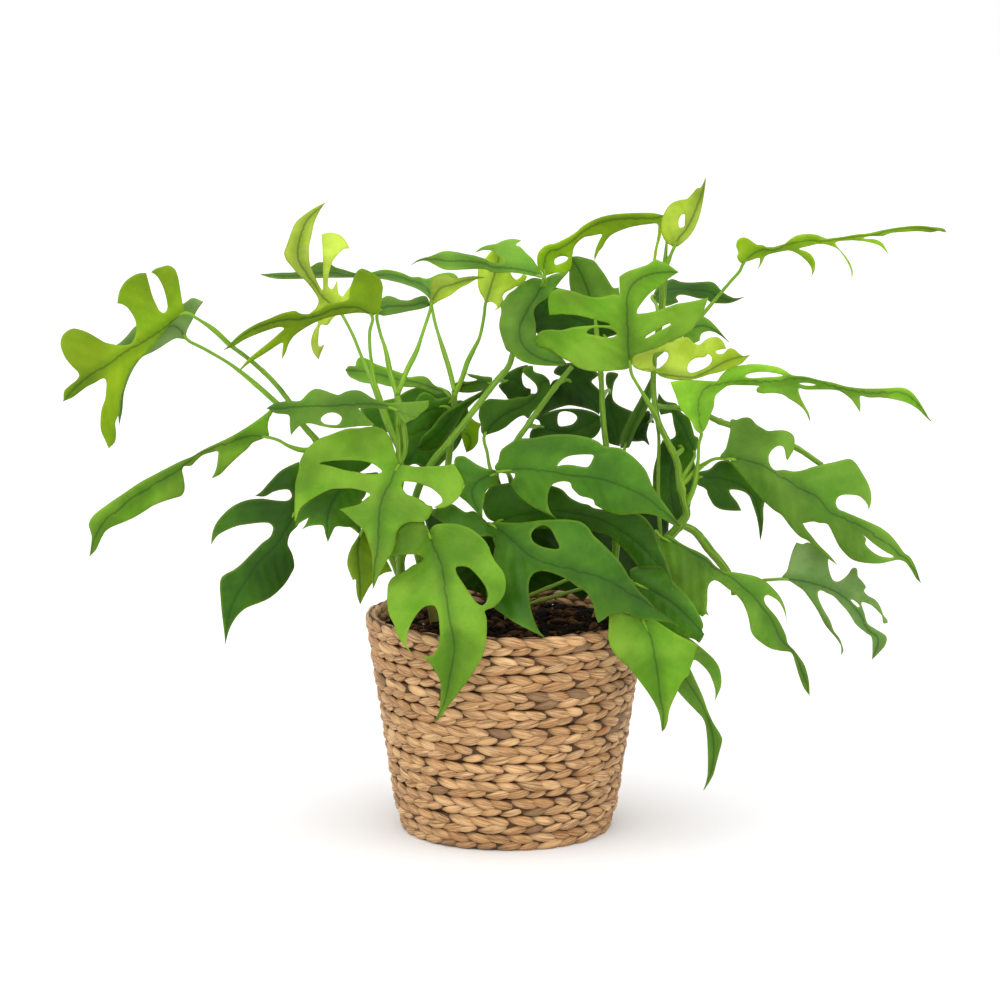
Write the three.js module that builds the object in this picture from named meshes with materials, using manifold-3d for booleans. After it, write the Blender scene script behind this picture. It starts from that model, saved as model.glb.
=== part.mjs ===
import * as THREE from 'three';
import { mergeVertices } from 'three/addons/utils/BufferGeometryUtils.js';
import Module from 'manifold-3d';

const wasm = await Module();
wasm.setup();

// Basket, in millimetres. The foot rests on the floor at z = 0.
const RIM_RADIUS = 112.5;
const FOOT_RADIUS = 86;
const BASKET_HEIGHT = 173;
const COURSES = 12;
const COURSE_BULGE = 2.6;
const WALL = 11;
const FLOOR_THICKNESS = 10;
const FOOT_ROUNDING = 8;
const RIM_OUTER_EASE = 1.6;
const RIM_INNER_EASE = 2.2;
const RIM_EASE_DEPTH = 3.5;
const BASKET_SEGMENTS = 36;
// One course of the wall from below: share of its height, and bulge as a share of the full one.
const COURSE_PROFILE = [[0, -1], [0.28, 0.85], [0.72, 0.85]];

// Soil, a little under the rim, with clear joints to the basket wall and the stems.
const SOIL_TOP = 160;
const SOIL_GAP = 0.4;
const SOIL_MOUND = 3;
const SOIL_EDGE_DROP = 2;
// The mound's knees, as a share of the basket's inner radius and of the mound's rise.
const SOIL_KNEES = [[0.93, 0], [0.6, 0.5]];
const SOIL_SEGMENTS = 30;

// Leaves. The blade is drawn a little thicker than life so that it stays sound.
const BLADE_THICKNESS = 0.9;
const CLEARANCE = 0.35;
const STALK_RADIUS = 1.5;
const STALK_FOOT_RADIUS = 2.1;
const MIDRIB_TIP_RADIUS = 0.7;
const MIDRIB_SHARE = 0.25;
const STALK_REACH = 6;
const STALK_SIDES = 5;
const STALK_FEWEST_STEPS = 3;
const STALK_MOST_STEPS = 10;
const STALK_FULL_FROM = 0.33;
const STALK_FOOT_FROM = 0.6;
const RIB_STEPS = 40;
const STEM_AXIS_SAMPLES = 80;
const STEM_STEPS_PER_KNOT = 1.2;
const STEM_SIDES = 7;
const EDGE_TOLERANCE = 1.3;
const HOLE_TOLERANCE = 0.6;

// The plant is described as it stands in front of an eye level with its upper leaves.
// A point is [across, up, behind]: millimetres right of the pot's axis, millimetres above
// its foot, both as sighted on the upright plane through the axis, and the true distance
// behind that axis. The line of sight through the first two is cut at the third.
const EYE = new THREE.Vector3(-4.8, -2368, 630);
const SIGHT_DROP = 8.83 * Math.PI / 180;
const SIGHT_LENGTH = 2436;
const SIGHT_CENTRE_UP = 259.2;

function sighted(across, up, behind) {
  const rise = up - SIGHT_CENTRE_UP;
  const ray = new THREE.Vector3(
    across - EYE.x,
    Math.cos(SIGHT_DROP) * SIGHT_LENGTH + Math.sin(SIGHT_DROP) * rise,
    -Math.sin(SIGHT_DROP) * SIGHT_LENGTH + Math.cos(SIGHT_DROP) * rise,
  );
  return EYE.clone().addScaledVector(ray, (behind - EYE.y) / ray.y);
}

const LEAF_ROUGHNESS = 0.45;
const STEM_ROUGHNESS = 0.5;
const SOIL_ROUGHNESS = 0.95;
const BASKET_ROUGHNESS = 0.85;
const STEM_GREEN = 0x6d8f35;
const SOIL_BROWN = 0x2b1d14;
const BASKET_STRAW = 0xc19a63;
const GREENS = {
  lime: 0x9cbf2e,
  light: 0x77a636,
  mid: 0x558c2a,
  deep: 0x3a6f22,
  dark: 0x234d18,
  grey: 0x6b8f4e,
};

// Stems: path and branches run through [across, up, behind, radius], from the roots upward.
const STEMS = [
  {
    name: 'stem_left',
    path: [[-80, 118, -4, 4.2], [-82, 165, -10, 4.2], [-84, 200, -22, 4], [-86, 245, -40, 3.8],
      [-85, 287, -49, 3.6], [-86, 320, -50, 3.2], [-87, 343, -48, 2.6]],
    branches: [
      [[-86, 340, -51, 2], [-83.5, 328, -55, 2.5], [-81, 312, -56, 2.5], [-80.5, 300, -54, 2.2],
        [-84, 288, -49, 1.8]],
      [[-81, 128, -6, 3.4], [-70, 124, 10, 3.6], [-66, 136, 21, 4], [-74, 165, 18, 4],
        [-92, 215, 8, 3.8], [-125, 268, -6, 3.4], [-152, 307.2, -15, 3], [-163, 320, -18, 2.8],
        [-174.4, 339.2, -22, 2.4], [-188.8, 356.8, -26, 2.2], [-204.8, 371.2, -31, 2],
        [-220.8, 383.2, -35, 1.9]],
    ],
  },
  {
    name: 'stem_middle',
    path: [[-50, 118, 6, 4], [-58, 165, 0, 4], [-70, 215, -8, 3.6], [-73, 258, -16, 3.4],
      [-60, 288, -21, 3.2], [-45, 306, -22, 3], [-25, 332, -20, 2.8], [-8, 354, -16, 2.8],
      [2, 366, -10, 2.6], [7, 382, 0, 2.6], [15, 402, 6, 2.4], [23, 420, 4, 2.4], [29, 432, -3, 2.2]],
  },
  {
    name: 'stem_back',
    path: [[-30, 118, 34, 4], [-38, 165, 32, 4], [-46, 215, 26, 3.4], [-48, 262, 18, 3],
      [-45, 300, 12, 3], [-42, 328, 8, 2.8], [-41, 346, 4, 2.6]],
    branches: [
      [[-32, 130, 34, 3.4], [-16, 125, 22, 3.6], [-2, 134, 10, 4], [2, 165, 6, 4], [2, 205, -2, 3.6],
        [6, 245, -6, 3.2], [10, 285, -6, 3], [7, 302, -4, 2.8], [18, 320, 0, 2.6], [33, 341, 4, 2.6],
        [43, 354, 6, 2.4], [53, 366, 8, 2.2]],
      [[2, 168, 5, 2.2], [14, 174, -6, 2], [32, 180, -12, 1.9], [56, 187, -16, 1.7], [70, 191, -18, 1.3]],
      [[2, 176, 4, 2.2], [22, 184, 0, 2], [46, 194, 2, 1.8], [72, 205, 4, 1.4]],
    ],
  },
  {
    name: 'stem_right',
    path: [[76, 118, -14, 4.4], [88, 165, -10, 4.4], [104, 195, -4, 4.2], [122, 220, 0, 4.2],
      [138, 238, -3, 4.2], [144.5, 248, -6, 3.6], [142.4, 257.6, -8, 3.4], [139.2, 273.6, -10, 3.6],
      [136.8, 289.6, -12, 3.1], [129.6, 305.6, -13, 2.9], [121.5, 323, -14, 2.7], [118.5, 341, -14, 2.6],
      [118, 361, -12, 2.5], [120, 385, -6, 2.6], [124, 405, -4, 3], [125.5, 425, -6, 3.2],
      [126.8, 442, -8, 2.6], [127.5, 453, -9, 1.9], [128.5, 466, -10, 1.1]],
    branches: [
      [[138, 240, -2, 3], [150.4, 234.5, 5, 3.7], [164, 218, 11, 4], [176, 203, 13, 3.8],
        [181.5, 192, 13, 3], [182, 183, 12, 2]],
      [[118.5, 336, -14, 2], [124, 334, -7, 2.2], [137, 333, 4, 2.3], [155, 329.6, 13, 2.6],
        [172, 321.6, 19, 2.8], [203, 312, 25, 2.8], [229.6, 302.4, 29, 2.7], [252.8, 287.2, 33, 2.4]],
      [[120, 326, -13, 1.5], [122.2, 310, -6, 1.5], [121.8, 280, -1, 1.6], [122, 255, 0, 1.8],
        [124, 226, 0, 2]],
      [[78, 130, -13, 3.4], [70, 125, 6, 3.6], [65, 136, 20, 4], [72, 165, 20, 4], [86, 205, 12, 3.6],
        [88, 250, 4, 3.2], [82, 290, 0, 3], [78, 320, 0, 2.6], [76, 358, 4, 2.4], [73, 384, 10, 2.2]],
    ],
  },
];

// Leaves. edge runs from the base of the blade round its tip and back; a lobe's point has "!".
// rib is the midrib from base to tip, stalk goes on from the base down to a stem.
// lean and curl tip the blade sideways and roll its sides, in depth per millimetre off the rib.
const LEAVES = [
  {
    name: 'leaf_far_left', green: 'lime', lean: 0.35, curl: 0.002,
    stalk: [[-245, 403, -43], [-234, 395.5, -40], [-220.8, 383.2, -35]],
    rib: [[-257, 409, -46], [-272, 398, -49], [-290, 386, -53], [-305, 377, -57], [-318, 368, -61],
      [-335, 357, -66], [-346, 347, -69], [-354, 338, -72]],
    edge: '-259,418 -260.5,427 -262.5,438 -265,444 -270,447 -275,446 -281,444 -284,441.5! -280,439 '
      + '-276,433 -273.5,427 -271.5,419 -271,412.5 -273.5,409 -277,410.5 -280,416 -283,423 -285.5,432 '
      + '-288,441! -294,440.5 -300.5,437.5 -305.5,433 -309,427 -310.5,421 -311,416.5! -307.5,416 '
      + '-303.5,413.5 -299.5,408.5 -296.5,402.5 -296,393.5 -297.5,388.5 -300,384.5 -307.5,383 -315,384 '
      + '-321,385.5 -327,389 -334,393 -340.5,395.5 -346.5,396.5 -351,394.5 -355,390.5 -356.5,384 '
      + '-355,378 -352,372 -347,366 -343,362 -341.5,359 -343.5,355.5 -349.5,350.5 -353.5,346.5 '
      + '-354,338! -346.5,341.5 -340.5,346 -335,350 -329,353 -324,356 -321.5,356.5 -320,354.5 '
      + '-320,347 -321,339 -323.5,332 -324.5,323 -324,314.5 -321,307.5 -318,300.5! -313,305.5 '
      + '-312,312.5 -312.5,321.5 -309.5,329 -309,338 -306,348.5 -303,358.5 -299.5,365 -294.5,371 '
      + '-289.5,375.5 -284,381 -278,388.5 -273,394.5 -265.5,402.5',
  },
  {
    name: 'leaf_far_left_behind', green: 'grey', lean: 0.2, curl: 0.002,
    stalk: [[-246, 382.5, -18], [-236.8, 377.6, -17], [-220.8, 368, -17], [-211.2, 360.8, -17],
      [-196.8, 348.8, -17], [-182.4, 336, -17], [-168, 322, -17]],
    rib: [[-254.5, 387, -18], [-265, 398, -18], [-280, 394, -20], [-293, 387, -23], [-303, 376, -27],
      [-307, 360, -31], [-307, 345, -34], [-309.5, 319, -40]],
    edge: '-256,390 -255,395 -251,403 -247,411 -242,418! -251,421 -257,417 -268,411 -280,404 -290,401 '
      + '-297,398 -303,391 -308,386 -313,382 -316,374 -316,364 -312,352 -311,340 -310.5,330 '
      + '-309.5,319! -307,330 -305.5,345 -302,356 -297,366 -291,373.5 -283,377.5 -276,381.5 -270,385.5 '
      + '-263.5,388.5',
  },
  {
    name: 'leaf_upper_left_tall', green: 'lime', lean: 0.25, curl: 0.003,
    stalk: [[-127, 400, 44], [-122, 390, 34], [-116, 375, 20], [-110, 361, 6], [-104, 345, -12],
      [-96, 322, -32], [-88, 300, -46]],
    rib: [[-133, 410, 54], [-140, 416, 58], [-148, 423.5, 62], [-153, 431, 66], [-160, 441, 72],
      [-166, 452, 78], [-166, 463, 84], [-163, 474, 89], [-159, 483, 94], [-144.5, 497.5, 100]],
    edge: '-139,404 -143,399 -148,399.5 -150,390 -149.5,382 -145,384! -148,377 -150,371.5! -154.5,378 '
      + '-156,386 -154,394 -150.5,401 -153,405 -158,407 -152,413 -150,419 -154,426.5 -160,434 '
      + '-167.5,441 -172.5,447 -176,451.5 -177.5,457 -175.5,463 -172,473 -168.5,481 -162,487 '
      + '-154,492.5 -144.5,497.5! -149,490.5 -153.5,480.5 -155.5,471 -157.5,462 -157.5,453.5 '
      + '-156.5,446.5 -153.5,439.5 -149,430 -146.8,427 -146.5,439.5 -146.5,449.5 -147,462 '
      + '-147.5,471.5! -144,473 -138.5,473 -132.5,471 -128.5,467 -125,460.5! -129.5,460 -135.5,454.5 '
      + '-139,449.5 -142,438 -142,430 -139,428 -135,435! -134,425 -131,422 -128,426 -124,431! '
      + '-124,420 -127,414',
  },
  {
    name: 'leaf_upper_left_strip', green: 'mid', lean: 1.6, curl: 0,
    stalk: [[-57, 402, 48], [-52, 385, 34], [-46, 366, 18], [-41.5, 349, 6]],
    rib: [[-60, 417, 60], [-62, 426, 66], [-68, 432, 72], [-76, 434.5, 78], [-90, 438.5, 84],
      [-105, 439, 89], [-125, 439, 94], [-145, 441, 99], [-170, 438.8, 104], [-196.5, 439, 110]],
    edge: '-57,425 -50,432 -40,436 -38.4,437.5! -41,440 -44.6,441.2 -51.3,440.7 -56.2,439.2 -60,437.3 '
      + '-63,436.4 -66,436.6 -70,437.8 -75.4,437.6 -79,439 -83.5,441 -91.5,443 -98.5,443.5 -107,441.5 '
      + '-114,440.6 -121,440.8 -129.5,443.5 -136.5,445.5 -141,448.5 -146,449.5 -151,449 -156,446 '
      + '-168.5,441.5 -181,441 -190,440 -196.5,439! -189,437 -181,436 -168.5,436 -155,436.5 -143,437 '
      + '-131.5,437 -123,437 -110,436.5 -99.5,436 -91.5,434.5 -83.5,432.5 -79,431 -73.5,429.1 '
      + '-68.7,426.7 -64.3,423.4 -61.5,420',
  },
  {
    name: 'leaf_upper_left', green: 'lime', lean: 0.5, curl: 0,
    stalk: [[-109, 394, -33], [-109, 382, -36], [-107.5, 368.5, -39], [-105.5, 355, -42],
      [-100, 338, -46], [-92, 318, -50], [-86, 300, -49]],
    rib: [[-107, 406, -30], [-118, 412.5, -31], [-135, 412, -33], [-150, 407, -36], [-165, 404, -40],
      [-180, 402.5, -45], [-200, 396.4, -53], [-212, 389.6, -58], [-225, 379, -64]],
    edge: '-101,411 -99.5,418 -99,424 -98.5,430 -101,436.5 -107,441 -112,443.5 -115.5,444.5! -119,442.5 '
      + '-123,434 -125,427 -126,420 -132.5,417.5 -143,416 -150,411 -158,408 -164.5,408.5 -168.5,410.5 '
      + '-173.5,410 -181,408 -189,404.5 -199,400.5 -211.5,393 -219.5,385.5 -225,379! -216.5,383 '
      + '-209.5,387.4 -199,392 -189,395.6 -181,397.6 -177.5,396.5 -181,393 -189,386 -199,378 '
      + '-206.5,371.5 -216,360! -204.5,369.4 -196,374.5 -189,379 -178.6,385 -178.8,380 -179.5,371.5! '
      + '-176,378 -174,384 -169.5,390.5 -158,398.5 -150,402.5 -139.5,406 -127.5,408 -118,409 -111,408',
  },
  {
    name: 'leaf_upper_left_band', green: 'mid', lean: 0.8, curl: 0,
    stalk: [[-101, 394, -18], [-96.5, 380, -26], [-92.5, 361, -36], [-88.5, 345, -46]],
    rib: [[-103, 408.5, -12], [-97, 413.5, -10], [-88, 414.5, -8], [-76, 415, -6], [-66, 417, -4],
      [-60, 415, -2]],
    edge: '-106,413 -103,418 -99.2,420.5 -95.1,422.6 -90,421.7 -84.9,419.5 -77.7,419 -71.5,421.3 '
      + '-64.4,422.4 -60,415! -67.4,412.3 -77.7,410.3 -87.9,408.2 -99.2,406.7',
  },
  {
    name: 'leaf_young_left', green: 'lime', lean: 0.9, curl: 0,
    stalk: [[-61.3, 409, -16], [-66.4, 393.8, -24], [-71.5, 378.5, -32], [-79.7, 362, -42],
      [-86.5, 344, -48]],
    rib: [[-59.8, 414.6, -14], [-57, 423, -16], [-52, 429, -18], [-44, 431.5, -22], [-36, 434, -24],
      [-28, 436, -26], [-17.7, 438, -28]],
    edge: '-54.2,418 -49.4,420.5 -43.7,423.4 -36.9,428.7 -31.2,431.5 -27.3,433.9 -22.5,437 -17.7,438! '
      + '-23.5,438.5 -28.3,438.3 -32.1,437.8 -41.7,436.8 -46.5,438.8 -51.3,438.8 -56.2,437.5 -59,435.4 '
      + '-60.2,431.5 -60.2,427.7 -60.5,420',
  },
  {
    name: 'leaf_long_left', green: 'light', lean: 0.3, curl: 0.002,
    stalk: [[-182, 307, -18], [-174, 302.5, -18], [-161.5, 299, -17], [-152, 300, -15]],
    rib: [[-191, 309.5, -18], [-200, 309.8, -20], [-210, 309, -22], [-222, 305, -25], [-232, 301.6, -28],
      [-247, 294.6, -32], [-253, 290.4, -33], [-266, 281, -36], [-283.5, 270, -40], [-300, 259.5, -44],
      [-311, 250.5, -47], [-321, 242, -50], [-327, 232, -53], [-333, 214, -58]],
    edge: '-189.5,311 -190.5,317 -189.5,324 -186.5,329.5 -184.5,335.5! -191,329.5 -201.5,321.5 '
      + '-211.5,315 -222,309 -232,304.3 -238.5,301.3 -246.5,297 -249.5,294.9 -260,290.5 -270,285.5 '
      + '-281.5,279.5 -293.5,273 -306,264.5 -318.5,256 -329.5,247.5 -332.5,243.5 -334,239.5 -333,235.5 '
      + '-331.6,230.5 -331.8,224.5 -333,214! -328,219.5 -324.5,227 -320.5,234 -315.5,237.5 -307,241 '
      + '-299,244.5 -289.5,250 -282.5,254.5 -274,258 -266,260.5 -260,262.5 -257.5,266 -257,270 -258,278 '
      + '-259,283 -257.5,286 -252,286.6 -247.5,291 -242.5,295 -236.5,297 -230.5,298 -230.5,293.5 '
      + '-232,284 -235.5,276.5! -229,279.5 -222,286.5 -213.5,294.5 -206.5,300.5 -202.5,305 -196,307.6',
  },
  {
    name: 'leaf_low_left', green: 'dark', lean: 0.1, curl: 0.002,
    stalk: [[-158, 258, -14], [-140, 252, -6], [-118, 235, 0], [-96, 220, 7]],
    rib: [[-168, 250, -22], [-176.5, 234.5, -26], [-184, 223, -30], [-195, 212, -33], [-203, 201.5, -36],
      [-212, 188, -38], [-217.5, 178, -40], [-222, 164, -42], [-224.5, 144, -46]],
    edge: '-165,260 -167,268 -165.5,278 -165.5,290! -173.5,286.5 -180.5,282.5 -188.5,274.5 -196,266 '
      + '-201,262.4! -193,262 -186.5,265.5 -178.5,267.5 -173.5,267 -171.5,262 -174.5,259 -182.5,258.8 '
      + '-194,260.3 -199,260.3 -206,259.5 -213.5,257 -220.5,253 -226.5,247.5 -232,240.5 -235,232.5 '
      + '-236,223.5! -231,230.5 -222.5,235.5 -214.5,238.5 -205,240 -196,241 -189.5,240.5 -186.5,237.5 '
      + '-187,233.5 -189,229.5 -195,225 -200,220 -206,214 -212.5,207.5 -218.5,203 -224.5,200 '
      + '-228,196.5 -229,190.5 -228.5,182 -227.5,169.5 -226,157.5 -224.5,144! -222,153.5 -219.5,159.5 '
      + '-215,166.5 -209,172 -204,174.5 -197,177 -189.5,180.5 -182.5,186 -176.5,192.5 -172.5,199 '
      + '-169.5,205 -169.5,209.5 -171,216 -174.5,223.5 -174.5,226.5 -172.5,232.5 -166,240',
  },
  {
    name: 'leaf_left_shade', green: 'deep', lean: 0.1, curl: 0.002,
    stalk: [[-110, 276, -32], [-100, 262, -30], [-95, 242, -31], [-86, 226, -34]],
    rib: [[-119, 280, -36], [-130, 270, -40], [-138, 258, -43], [-142, 248, -46],
      [-143, 238, -48], [-142.5, 225.5, -50]],
    edge: '-111,285 -106,290! -118,293 -130,292 -142,292.5 -150.5,291! -151,281 -149,270 '
      + '-155,261 -162,255 -166.5,249 -169,237.5! -164,241.5 -158,245! '
      + '-160.5,239.5 -163.5,235.5! -158,238 -152,239 -146.5,238.5 -144.5,231.5 -142.5,225.5! -140,231 '
      + '-137,237 -135.5,238 -128,237.5 -122,237 -118,232.5! -116,237 -119,241 -120,247 -118,256 '
      + '-113,262 -110,269 -104,275 -102,281 -109,281',
  },
  {
    name: 'leaf_left_rim', green: 'lime', lean: 0.2, curl: 0.002,
    stalk: [[-108, 240, -52], [-98, 232, -40], [-88, 215, -28]],
    rib: [[-114, 236, -64], [-118, 224, -68], [-118, 210, -72], [-117, 195, -76], [-116.5, 175.5, -80]],
    edge: '-116,234.5 -119,229 -124,221 -126.5,214 -127,207.5 -125,200.5 -122.5,195! -120.5,196 '
      + '-120,189.5 -119,182 -116.5,175.5! -113,183 -109,190 -105,195.5! -98,200.5 -91,202! -95,210 '
      + '-100,216 -103,222 -106,229',
  },
  {
    name: 'leaf_flat_left', green: 'mid', lean: -0.5, curl: 0.001,
    stalk: [[-86, 327, -62], [-86, 318, -52]],
    rib: [[-88.5, 331.5, -72], [-97, 334.8, -73], [-110, 336, -75], [-125, 335.5, -77],
      [-140, 334.8, -79], [-155, 334.2, -80], [-170, 333.5, -82], [-182, 332.8, -83], [-191.5, 333, -84]],
    edge: '-84,324 -80.3,320.3! -77.2,322.3 -72,324.4 -68.5,328 -63.6,332 -61.8,334.6 -61.8,338.9! '
      + '-74.1,337.9 -83.3,337.4 -91.5,337 -97.7,337.5 -105.9,340.3 -113.6,345.1 -117.2,346.7 '
      + '-121.8,347.1 -125.4,346.7 -129.5,345.4 -134.1,343.3 -138.7,344.4 -143.8,346.4 -147.9,347.7 '
      + '-152.6,348.2 -157.2,345.9 -160.8,342.3 -164.9,338.6 -174.6,338.5 -180.8,337.5 -184.9,336.7 '
      + '-191.5,333! -184.9,328.7 -179.7,328 -173.8,326.9 -173.1,319.2 -172.1,311! -165.4,318.2 '
      + '-158.2,320.5 -149,318.6 -140.8,317 -132.6,316.6 -126.4,317.2 -116.7,318.3 -110,318.4 '
      + '-104.9,319.2! -111,324.7 -118,332.4! -108,333 -97,332',
    holes: ['-148.2,323.3 -147,325.9 -143.8,328.2 -139.7,329.2 -134.8,328.2 -131.4,324.9 -133,320.8 '
      + '-135,319.4 -139.7,319.4 -145.5,320.4'],
  },
  {
    name: 'leaf_behind_stalks', green: 'light', lean: 1.1, curl: 0,
    stalk: [[-42, 338, 6]],
    rib: [[-47, 344.5, 10], [-58, 348.5, 18], [-72, 353, 28], [-88, 356, 38], [-104, 360, 48],
      [-118, 362, 56], [-128.8, 363, 62]],
    edge: '-48.9,346 -55.3,349.8 -58.9,352.6! -62.5,356.8 -66.5,358.4 -73.7,358 -78.5,357.5 -82.5,360.4 '
      + '-88,362.4 -94.6,364.8 -105.8,368.8 -110,371.6 -114.6,373.2 -118,373 -120,369.6 -120.5,366.5 '
      + '-126,366.4 -128.8,363! -125,357.8 -121,355.6 -116.2,353.6 -109.8,352.4 -102.6,352.4 -93,350 '
      + '-85,350 -78,349.5 -70,349 -62,346.5 -54,343',
  },
  {
    name: 'leaf_left_inner', green: 'deep', lean: 0.3, curl: 0,
    stalk: [[-44, 326, 4]],
    rib: [[-48, 334, 2], [-58, 332, 0], [-68, 328, -2], [-76, 322, -4], [-84, 316, -6]],
    edge: '-44,342 -50,341 -56,340.5 -60,344 -65,345.5 -69,344 -72,340! -74,334 -80,322 -84,316! -78,312 '
      + '-68,314 -57,319 -50,326',
  },
  {
    name: 'leaf_centre_edge', green: 'dark', lean: 0.6, curl: 0,
    stalk: [[-9, 350, -14]],
    rib: [[-14, 348, -12], [-24, 340, -10], [-35, 333, -8], [-46, 322, -8], [-55, 312, -8],
      [-64, 304.5, -8], [-71.5, 299.5, -8]],
    edge: '-12,351 -20,346 -31.5,340 -41,334.4 -51,327.7 -60.4,316.2 -67,310 -70,304 -71.5,299.5! '
      + '-64,299 -56,301 -50,306 -44,313 -38,322 -34,329 -26,337 -17,344',
  },
  {
    name: 'leaf_centre_small', green: 'mid', lean: 0.8, curl: 0,
    stalk: [[-8, 353, -14]],
    rib: [[-12, 352.5, -8], [-20, 353.5, 0], [-28, 352, 6], [-36, 350, 8], [-42, 351, 10]],
    edge: '-11,357 -19,358.3 -25,359.5 -32,360.5! -29,358 -23,355.4 -30,353.9 -38,354.2 -42,351! '
      + '-40,346.6 -30,345 -20,346.6 -13,349',
  },
  {
    name: 'leaf_hand_left', green: 'light', lean: 0, curl: 0.0018,
    stalk: [[-84.5, 280, -50]],
    rib: [[-85.8, 287.4, -54], [-89, 281, -58], [-93.6, 271, -65], [-97.7, 262.8, -71],
      [-100.8, 252, -79], [-101.8, 237, -91], [-102.8, 222, -101], [-104.9, 206, -109],
      [-106.5, 188, -113]],
    edge: '-89,298.7 -92.6,309 -97.7,315.4 -104.9,318 -112.1,317.6 -116.7,316.8 -126.4,316.4 '
      + '-132.6,314.6 -140.8,311.5 -149,308.5 -156.2,303.3 -159.7,299.7 -163.1,294.6 -165.4,288.5 '
      + '-165.9,283.3 -168.5,273.1 -169,261.8 -169.2,251.5 -169,241.3! -167.4,245.4 -165.4,251.5 '
      + '-160.3,256.7 -155.1,260.3 -149,263.8 -143.8,266.4 -138.7,268.2 -132.6,268.3 -123.3,268.5 '
      + '-118.2,267.4 -112.1,265.7 -108.6,263.3 -111,261.3 -114.1,258.7 -118.2,255.6 -126.4,253.6 '
      + '-133.6,251.7! -129.5,249 -124.4,244.4 -119.2,239.7 -115.1,236.2 -112.6,232.1 -110.5,225.9 '
      + '-108,217.7 -106.9,206.4 -107.1,198.2 -106.5,188! -104.9,191 -101.8,198.2 -98.7,204.4 '
      + '-94.6,211.5 -91,217.7 -89,223.8 -88.5,230 -86.4,235.1 -83.3,238.7 -78.2,241.3 -72,241.8 '
      + '-66.9,241.6 -62.8,243.8 -60.3,247.4 -58.4,251.5 -59.4,254.6! -62.8,255.1 -66.9,258.7 '
      + '-72,261.3 -79.2,263.8 -81.8,266.9 -83.3,271 -82,273.8 -77.2,273.9 -71,272.9 -65.9,271 '
      + '-60.8,269.2 -55.6,265.4 -51.5,260.8 -51,257.7 -53.6,255.6 -57.6,253.6! -54.6,252.6 '
      + '-49.5,253.2 -43.3,256.2 -38.2,260.8 -35.1,265.9 -33.4,272.1 -35.1,277.2 -39.2,284.4 '
      + '-41.8,288.3! -48.5,286.9 -59.7,286.2 -72,285.9 -80,287',
    holes: ['-149.5,288.4 -145.9,289.6 -138.7,290.6 -129.5,291.1 -120.3,290.9 -112.1,289.9 -105.9,287.7 '
      + '-101.4,284.7 -99.2,282.2 -101,280.6 -107.9,280 -114.1,280.6 -120.3,281.7 -128.5,283 '
      + '-136.7,285.3 -143.8,287.2'],
  },
  {
    name: 'leaf_front', green: 'light', lean: 0, curl: 0.0006,
    stalk: [[-65, 238, -60], [-70, 238, -44], [-77, 226, -34], [-84, 210, -26]],
    rib: [[-62, 232, -72], [-58, 222, -84], [-52, 207, -98], [-48.3, 184.6, -113], [-45, 163, -123],
      [-42, 146, -127], [-43, 130, -128], [-47.2, 108, -128], [-51.5, 93, -127], [-56.5, 81, -126]],
    edge: '-64.7,238 -65.2,241.8 -69,241.5 -75.6,241.8 -79.9,240.7 -84.8,236.9 -87.6,231.5 -88.7,222.8 '
      + '-92,217 -95,213! -90,214 -83.2,215.2 -73.4,215.6 -68,214.4 -66,211.6 -68,209.7 -74.5,207 '
      + '-79.9,203.1 -85.4,199.9 -90.8,197.2 -94.1,192.2 -95,184.6 -94.9,173.7 -93,166.1 -89.7,159.6 '
      + '-87.6,153 -84.3,146.5 -79.4,140.5 -75,135.6! -78.3,141 -79.9,145.4 -78.8,151.9 -77.2,157.4 '
      + '-73.9,163.9 -70.1,169.4 -65.8,173.4 -61.4,174.8 -58.1,174.8 -56,172.6 -53.8,165 -53.2,157.4 '
      + '-52.9,149.7 -54.3,142.1 -57.1,136.7 -60.3,134.5 -64.7,133.9 -69,136.1! -63,130.7 -59.2,125.8 '
      + '-54.9,119.2 -52.5,112.7 -52.4,102.9 -53.2,92 -55.4,85.5 -56.5,81! -51.6,86.5 -47.2,93.1 '
      + '-41.8,99.6 -35.3,108.3 -28.7,117.1 -23.3,125.8 -17.8,136.7 -16.2,145.4 -15.4,154.1 -15.6,165 '
      + '-17,170.3 -10.2,173.2 -6.9,175.9 -2.6,181.4 -0.6,186.8 -0.2,194.4 -2,201 -5.3,205.9 '
      + '-9.1,210.8 -11.8,216.2 -14,222.2 -17.8,227.7 -22.2,232 -28.7,236.4 -37.4,239.6 -45.1,240.4 '
      + '-56,239.6 -59.8,237',
    holes: ['-40,205.3 -35.3,206.2 -29.8,205.1 -25.5,201.5 -21.1,196.6 -17.3,191.2 -14.8,185.7 '
      + '-14.8,180.3 -16.7,176.4 -19.5,174.8 -23.3,177 -27.6,182.4 -32,189 -36.3,195.5 -39.6,201'],
  },
  {
    name: 'leaf_centre_front', green: 'deep', lean: 0.24, curl: -0.004,
    stalk: [[-10, 232, -20], [-2, 215, -8]],
    rib: [[-14, 240.6, -34], [-4, 234, -48], [6, 226, -62], [18, 216, -76], [32, 209, -86],
      [55, 203, -93], [80, 195, -97], [100, 184, -99], [118, 173, -101], [137.4, 158.7, -103]],
    edge: '-10,241.6 2,241 12,241 20,242 28,243 38,243.5 50,243.5 60,241.5 66,237 70,231 76,225.5 '
      + '83,218.5 90,211 95,204 99,197 107,186 114,179 120,172.5 126,168 133,162.8 137.4,158.7! '
      + '130.8,161 124.6,162 119.5,162.8 110.5,163.6 103,165.6 97,168 91.8,168.9 86,167.6 82,166.5 '
      + '78,163.5 73.6,160.8! 71.5,166.7 70,173.8 68,179 64.4,185.1 57.2,189.7 50,194.9 41.8,199 '
      + '33.6,201.7 27.4,202.3 22.3,200.5 19.2,196.4 18,189.2 18.7,180 20.3,170.8 23.3,161.5 '
      + '27.4,153.3 35.1,145.6! 30.5,149.2 21.3,153.9 11,159 3.8,163.2 -3.3,168.3 -9.5,172.8 -14,178 '
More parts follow.
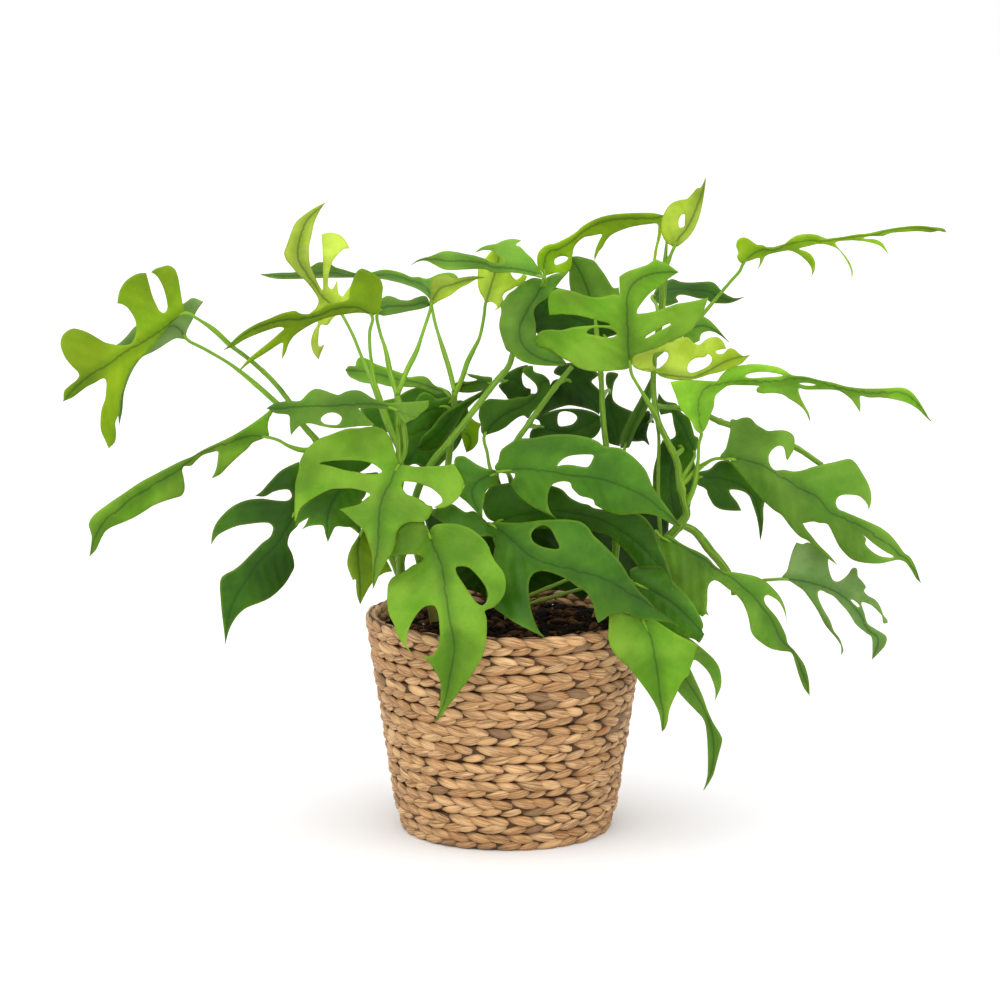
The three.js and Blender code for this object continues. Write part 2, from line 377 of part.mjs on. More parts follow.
      + '-16,188 -14,200 -11,212 -9.5,218 -8.4,226 -12,230 -19,230 -30,232 -45,237 -54,243 -60,247! '
      + '-57,252 -50,253.5 -43,256 -38,253 -32,249.5 -26,250.4 -20,246',
    holes: ['20.3,232.3 24.4,237.2 30.5,238.8 35.6,235.9 38.7,230.3 42.6,220.6 35.6,220.4 27.4,222.5 '
      + '21.5,226.6'],
  },
  {
    name: 'leaf_centre_shade', green: 'dark', lean: -0.1, curl: 0,
    stalk: [[-2, 237, -13]],
    rib: [[-8, 241, -20], [8, 246, -24], [25, 249, -28], [48, 249.5, -34], [75, 243, -43],
      [100, 228.5, -55], [118, 212, -68], [129.8, 200.5, -79], [133, 188, -86]],
    edge: '-15,245 -19,255 -17,263 -12,270 -4,272 4,273 14,272 25,271 35,271 45,267.5 51,261.5 60,256.8 '
      + '66,255.4 70,253 85,251 100,250 110,246 118,236 121.5,227 124.6,219 128,212 131,203 133,195 '
      + '133,188! 129,198.5 125,203 121,205 113,205 107,205.4 104,208 100,213 97,217 92,222 88,226 '
      + '82,231 76,232.4 68,234 55,236 35,236 15,236 0,237',
  },
  {
    name: 'leaf_centre_upper', green: 'deep', lean: 0.05, curl: 0.0008,
    stalk: [[-3, 283, -34], [2, 280, -21], [5, 270, -9], [7, 258, -6]],
    rib: [[-7, 281.6, -44], [10, 283.5, -50], [30, 282, -56], [52, 279, -62], [75, 276, -68],
      [95, 269, -74], [112, 260.5, -80], [126, 250, -85], [139.7, 238.5, -90]],
    edge: '-9.2,285.4 -6.2,290.5 -4.1,298.7 2,303.8 9.2,307.9 22.6,309 32.8,311 43,311.8 53.3,311.5 '
      + '61.5,310.2 67.7,308.5 73.8,305.9 78.7,302.3 86.3,301.5 91.8,300.6 96.2,297.9 102.7,293 '
      + '108.1,287.6 112,282.7 114.7,276.7 117.9,269 122.3,262.5 127.8,254.9 134.3,246.2 139.7,238.5! '
      + '136.5,238.2 131,240.7 124.5,244.5 117.9,247.3 110.3,248.3 102.7,248 91.8,247.3 83.1,249.4 '
      + '76.5,252.2 71,255.4! 70,259 65.4,261 59.2,262.6 55.1,266.2 52.6,269.2 51.5,272.8 46.9,274.1 '
      + '41.8,273.5 37.7,271.8 34.6,267.2 33.3,261 33.6,254.9 35.6,249.7 39.7,244.6 43,242.3! '
      + '36.7,246.2 29.5,249.7 21.3,253.8 14.1,259 7.9,265.1 3.8,271.8 6.4,276.9 8.6,279.6 4,280.6 '
      + '-2,280.4',
    holes: ['41,286.6 43,289.5 47,292.8 52.1,294.6 62.3,295.6 70,294.8 69.3,291.8 65.4,285.8 60.3,286 '
      + '52.1,287.4 46,287.4'],
  },
  {
    name: 'leaf_centre_left', green: 'deep', lean: 0.1, curl: 0.002,
    stalk: [[-7, 280, -26], [-6, 274, -14], [-2, 262, -8], [3, 248, -6]],
    rib: [[-8, 280, -34], [-14, 278, -36], [-22, 274, -38], [-27, 267, -40], [-26, 259, -42],
      [-18.7, 243.3, -46]],
    edge: '-8.2,283 -14.4,284 -22.6,287.4 -29.7,292.1 -33.8,294.4 -40,293.6 -41.5,289 -39,281.3 '
      + '-35.9,276.2 -33.3,271 -34.9,266.9 -37.4,262.8 -31.8,257.7 -26.7,252.6 -21.5,246.9 '
      + '-18.7,243.3! -18.7,251.5 -17.4,259.7 -15.4,266.9 -12.3,269.5 -8.2,271 -6.7,275.1',
  },
  {
    name: 'leaf_centre_high', green: 'deep', lean: -0.2, curl: 0,
    stalk: [[-15, 297, 0], [-12.5, 284, -6], [-4, 268, -8], [6, 250, -6]],
    rib: [[-17.5, 310.4, 6], [-10, 320, 8], [0, 328, 10], [15, 335.5, 13], [26, 345, 16], [29, 353, 18],
      [34.8, 355.1, 20]],
    edge: '-20,314 -20,319 -22,327 -20,335 -14,340 -8,340 1,339.7 10,341.6 17,342 20.5,344.5 23.8,344.4 '
      + '25,346 24.2,350.8 19.8,355.6 15,359.6 12.8,363 15.6,365.5 21.3,366.6 22.3,362.3 30,359.4 '
      + '34.8,355.1! 36,346 30,338.3 26.2,334.4 21.3,329.6 17.5,324.3 14.6,326.7 9.8,325.3 5,321.9 '
      + '-0.8,317.1 -6.5,314.2 -12.3,312.3',
  },
  {
    name: 'leaf_centre_high_shade', green: 'dark', lean: 0.2, curl: 0,
    stalk: [[-4, 356, -8]],
    rib: [[-1, 354, 22], [6, 356, 24], [12, 352, 26], [20, 345.5, 28]],
    edge: '-4,358 3,362.3 11,366 18,367 13,360 13.5,353 15.6,349.3 20,348 20,345.5! 20,342 16,341 '
      + '9,340.5 1,340.3 0.5,342 -3,346 -6,351',
  },
  {
    name: 'leaf_left_core', green: 'dark', lean: -0.2, curl: 0.001,
    stalk: [[-41, 338, 18]],
    rib: [[-44, 338, 30], [-52, 328, 36], [-60, 317, 42], [-68, 306, 47], [-76, 293, 52]],
    edge: '-44,344.5 -51,349 -65,350.5 -78.4,347 -88,341! -97,339 -108,335.5 -117,332! -109,320 '
      + '-98,314 -89,312.5! -85,303 -84,292 -82,284! -73,288 -65,284 -56,284! -47,293 -38.4,302.4 '
      + '-33.6,313.6 -30,329.6 -34,338.5',
  },
  {
    name: 'leaf_low_shade', green: 'dark', lean: 0, curl: 0.001,
    stalk: [[10, 246, 14]],
    rib: [[14, 240, 32], [17, 225, 38], [19, 208, 44], [20, 187, 50]],
    edge: '3,237.5 -10,240 -22.4,243.2 -36,247 -46,248 -56,252.5 -66,247! -63,236 -60.8,227 -57,210 '
      + '-50,197! -41,194 -33,197 -22,190 -12,181! -3,189 9,193 20,182! 31,190 42,194 53,189 62,181! '
      + '69,191 78,196 88,192 97,187! 102,199 110,211 119,222 130,234! 129,247.5 111,250.4 98,244 '
      + '75,242 55,243.2 27.2,241.5',
  },
  {
    name: 'leaf_top_shade', green: 'dark', lean: 0.1, curl: 0,
    stalk: [[76, 382, 18]],
    rib: [[80, 389, 24], [68, 398, 27], [54, 405, 29], [40, 411, 31], [25, 419, 33]],
    edge: '91,393 92.8,398 89.6,409.6 79,415 67.2,419.2 48,427.2 31.2,431.2! 19.2,425.6 17.5,415 '
      + '20,404.8 21,397 27.2,391 43.2,389.5 63.2,387.5',
  },
  {
    name: 'leaf_under_top', green: 'dark', lean: 0.15, curl: 0,
    stalk: [[44, 352, 10]],
    rib: [[50, 355, 22], [56, 350, 26], [63, 344, 30], [70, 337, 34], [74.5, 327.5, 38]],
    edge: '44,358 38,361 41,366 50,369 60,367 70,364 74,359 72.3,357.5 68.5,354 72,350 76,345.5 '
      + '76.4,338 75.8,331 74.5,327.5! 69.4,330.6 61.7,333 51.2,334.9 47.3,334.4 39.6,332 31.9,328.7 '
      + '28,326 26,330 30,338 34,346 37,354 41,356',
  },
  {
    name: 'leaf_under_middle', green: 'dark', lean: 0.1, curl: 0,
    stalk: [[24, 318, 30], [19, 319, 3]],
    rib: [[28, 318, 50], [38, 315, 55], [50, 314, 60], [62, 318, 65], [70, 322, 70], [76, 326, 74]],
    edge: '26,323 20,325 27,328 33,329.4 41,331.6 48,332.4 60,332 70,329.5 76,326! 76,318 74,313 70,309 '
      + '62,307 45,307 30,306 20,305 19,312 22,317',
    holes: ['42.3,318.8 42.3,328.5 47.5,330.2 55,328 57,325 54,320.6 50,319'],
  },
  {
    name: 'leaf_right_inner_shade', green: 'dark', lean: 0.2, curl: 0.002,
    stalk: [[80, 346, 30], [77, 342, 4]],
    rib: [[83, 346, 52], [84, 332, 60], [88, 318, 66], [91, 302, 72]],
    edge: '80,352 81,361 90,360 86.5,353 85.6,340 89.6,335.5 101.6,330! 98,322 93,310 91,302! 84,304 '
      + '80,306 76,320 77,336',
  },
  {
    name: 'leaf_right_inner_edge', green: 'deep', lean: 1.4, curl: 0,
    stalk: [[94, 290, 30], [92, 260, 16], [88, 235, 8]],
    rib: [[95, 301, 32], [100, 316, 28], [105.5, 328, 26], [111, 340, 24], [116, 359, 20]],
    edge: '91.5,301 96,318 101,329 107,340 112,350 116,359! 117,348 115,337 110,326 104,315 98,301',
  },
  {
    name: 'leaf_right_inner_low', green: 'dark', lean: 0.3, curl: 0,
    stalk: [[117, 326, 30], [119, 330, -8]],
    rib: [[115, 322, 66], [110, 317, 72], [105, 312, 76], [98.3, 306, 82]],
    edge: '118.5,320.3 116.9,326 113.6,331 106,321 100,311 98.3,306! 106,306 110.3,306.4 114.7,302.8 '
      + '112.7,311.5',
  },
  {
    name: 'leaf_behind_right_stem', green: 'dark', lean: 0.3, curl: 0.001,
    stalk: [[141, 300, 4]],
    rib: [[138, 302, 20], [134, 292, 26], [132, 280, 30], [132, 266, 34], [136, 243, 38]],
    edge: '132,306 125,307! 121.6,297 118,283 117.5,272 119,259 126.4,249.6 136,241.6! 145.6,249.6 '
      + '148.8,263 152,283 148,297 144,303',
  },
  {
    name: 'leaf_yellow_inner', green: 'lime', lean: 0.3, curl: 0,
    stalk: [[-42, 314, 10]],
    rib: [[-36, 315, 14], [-31, 312, 16], [-28, 306, 18], [-31.5, 297, 20]],
    edge: '-33,320 -29,326! -24,322 -20,320 -21.5,316 -22,310.5 -22.4,305.6 -26.7,299.8 -31.5,297! '
      + '-33,301 -35,308',
  },
  {
    name: 'leaf_top_left', green: 'mid', lean: -0.6, curl: 0.002,
    stalk: [[30, 430, -10]],
    rib: [[31, 436.8, -22], [22, 441, -22], [11, 443.6, -22], [0, 445, -23], [-10, 446, -24],
      [-20, 449, -26], [-33, 450.3, -28], [-46, 450.8, -31], [-58, 451.8, -33], [-66, 452, -35],
      [-70.6, 450.9, -36], [-75.6, 448.1, -38]],
    edge: '27.5,443 23.7,448.4 20.8,452.7 16.9,456.1 14,459.4 11.2,461.8 7.8,463.3 9.7,465.2 '
      + '12.3,466.9! 8.3,467.9 4.4,468.1 -0.4,467.3 -4.2,466 -8.1,464.2 -13.8,463.3 -18.7,461.8 '
      + '-22.5,459.4 -25.2,456.7! -21.5,458.3 -17.7,459.2 -11,458.5 -7,455 -2,449.5 -7,448.8 '
      + '-11.9,449.3 -16.7,452.2 -21.5,453.7 -26.3,455.1 -32.1,456.1 -39.8,457.7 -46.5,458.5 '
      + '-51.3,458 -56.2,456.1 -61,454.2 -65.8,453.2 -70.6,451.6 -75.6,448.1! -70.6,450.2 -65.8,451 '
      + '-61.9,450 -59,448.4 -56.2,446.9 -53.3,445.2 -49.4,443.6 -44.6,443.1 -33.1,443.6 -22.5,444 '
      + '-15.8,443.6 -11.9,441.6 -8.1,441 1.5,441.3 11.2,440.4 20,438.6',
  },
  {
    name: 'leaf_top_left_behind', green: 'lime', lean: 0.1, curl: 0.002,
    stalk: [[-17.2, 409.4, 10], [-18.7, 399.8, 8], [-21.5, 388.3, 6], [-25.4, 380.6, 4],
      [-30.8, 369.5, 2], [-35, 357.2, 2], [-40, 342, 4]],
    rib: [[-16.6, 415.6, 12], [-14, 424, 12], [-11, 434, 10], [-8, 444, 8], [-6, 453, 6], [-6, 462, 4]],
    edge: '-17.7,420 -20.6,424.8 -22.5,430.6 -22.7,438.3 -22.5,443.1 -20,449 -16.3,453 -12,458 -6,462! '
      + '-2,458 0,450 3,443 4,440 6,437 8.5,435.5 11,437 14,440 17,438.3! 15,434 11,431 7.3,429.6 '
      + '4.4,427.7 -0.4,425.3 -2.8,421.9 -2,418 -4,414 -7.5,411.5 -9.5,410.9! -7.1,413.8 -9,416.2 '
      + '-11.4,417.6 -13.8,417.6',
  },
  {
    name: 'leaf_top_drooping', green: 'mid', lean: 0.1, curl: 0.003,
    stalk: [[28, 430, -4]],
    rib: [[30.5, 435.6, -10], [26, 426, -18], [17, 410, -28], [11, 396, -34], [14, 383, -38],
      [27, 373, -42], [49.2, 367.6, -46]],
    edge: '22,437 15,434 11,431.5 7.3,428 1.5,423.8 -1.3,419.5 -4.2,416.2 -3.8,409.4 -5.2,402.7 '
      + '-5.4,396.9 -3.8,390.2 -1.8,384.4 0.1,379.6 3.9,376.7 8.3,373 12.3,370.5 18.5,368.3 '
      + '24.6,367.2 32.8,366.6 43,366.6 49.2,367.6! 44,374 39,378.5 32.8,382 26,386 24,393 24,399 '
      + '23,404 22.2,409 24,414 28.5,418 32.8,420.5 36,424 40,429.6 45,436 50.1,441.6! 43.8,441 '
      + '39,440.2 35,438.6',
  },
  {
    name: 'leaf_top_behind', green: 'mid', lean: 0, curl: 0.002,
    stalk: [[72, 398, 14], [73, 380, 10]],
    rib: [[70, 412, 18], [66, 425, 16], [61, 438, 14], [56, 447, 12], [51.1, 453.7, 10]],
    edge: '60,412 54,420 51,430 50.5,441 51.1,453.7! 57.3,454.3 63.3,453 70.6,450.6 74.2,446.3 '
      + '79.1,439.6 82.7,433.6 86,429 90.3,429.3! 90.3,420 82,413',
  },
  {
    name: 'leaf_top_hand', green: 'light', lean: 0, curl: 0.0022,
    stalk: [[100.5, 360, -48], [107, 348.5, -42], [116.8, 332, -30], [124, 320, -15]],
    rib: [[99.5, 366, -52], [98, 380, -58], [97.5, 395, -62], [97, 410, -66], [97.5, 423, -69],
      [102, 432, -70], [112, 438.5, -72], [125, 441, -74], [138.1, 441.5, -76]],
    edge: '97.4,364.2 87.6,362.9 75.4,362 64.5,362.9 57.2,365.4 51.1,369.6 46.2,372 41,375.6 '
      + '36.9,378.9 30.8,380.9 26.2,382 23.8,384.4 24.4,387.9 24.6,391.2 28.5,394.5 35.2,395.5 '
      + '44.8,395.2 51.5,396.9 59.2,398.1 63.3,398.4 70.6,399 79.1,399 84,399.2 81.5,400.8 75.4,402.3 '
      + '69.4,404 62,405.9 56,407.2 49.9,407.4 44.8,408 40,407.6 34.7,407.2! 34.2,411.3 33.6,419 '
      + '34.7,422.9 37.5,426.5 42.9,428.5 47.7,427.5 54.4,426 63.3,422.8 73,421.3 81.5,422.6 '
      + '86.4,423.8 90.3,423 90.8,431.1 90.6,437.8! 93.7,440.2 98.6,442.7 105.9,445.1 113.2,447.6 '
      + '119.9,451.8 122.9,450.6 129,448.2 138.1,441.5! 129,435.4 122.9,429.9 118.1,426.9 113.2,422.6 '
      + '108.3,416.5 105.9,412.9 104.7,408.8 109.5,408.6 118.1,410 127.8,413 137.5,416.3 146.1,417.6 '
      + '154.6,419.4 161.9,421.1! 160.1,416.5 158.2,411 155.2,405.5 152.1,400.7 148.5,395.2 '
      + '142.4,391.5 135.1,387.9 129,384.8 122.9,381.8 113.2,378.2 105.9,376.3 101.6,373.5 100.8,368',
    holes: ['64.5,392.8 66.3,395.6 71.8,397 80.3,396.8 86.4,394.6 88.8,392 86.4,389.9 80.3,389.1 '
      + '73,390.7',
      '111.4,388.6 112,390 121,395.6 131.5,400.6 131.8,399.6 121.5,393.8'],
  },
  {
    name: 'leaf_arched', green: 'lime', lean: -0.5, curl: 0,
    stalk: [[29.6, 430, 0]],
    rib: [[31, 438.6, -6], [31, 448, -4], [34, 457, -3], [43, 460.4, -3], [52, 466, -3], [62, 473.5, -3],
      [75, 480.5, -2], [90, 483.5, 0], [108, 484.5, 2], [119, 484.6, 4], [126.3, 486.5, 5]],
    edge: '28.5,442.1 25.6,446 24.8,450.8 25.6,456.5 29.4,461.3 34.2,463.8 39,464.4 44.8,467.1 50.6,470 '
      + '56.3,473.8 60.8,478 69.4,483.1 79.1,486.5 88.8,488.1 99.8,488.8 109.5,489.1 118.1,488.8 '
      + '122.9,487.7 126.3,486.5! 125.2,482 124.6,477 124.2,471.5 121.5,461.6 119.9,452 117.2,446.5! '
      + '118.6,458 120.6,467 121.7,475 121.2,480 113.2,479.8 105.9,478.8 99.8,477.6 93.7,475.6 '
      + '88.8,473.7 84,471 80.3,467 77.3,461.5 74.2,457.9 72.4,454.3 70.9,450.4! 70.6,454.3 72,460.3 '
      + '74.2,465.8 76.9,471.9 73,471.5 66.9,470.3 62.7,469.5 58.4,466.4 55.3,462.8 53.7,459.1 '
      + '53.5,456.5 52.8,453.9 52.7,449 51.5,444 49.5,441.5 44,441 40,441 35,439.6',
    holes: ['39,447.9 39,451.7 42.9,454 47.5,454.2 49.8,453 48.5,450.8 43.8,448.4 40,447.4'],
  },
  {
    name: 'leaf_young_top', green: 'lime', lean: 0.3, curl: 0.004,
    stalk: [[131.4, 454.3, -12], [127.2, 444, -8]],
    rib: [[134.5, 461.2, -14], [138, 468, -14], [144, 476, -13], [148.5, 484, -12], [153, 495, -10],
      [157, 506, -8], [159.9, 518.2, -5]],
    edge: '132.1,462.8 129,464.6 126.6,467.6 124.5,472.5 124.2,477.4 124.6,483.5 126.4,488.3 '
      + '129.6,493.8 133.9,497.5 140,499.5 144.8,500.2 147.9,503 150.9,506.6 152.8,508.8 155.2,509 '
      + '157.6,512.7 159.9,518.2! 159.5,511.5 158.2,501.7 156.4,492 154,483.5 150.9,476.2 147.3,470.7 '
      + '142.4,465.8 137.5,462.2',
    holes: ['138.8,477.4 138.1,482.3 140.6,487.5 143,487.9 143,482.3 142.4,478'],
  },
  {
    name: 'leaf_behind_top_right', green: 'dark', lean: 0.8, curl: 0,
    stalk: [[120, 416, 32], [123, 404, 10], [124.5, 396, -3]],
    rib: [[117, 422, 48], [125, 426, 54], [138, 428.5, 60], [150, 427.5, 66], [162, 426, 72],
      [170, 422, 76], [178, 419.6, 80], [190.6, 422, 86]],
    edge: '121,429 129,434.5 133,436 140,433.8 148.5,433.2 157,433.8 164.3,433.8 168,431.7 172.8,426.2 '
      + '177.7,422.8 182.6,421.1 186.2,421.3 190.6,422! 185,418.9 178.9,416.7 170.4,416.5 164.3,417.1 '
      + '160,420 154.6,420.4 146.1,422.6 141.2,423.4 137.5,422.8 136.1,420.8 138.1,417.7 135.1,416.5 '
      + '129,414.5 121.7,416.5',
  },
  {
    name: 'leaf_behind_hand', green: 'mid', lean: 0.2, curl: 0,
    stalk: [[132, 394, 4], [122, 390, -4]],
    rib: [[141, 394, 14], [149, 397, 16], [158, 398.5, 18], [167, 395, 20], [178.9, 385.5, 24]],
    edge: '143,400 150,403.5 155,405 158.2,406.2! 163,403 169,397 174,391 178.9,385.5! 172.4,390.3 '
      + '166.8,393.4 161.3,394.2 156.4,392 154.8,386.5! 148,384 143,387',
  },
  {
    name: 'leaf_yellow_right', green: 'lime', lean: 0.2, curl: 0.001,
    stalk: [[118.4, 356, -13]],
    rib: [[120, 361.6, -20], [130, 359.3, -24], [140, 358, -27], [150, 357.9, -29], [162, 362.6, -32],
      [172, 368, -35], [184, 372.8, -38], [195, 375.1, -40]],
    edge: '114.4,361.6 107.1,363.2 102.2,365.6 100.4,369 101.6,374.5 105.9,376.3 113.2,378.2 '
      + '118.1,379.8 122.9,383.6 127.8,385.2 132.7,385.3 137.5,388.5 142.4,389.4 146.1,389.1 149,385.6 '
      + '154.6,383.6 159.5,387.3 163.1,389.1 166.8,389.7 170.4,389.1 174.1,385.5 176.3,380.2! '
      + '171.6,379.6 167.8,378 169,376.4 173.5,376.2 176.3,378.8 178.3,380.6 182.6,380 186.2,376.9 '
      + '189.9,374.5 195,375.1! 192.3,372.1 188.7,368.4 181.4,365.4 174.1,362.3 161.9,359.3 '
      + '154.6,356.8 148.5,355.4 140,355 132.7,355.6 125.4,357.4 121.7,359.4',
    holes: ['120.6,364.5 117.8,367.2 117.2,372.1 118.6,376 122.9,377.6 128.6,377.4 130,375.7 '
      + '128.6,370.8 125.4,367 122.6,364.9',
    '146.5,361.5 145.2,363.8 146,367.8 149,371.2 153,373 159.5,373.6 161.5,376 164.3,373.9 '
      + '164.6,370.4 161.4,366.4 154.6,362.8 149.7,361.2'],
  },
  {
    name: 'leaf_long_right', green: 'light', lean: -0.8, curl: 0,
    stalk: [[154.5, 305, -11], [153.8, 292, -9], [150.6, 270.3, -8], [146, 254, -8]],
    rib: [[156.5, 311.6, -12], [155, 325, -14], [155, 340, -16], [161, 349, -18], [172, 352, -20],
      [190, 354, -22], [205, 354, -23], [219, 354.6, -24], [228, 356, -25], [240, 355.6, -26],
      [250, 353.6, -28], [262, 350.5, -30], [275, 347.5, -32], [290, 345, -34], [305, 345, -36],
      [318, 344, -38], [328, 337, -41], [339.5, 321.8, -44]],
    edge: '151.7,314.9 148.1,322.1 143.1,327.9 138.8,333.7 135.9,342.3 133,349.5 131.5,353.8! 140,355 '
      + '148.8,355.2 163.3,354.4 169,354.4 170.5,356.7 174.8,361.8 180.6,365.4 189.2,367.1 199.3,368 '
      + '209.4,367.1 218.1,365.4 223.8,362.5 228.9,359.2 239.7,357.9 249.8,355.3 261.4,353.1 '
      + '271.4,350.2 285.9,348.5 300.3,348.5 317.6,349.1 323.4,346.6 327.7,342.3 332,335.8 '
      + '336.4,327.9 339.5,321.8! 334.9,326.4 329.1,332.2 321.9,336.5 311.8,339.4 300.3,341.2 '
      + '290.2,341.2 283.5,342.4 283.7,335.1 283.3,329.3! 280.1,334.4 276.5,339.4 271.4,343.7 '
      + '267.1,346.3 261.4,347.4 249.8,347.6 239.7,347.6 234.3,348.4 235.4,342.3 239.7,333.7 '
      + '242.6,327.9 243.8,320.4! 241.9,325 238.3,331.5 232.5,336.5 226.7,340.1 221,343.7 213.7,344.8 '
      + '205.1,344.5 200.5,345.9 200.8,348.8 203,350.2 189.2,351 177.7,350.5 171.9,346.6 167.6,342.3 '
      + '166.2,333.7 163.3,326.4 161.1,319.2',
    holes: ['191.5,358.2 193.6,360 203.7,361.7 213.7,361 222,358.9 219.5,358.2 206.5,357.3 195,356.8',
      '234.5,352.6 241.2,352.9 248.3,351.2 239.7,350.8'],
  },
  {
    name: 'leaf_right_inner', green: 'deep', lean: 0.2, curl: 0.002,
    stalk: [[148, 288, 4], [144, 276, -8]],
    rib: [[151, 296, 12], [146, 308, 14], [141, 319, 16], [132, 332, 20], [125, 338, 23], [122, 345, 26]],
    edge: '148.5,285.4 140.8,282.1! 139.7,289.7 138,293 133,301 130.5,307.2! 135.5,310.5 '
      + '134,320.3 132.1,329 130,328.5 123.9,327.3! 121,335 '
      + '122,345! 127.5,338.5 136.5,336.2 140,330 146.3,324.6 149.5,315.9 151.2,310.5 153.9,309.4! '
      + '153.4,302.8',
  },
  {
    name: 'leaf_right', green: 'mid', lean: 0.1, curl: 0.001,
    stalk: [[175, 292.5, -14], [166.3, 291.9, -10], [161.3, 289.4, -6], [156, 286, -2], [143.5, 273, -8]],
    rib: [[179.5, 291.9, -16], [190, 291, -19], [205, 286.5, -23], [220, 278, -27], [235, 269, -31],
      [250, 260, -35], [260, 249.6, -39], [272, 243.8, -43], [284, 238, -47], [296, 230, -51],
      [306, 223, -54], [315, 215.6, -57], [322, 209.4, -59], [332, 193.1, -62]],
    edge: '171.3,293.8 175.6,300 177.5,306.3 179.4,315.6 180,323.8 184.4,323.4 188.8,325 193.8,325.3 '
      + '196.9,323.8 200,320 205,316.9 209.4,314.6 216.3,315 222.5,315 227.5,313.1 230.4,310 231,303.8 '
      + '230,298.8 227.5,294.4 225,290.6! 223.8,293.8 223.1,298.8 221.3,302.1 218.1,302.5 213.8,300 '
      + '210.6,295.6 210.4,290.6 212.5,285.6 215.6,283.1 222.5,283.5 230,282.1 237.5,283.1 245,285.6 '
      + '253.8,287.8 262.5,289.6 275,292.1 278.8,290 282.5,285 286.3,278.8 290,271.9 292.1,265 '
      + '292.3,258.8 290.3,250.6! 289.4,255 286.3,259.4 282.5,262.3 275,263.4 268.8,263.1 265,260.6 '
      + '264,256.3 266.3,251.9 270,250.3 281.3,245.6 291.3,241.3 300,237.1 307.5,231.3 313.8,223.8 '
      + '318.8,216.9 323.1,213.8 327.5,206.3 332,193.1! 328.8,195.6 323.8,203.8 319.4,209.4 '
      + '314.5,211.2 308.8,210.4 300,208.4 287.5,208.8 277.5,211.3 271.3,216.3 266.3,222.5 262.5,230 '
      + '258.8,237.5 256.9,240 250,240.9 246.3,241.9 237.5,240.4! 240,236.3 245,230 250,223.8 '
      + '260,213.8 265.6,206.9! 258.8,211.6 250,219.2 241.9,226.3 235,230 228.8,236.3 220,247.5 '
      + '215,250.6 205,259.4 200,265 192.5,273.8 185,283.8 180,289.4',
    holes: ['286,231 293.8,224.5 302.5,218.4 310.5,213.6 300,214.2 291.8,219.2 287.5,224.4 288.2,228'],
  },
  {
    name: 'leaf_right_behind', green: 'dark', lean: 0.1, curl: 0.002,
    stalk: [[150, 268, 4], [145, 256, -6]],
    rib: [[153.5, 277, 8], [165, 277, 10], [178, 275, 12], [190, 270, 14], [198, 261, 16], [202, 250, 17],
      [204, 238, 18], [203.5, 226.5, 18]],
    edge: '153.8,281.3 162.5,283.8 170,290 178.8,290.6 186,283 195,275 203,267 207,260 206,252.5 '
      + '206,242.5 205,232.5 203.5,226.5! 201.9,238.8 200,247.5 197.5,255 194.4,262.5 188.8,266.3 '
      + '178.8,267.1 180,263.8 185,257.5 188.5,250.6! 180,250.6 171.3,251.9 166.3,255 163.8,258.8 '
      + '161.3,263.8 160.6,266.9 157.5,269.4 152.8,271.8',
  },
  {
    name: 'leaf_grey_right', green: 'grey', lean: 0.1, curl: 0.001,
    stalk: [[212, 195.4, -16], [206.2, 195, -12], [192, 192, 2], [177, 194, 12]],
    rib: [[221.5, 196, -20], [235, 194.5, -24], [248, 191.5, -28], [260, 187.4, -32], [270, 181.6, -35],
      [277, 175, -37], [284, 166, -40], [289.5, 156, -43], [297.5, 148, -46], [293.2, 131.5, -50]],
    edge: '220.8,197.6 224.6,202.3 226.5,209.2 229.2,218.5 232.3,225.4! 234.6,224.6 237.7,224 '
      + '241.5,225.4 '
      + '250,220.8 258.4,214! 257.8,209.2 258.5,203.8 260,198.5 262.3,194.6 265.4,194 269.2,195.8 '
      + '273.8,200 276.9,204.6 280,205 281.2,203.1 281.5,198.5 285.4,193.8 288.1,189.2 286.5,186.9 '
      + '289.2,183.1 295.4,179.6 299.2,174.6 302.3,166.9 305.4,163.1 305.4,160.8! 301.9,160.4 '
      + '300.8,166.2 295.4,172.3 291.5,175.4 284.6,177.3 284.4,175.8 286.9,168.5 289.2,160.8 '
      + '295.4,156.2 303.8,150.8 304.8,147.7 303.1,142.3 299.2,137.7 293.2,131.5! 293.2,140 '
      + '292.3,149.6 287.7,153.1 280,159.6 273.8,169.2 267.7,176.2 262.3,181.9 256.9,184.6 '
      + '251.5,186.9 249.6,185.4 250.4,180 253.8,172.3 259.2,163.1 262.3,154.6 266.9,148.5 '
      + '269.2,142.3 270,138.5 268.1,134.8! 268,142.3 264.9,147.7 259.4,154.2 255.4,159.2 '
      + '249.2,170.8 243.1,180 237.7,186.9 232.3,190.8 226.9,194.2',
    holes: ['275.8,179.4 277.4,179.4 283,174.4 282.4,173.2 279,175.6'],
  },
  {
    name: 'leaf_low_right', green: 'mid', lean: 0.1, curl: 0.001,
    stalk: [[120, 234, -18], [123, 224, -4]],
    rib: [[124.5, 229, -34], [140, 222, -40], [155, 213.4, -45], [170, 203, -49], [185, 193, -53],
      [200, 179, -57], [212, 163, -60], [221.5, 147, -62], [229, 138.2, -64], [236, 124, -67],
      [243.1, 102.6, -70]],
    edge: '128,231.6 131.8,230.5 139,225.4 146.2,221.3 153.3,218.2 161.5,213.1 167.7,206.4 173.8,202.6 '
      + '182.1,201.6 192.3,199.9 200.5,197.9 207.7,194.1 213.8,188.5 219,182.3 222.1,176.2 224.1,169 '
      + '224.6,160.8! 223.6,166.9 221,173.6 217.9,178.2 212.8,181.8 208.7,183.1 206.7,181.3 '
      + '207.2,177.2 211.8,171 216.9,164.9 221,157.7 224.1,150.5 225.6,144.4 230.4,139.4 234.4,134.1 '
      + '238.5,127.9 241,120.8 242.6,112.6 243.1,102.6! 238.5,108.5 234.4,118.7 231.3,129 228.2,136.9 '
      + '220,138.4 211.8,140.3 203.6,145.4 198.5,150 195.9,154.6 194.6,161.8 192.8,169 189.2,177.2 '
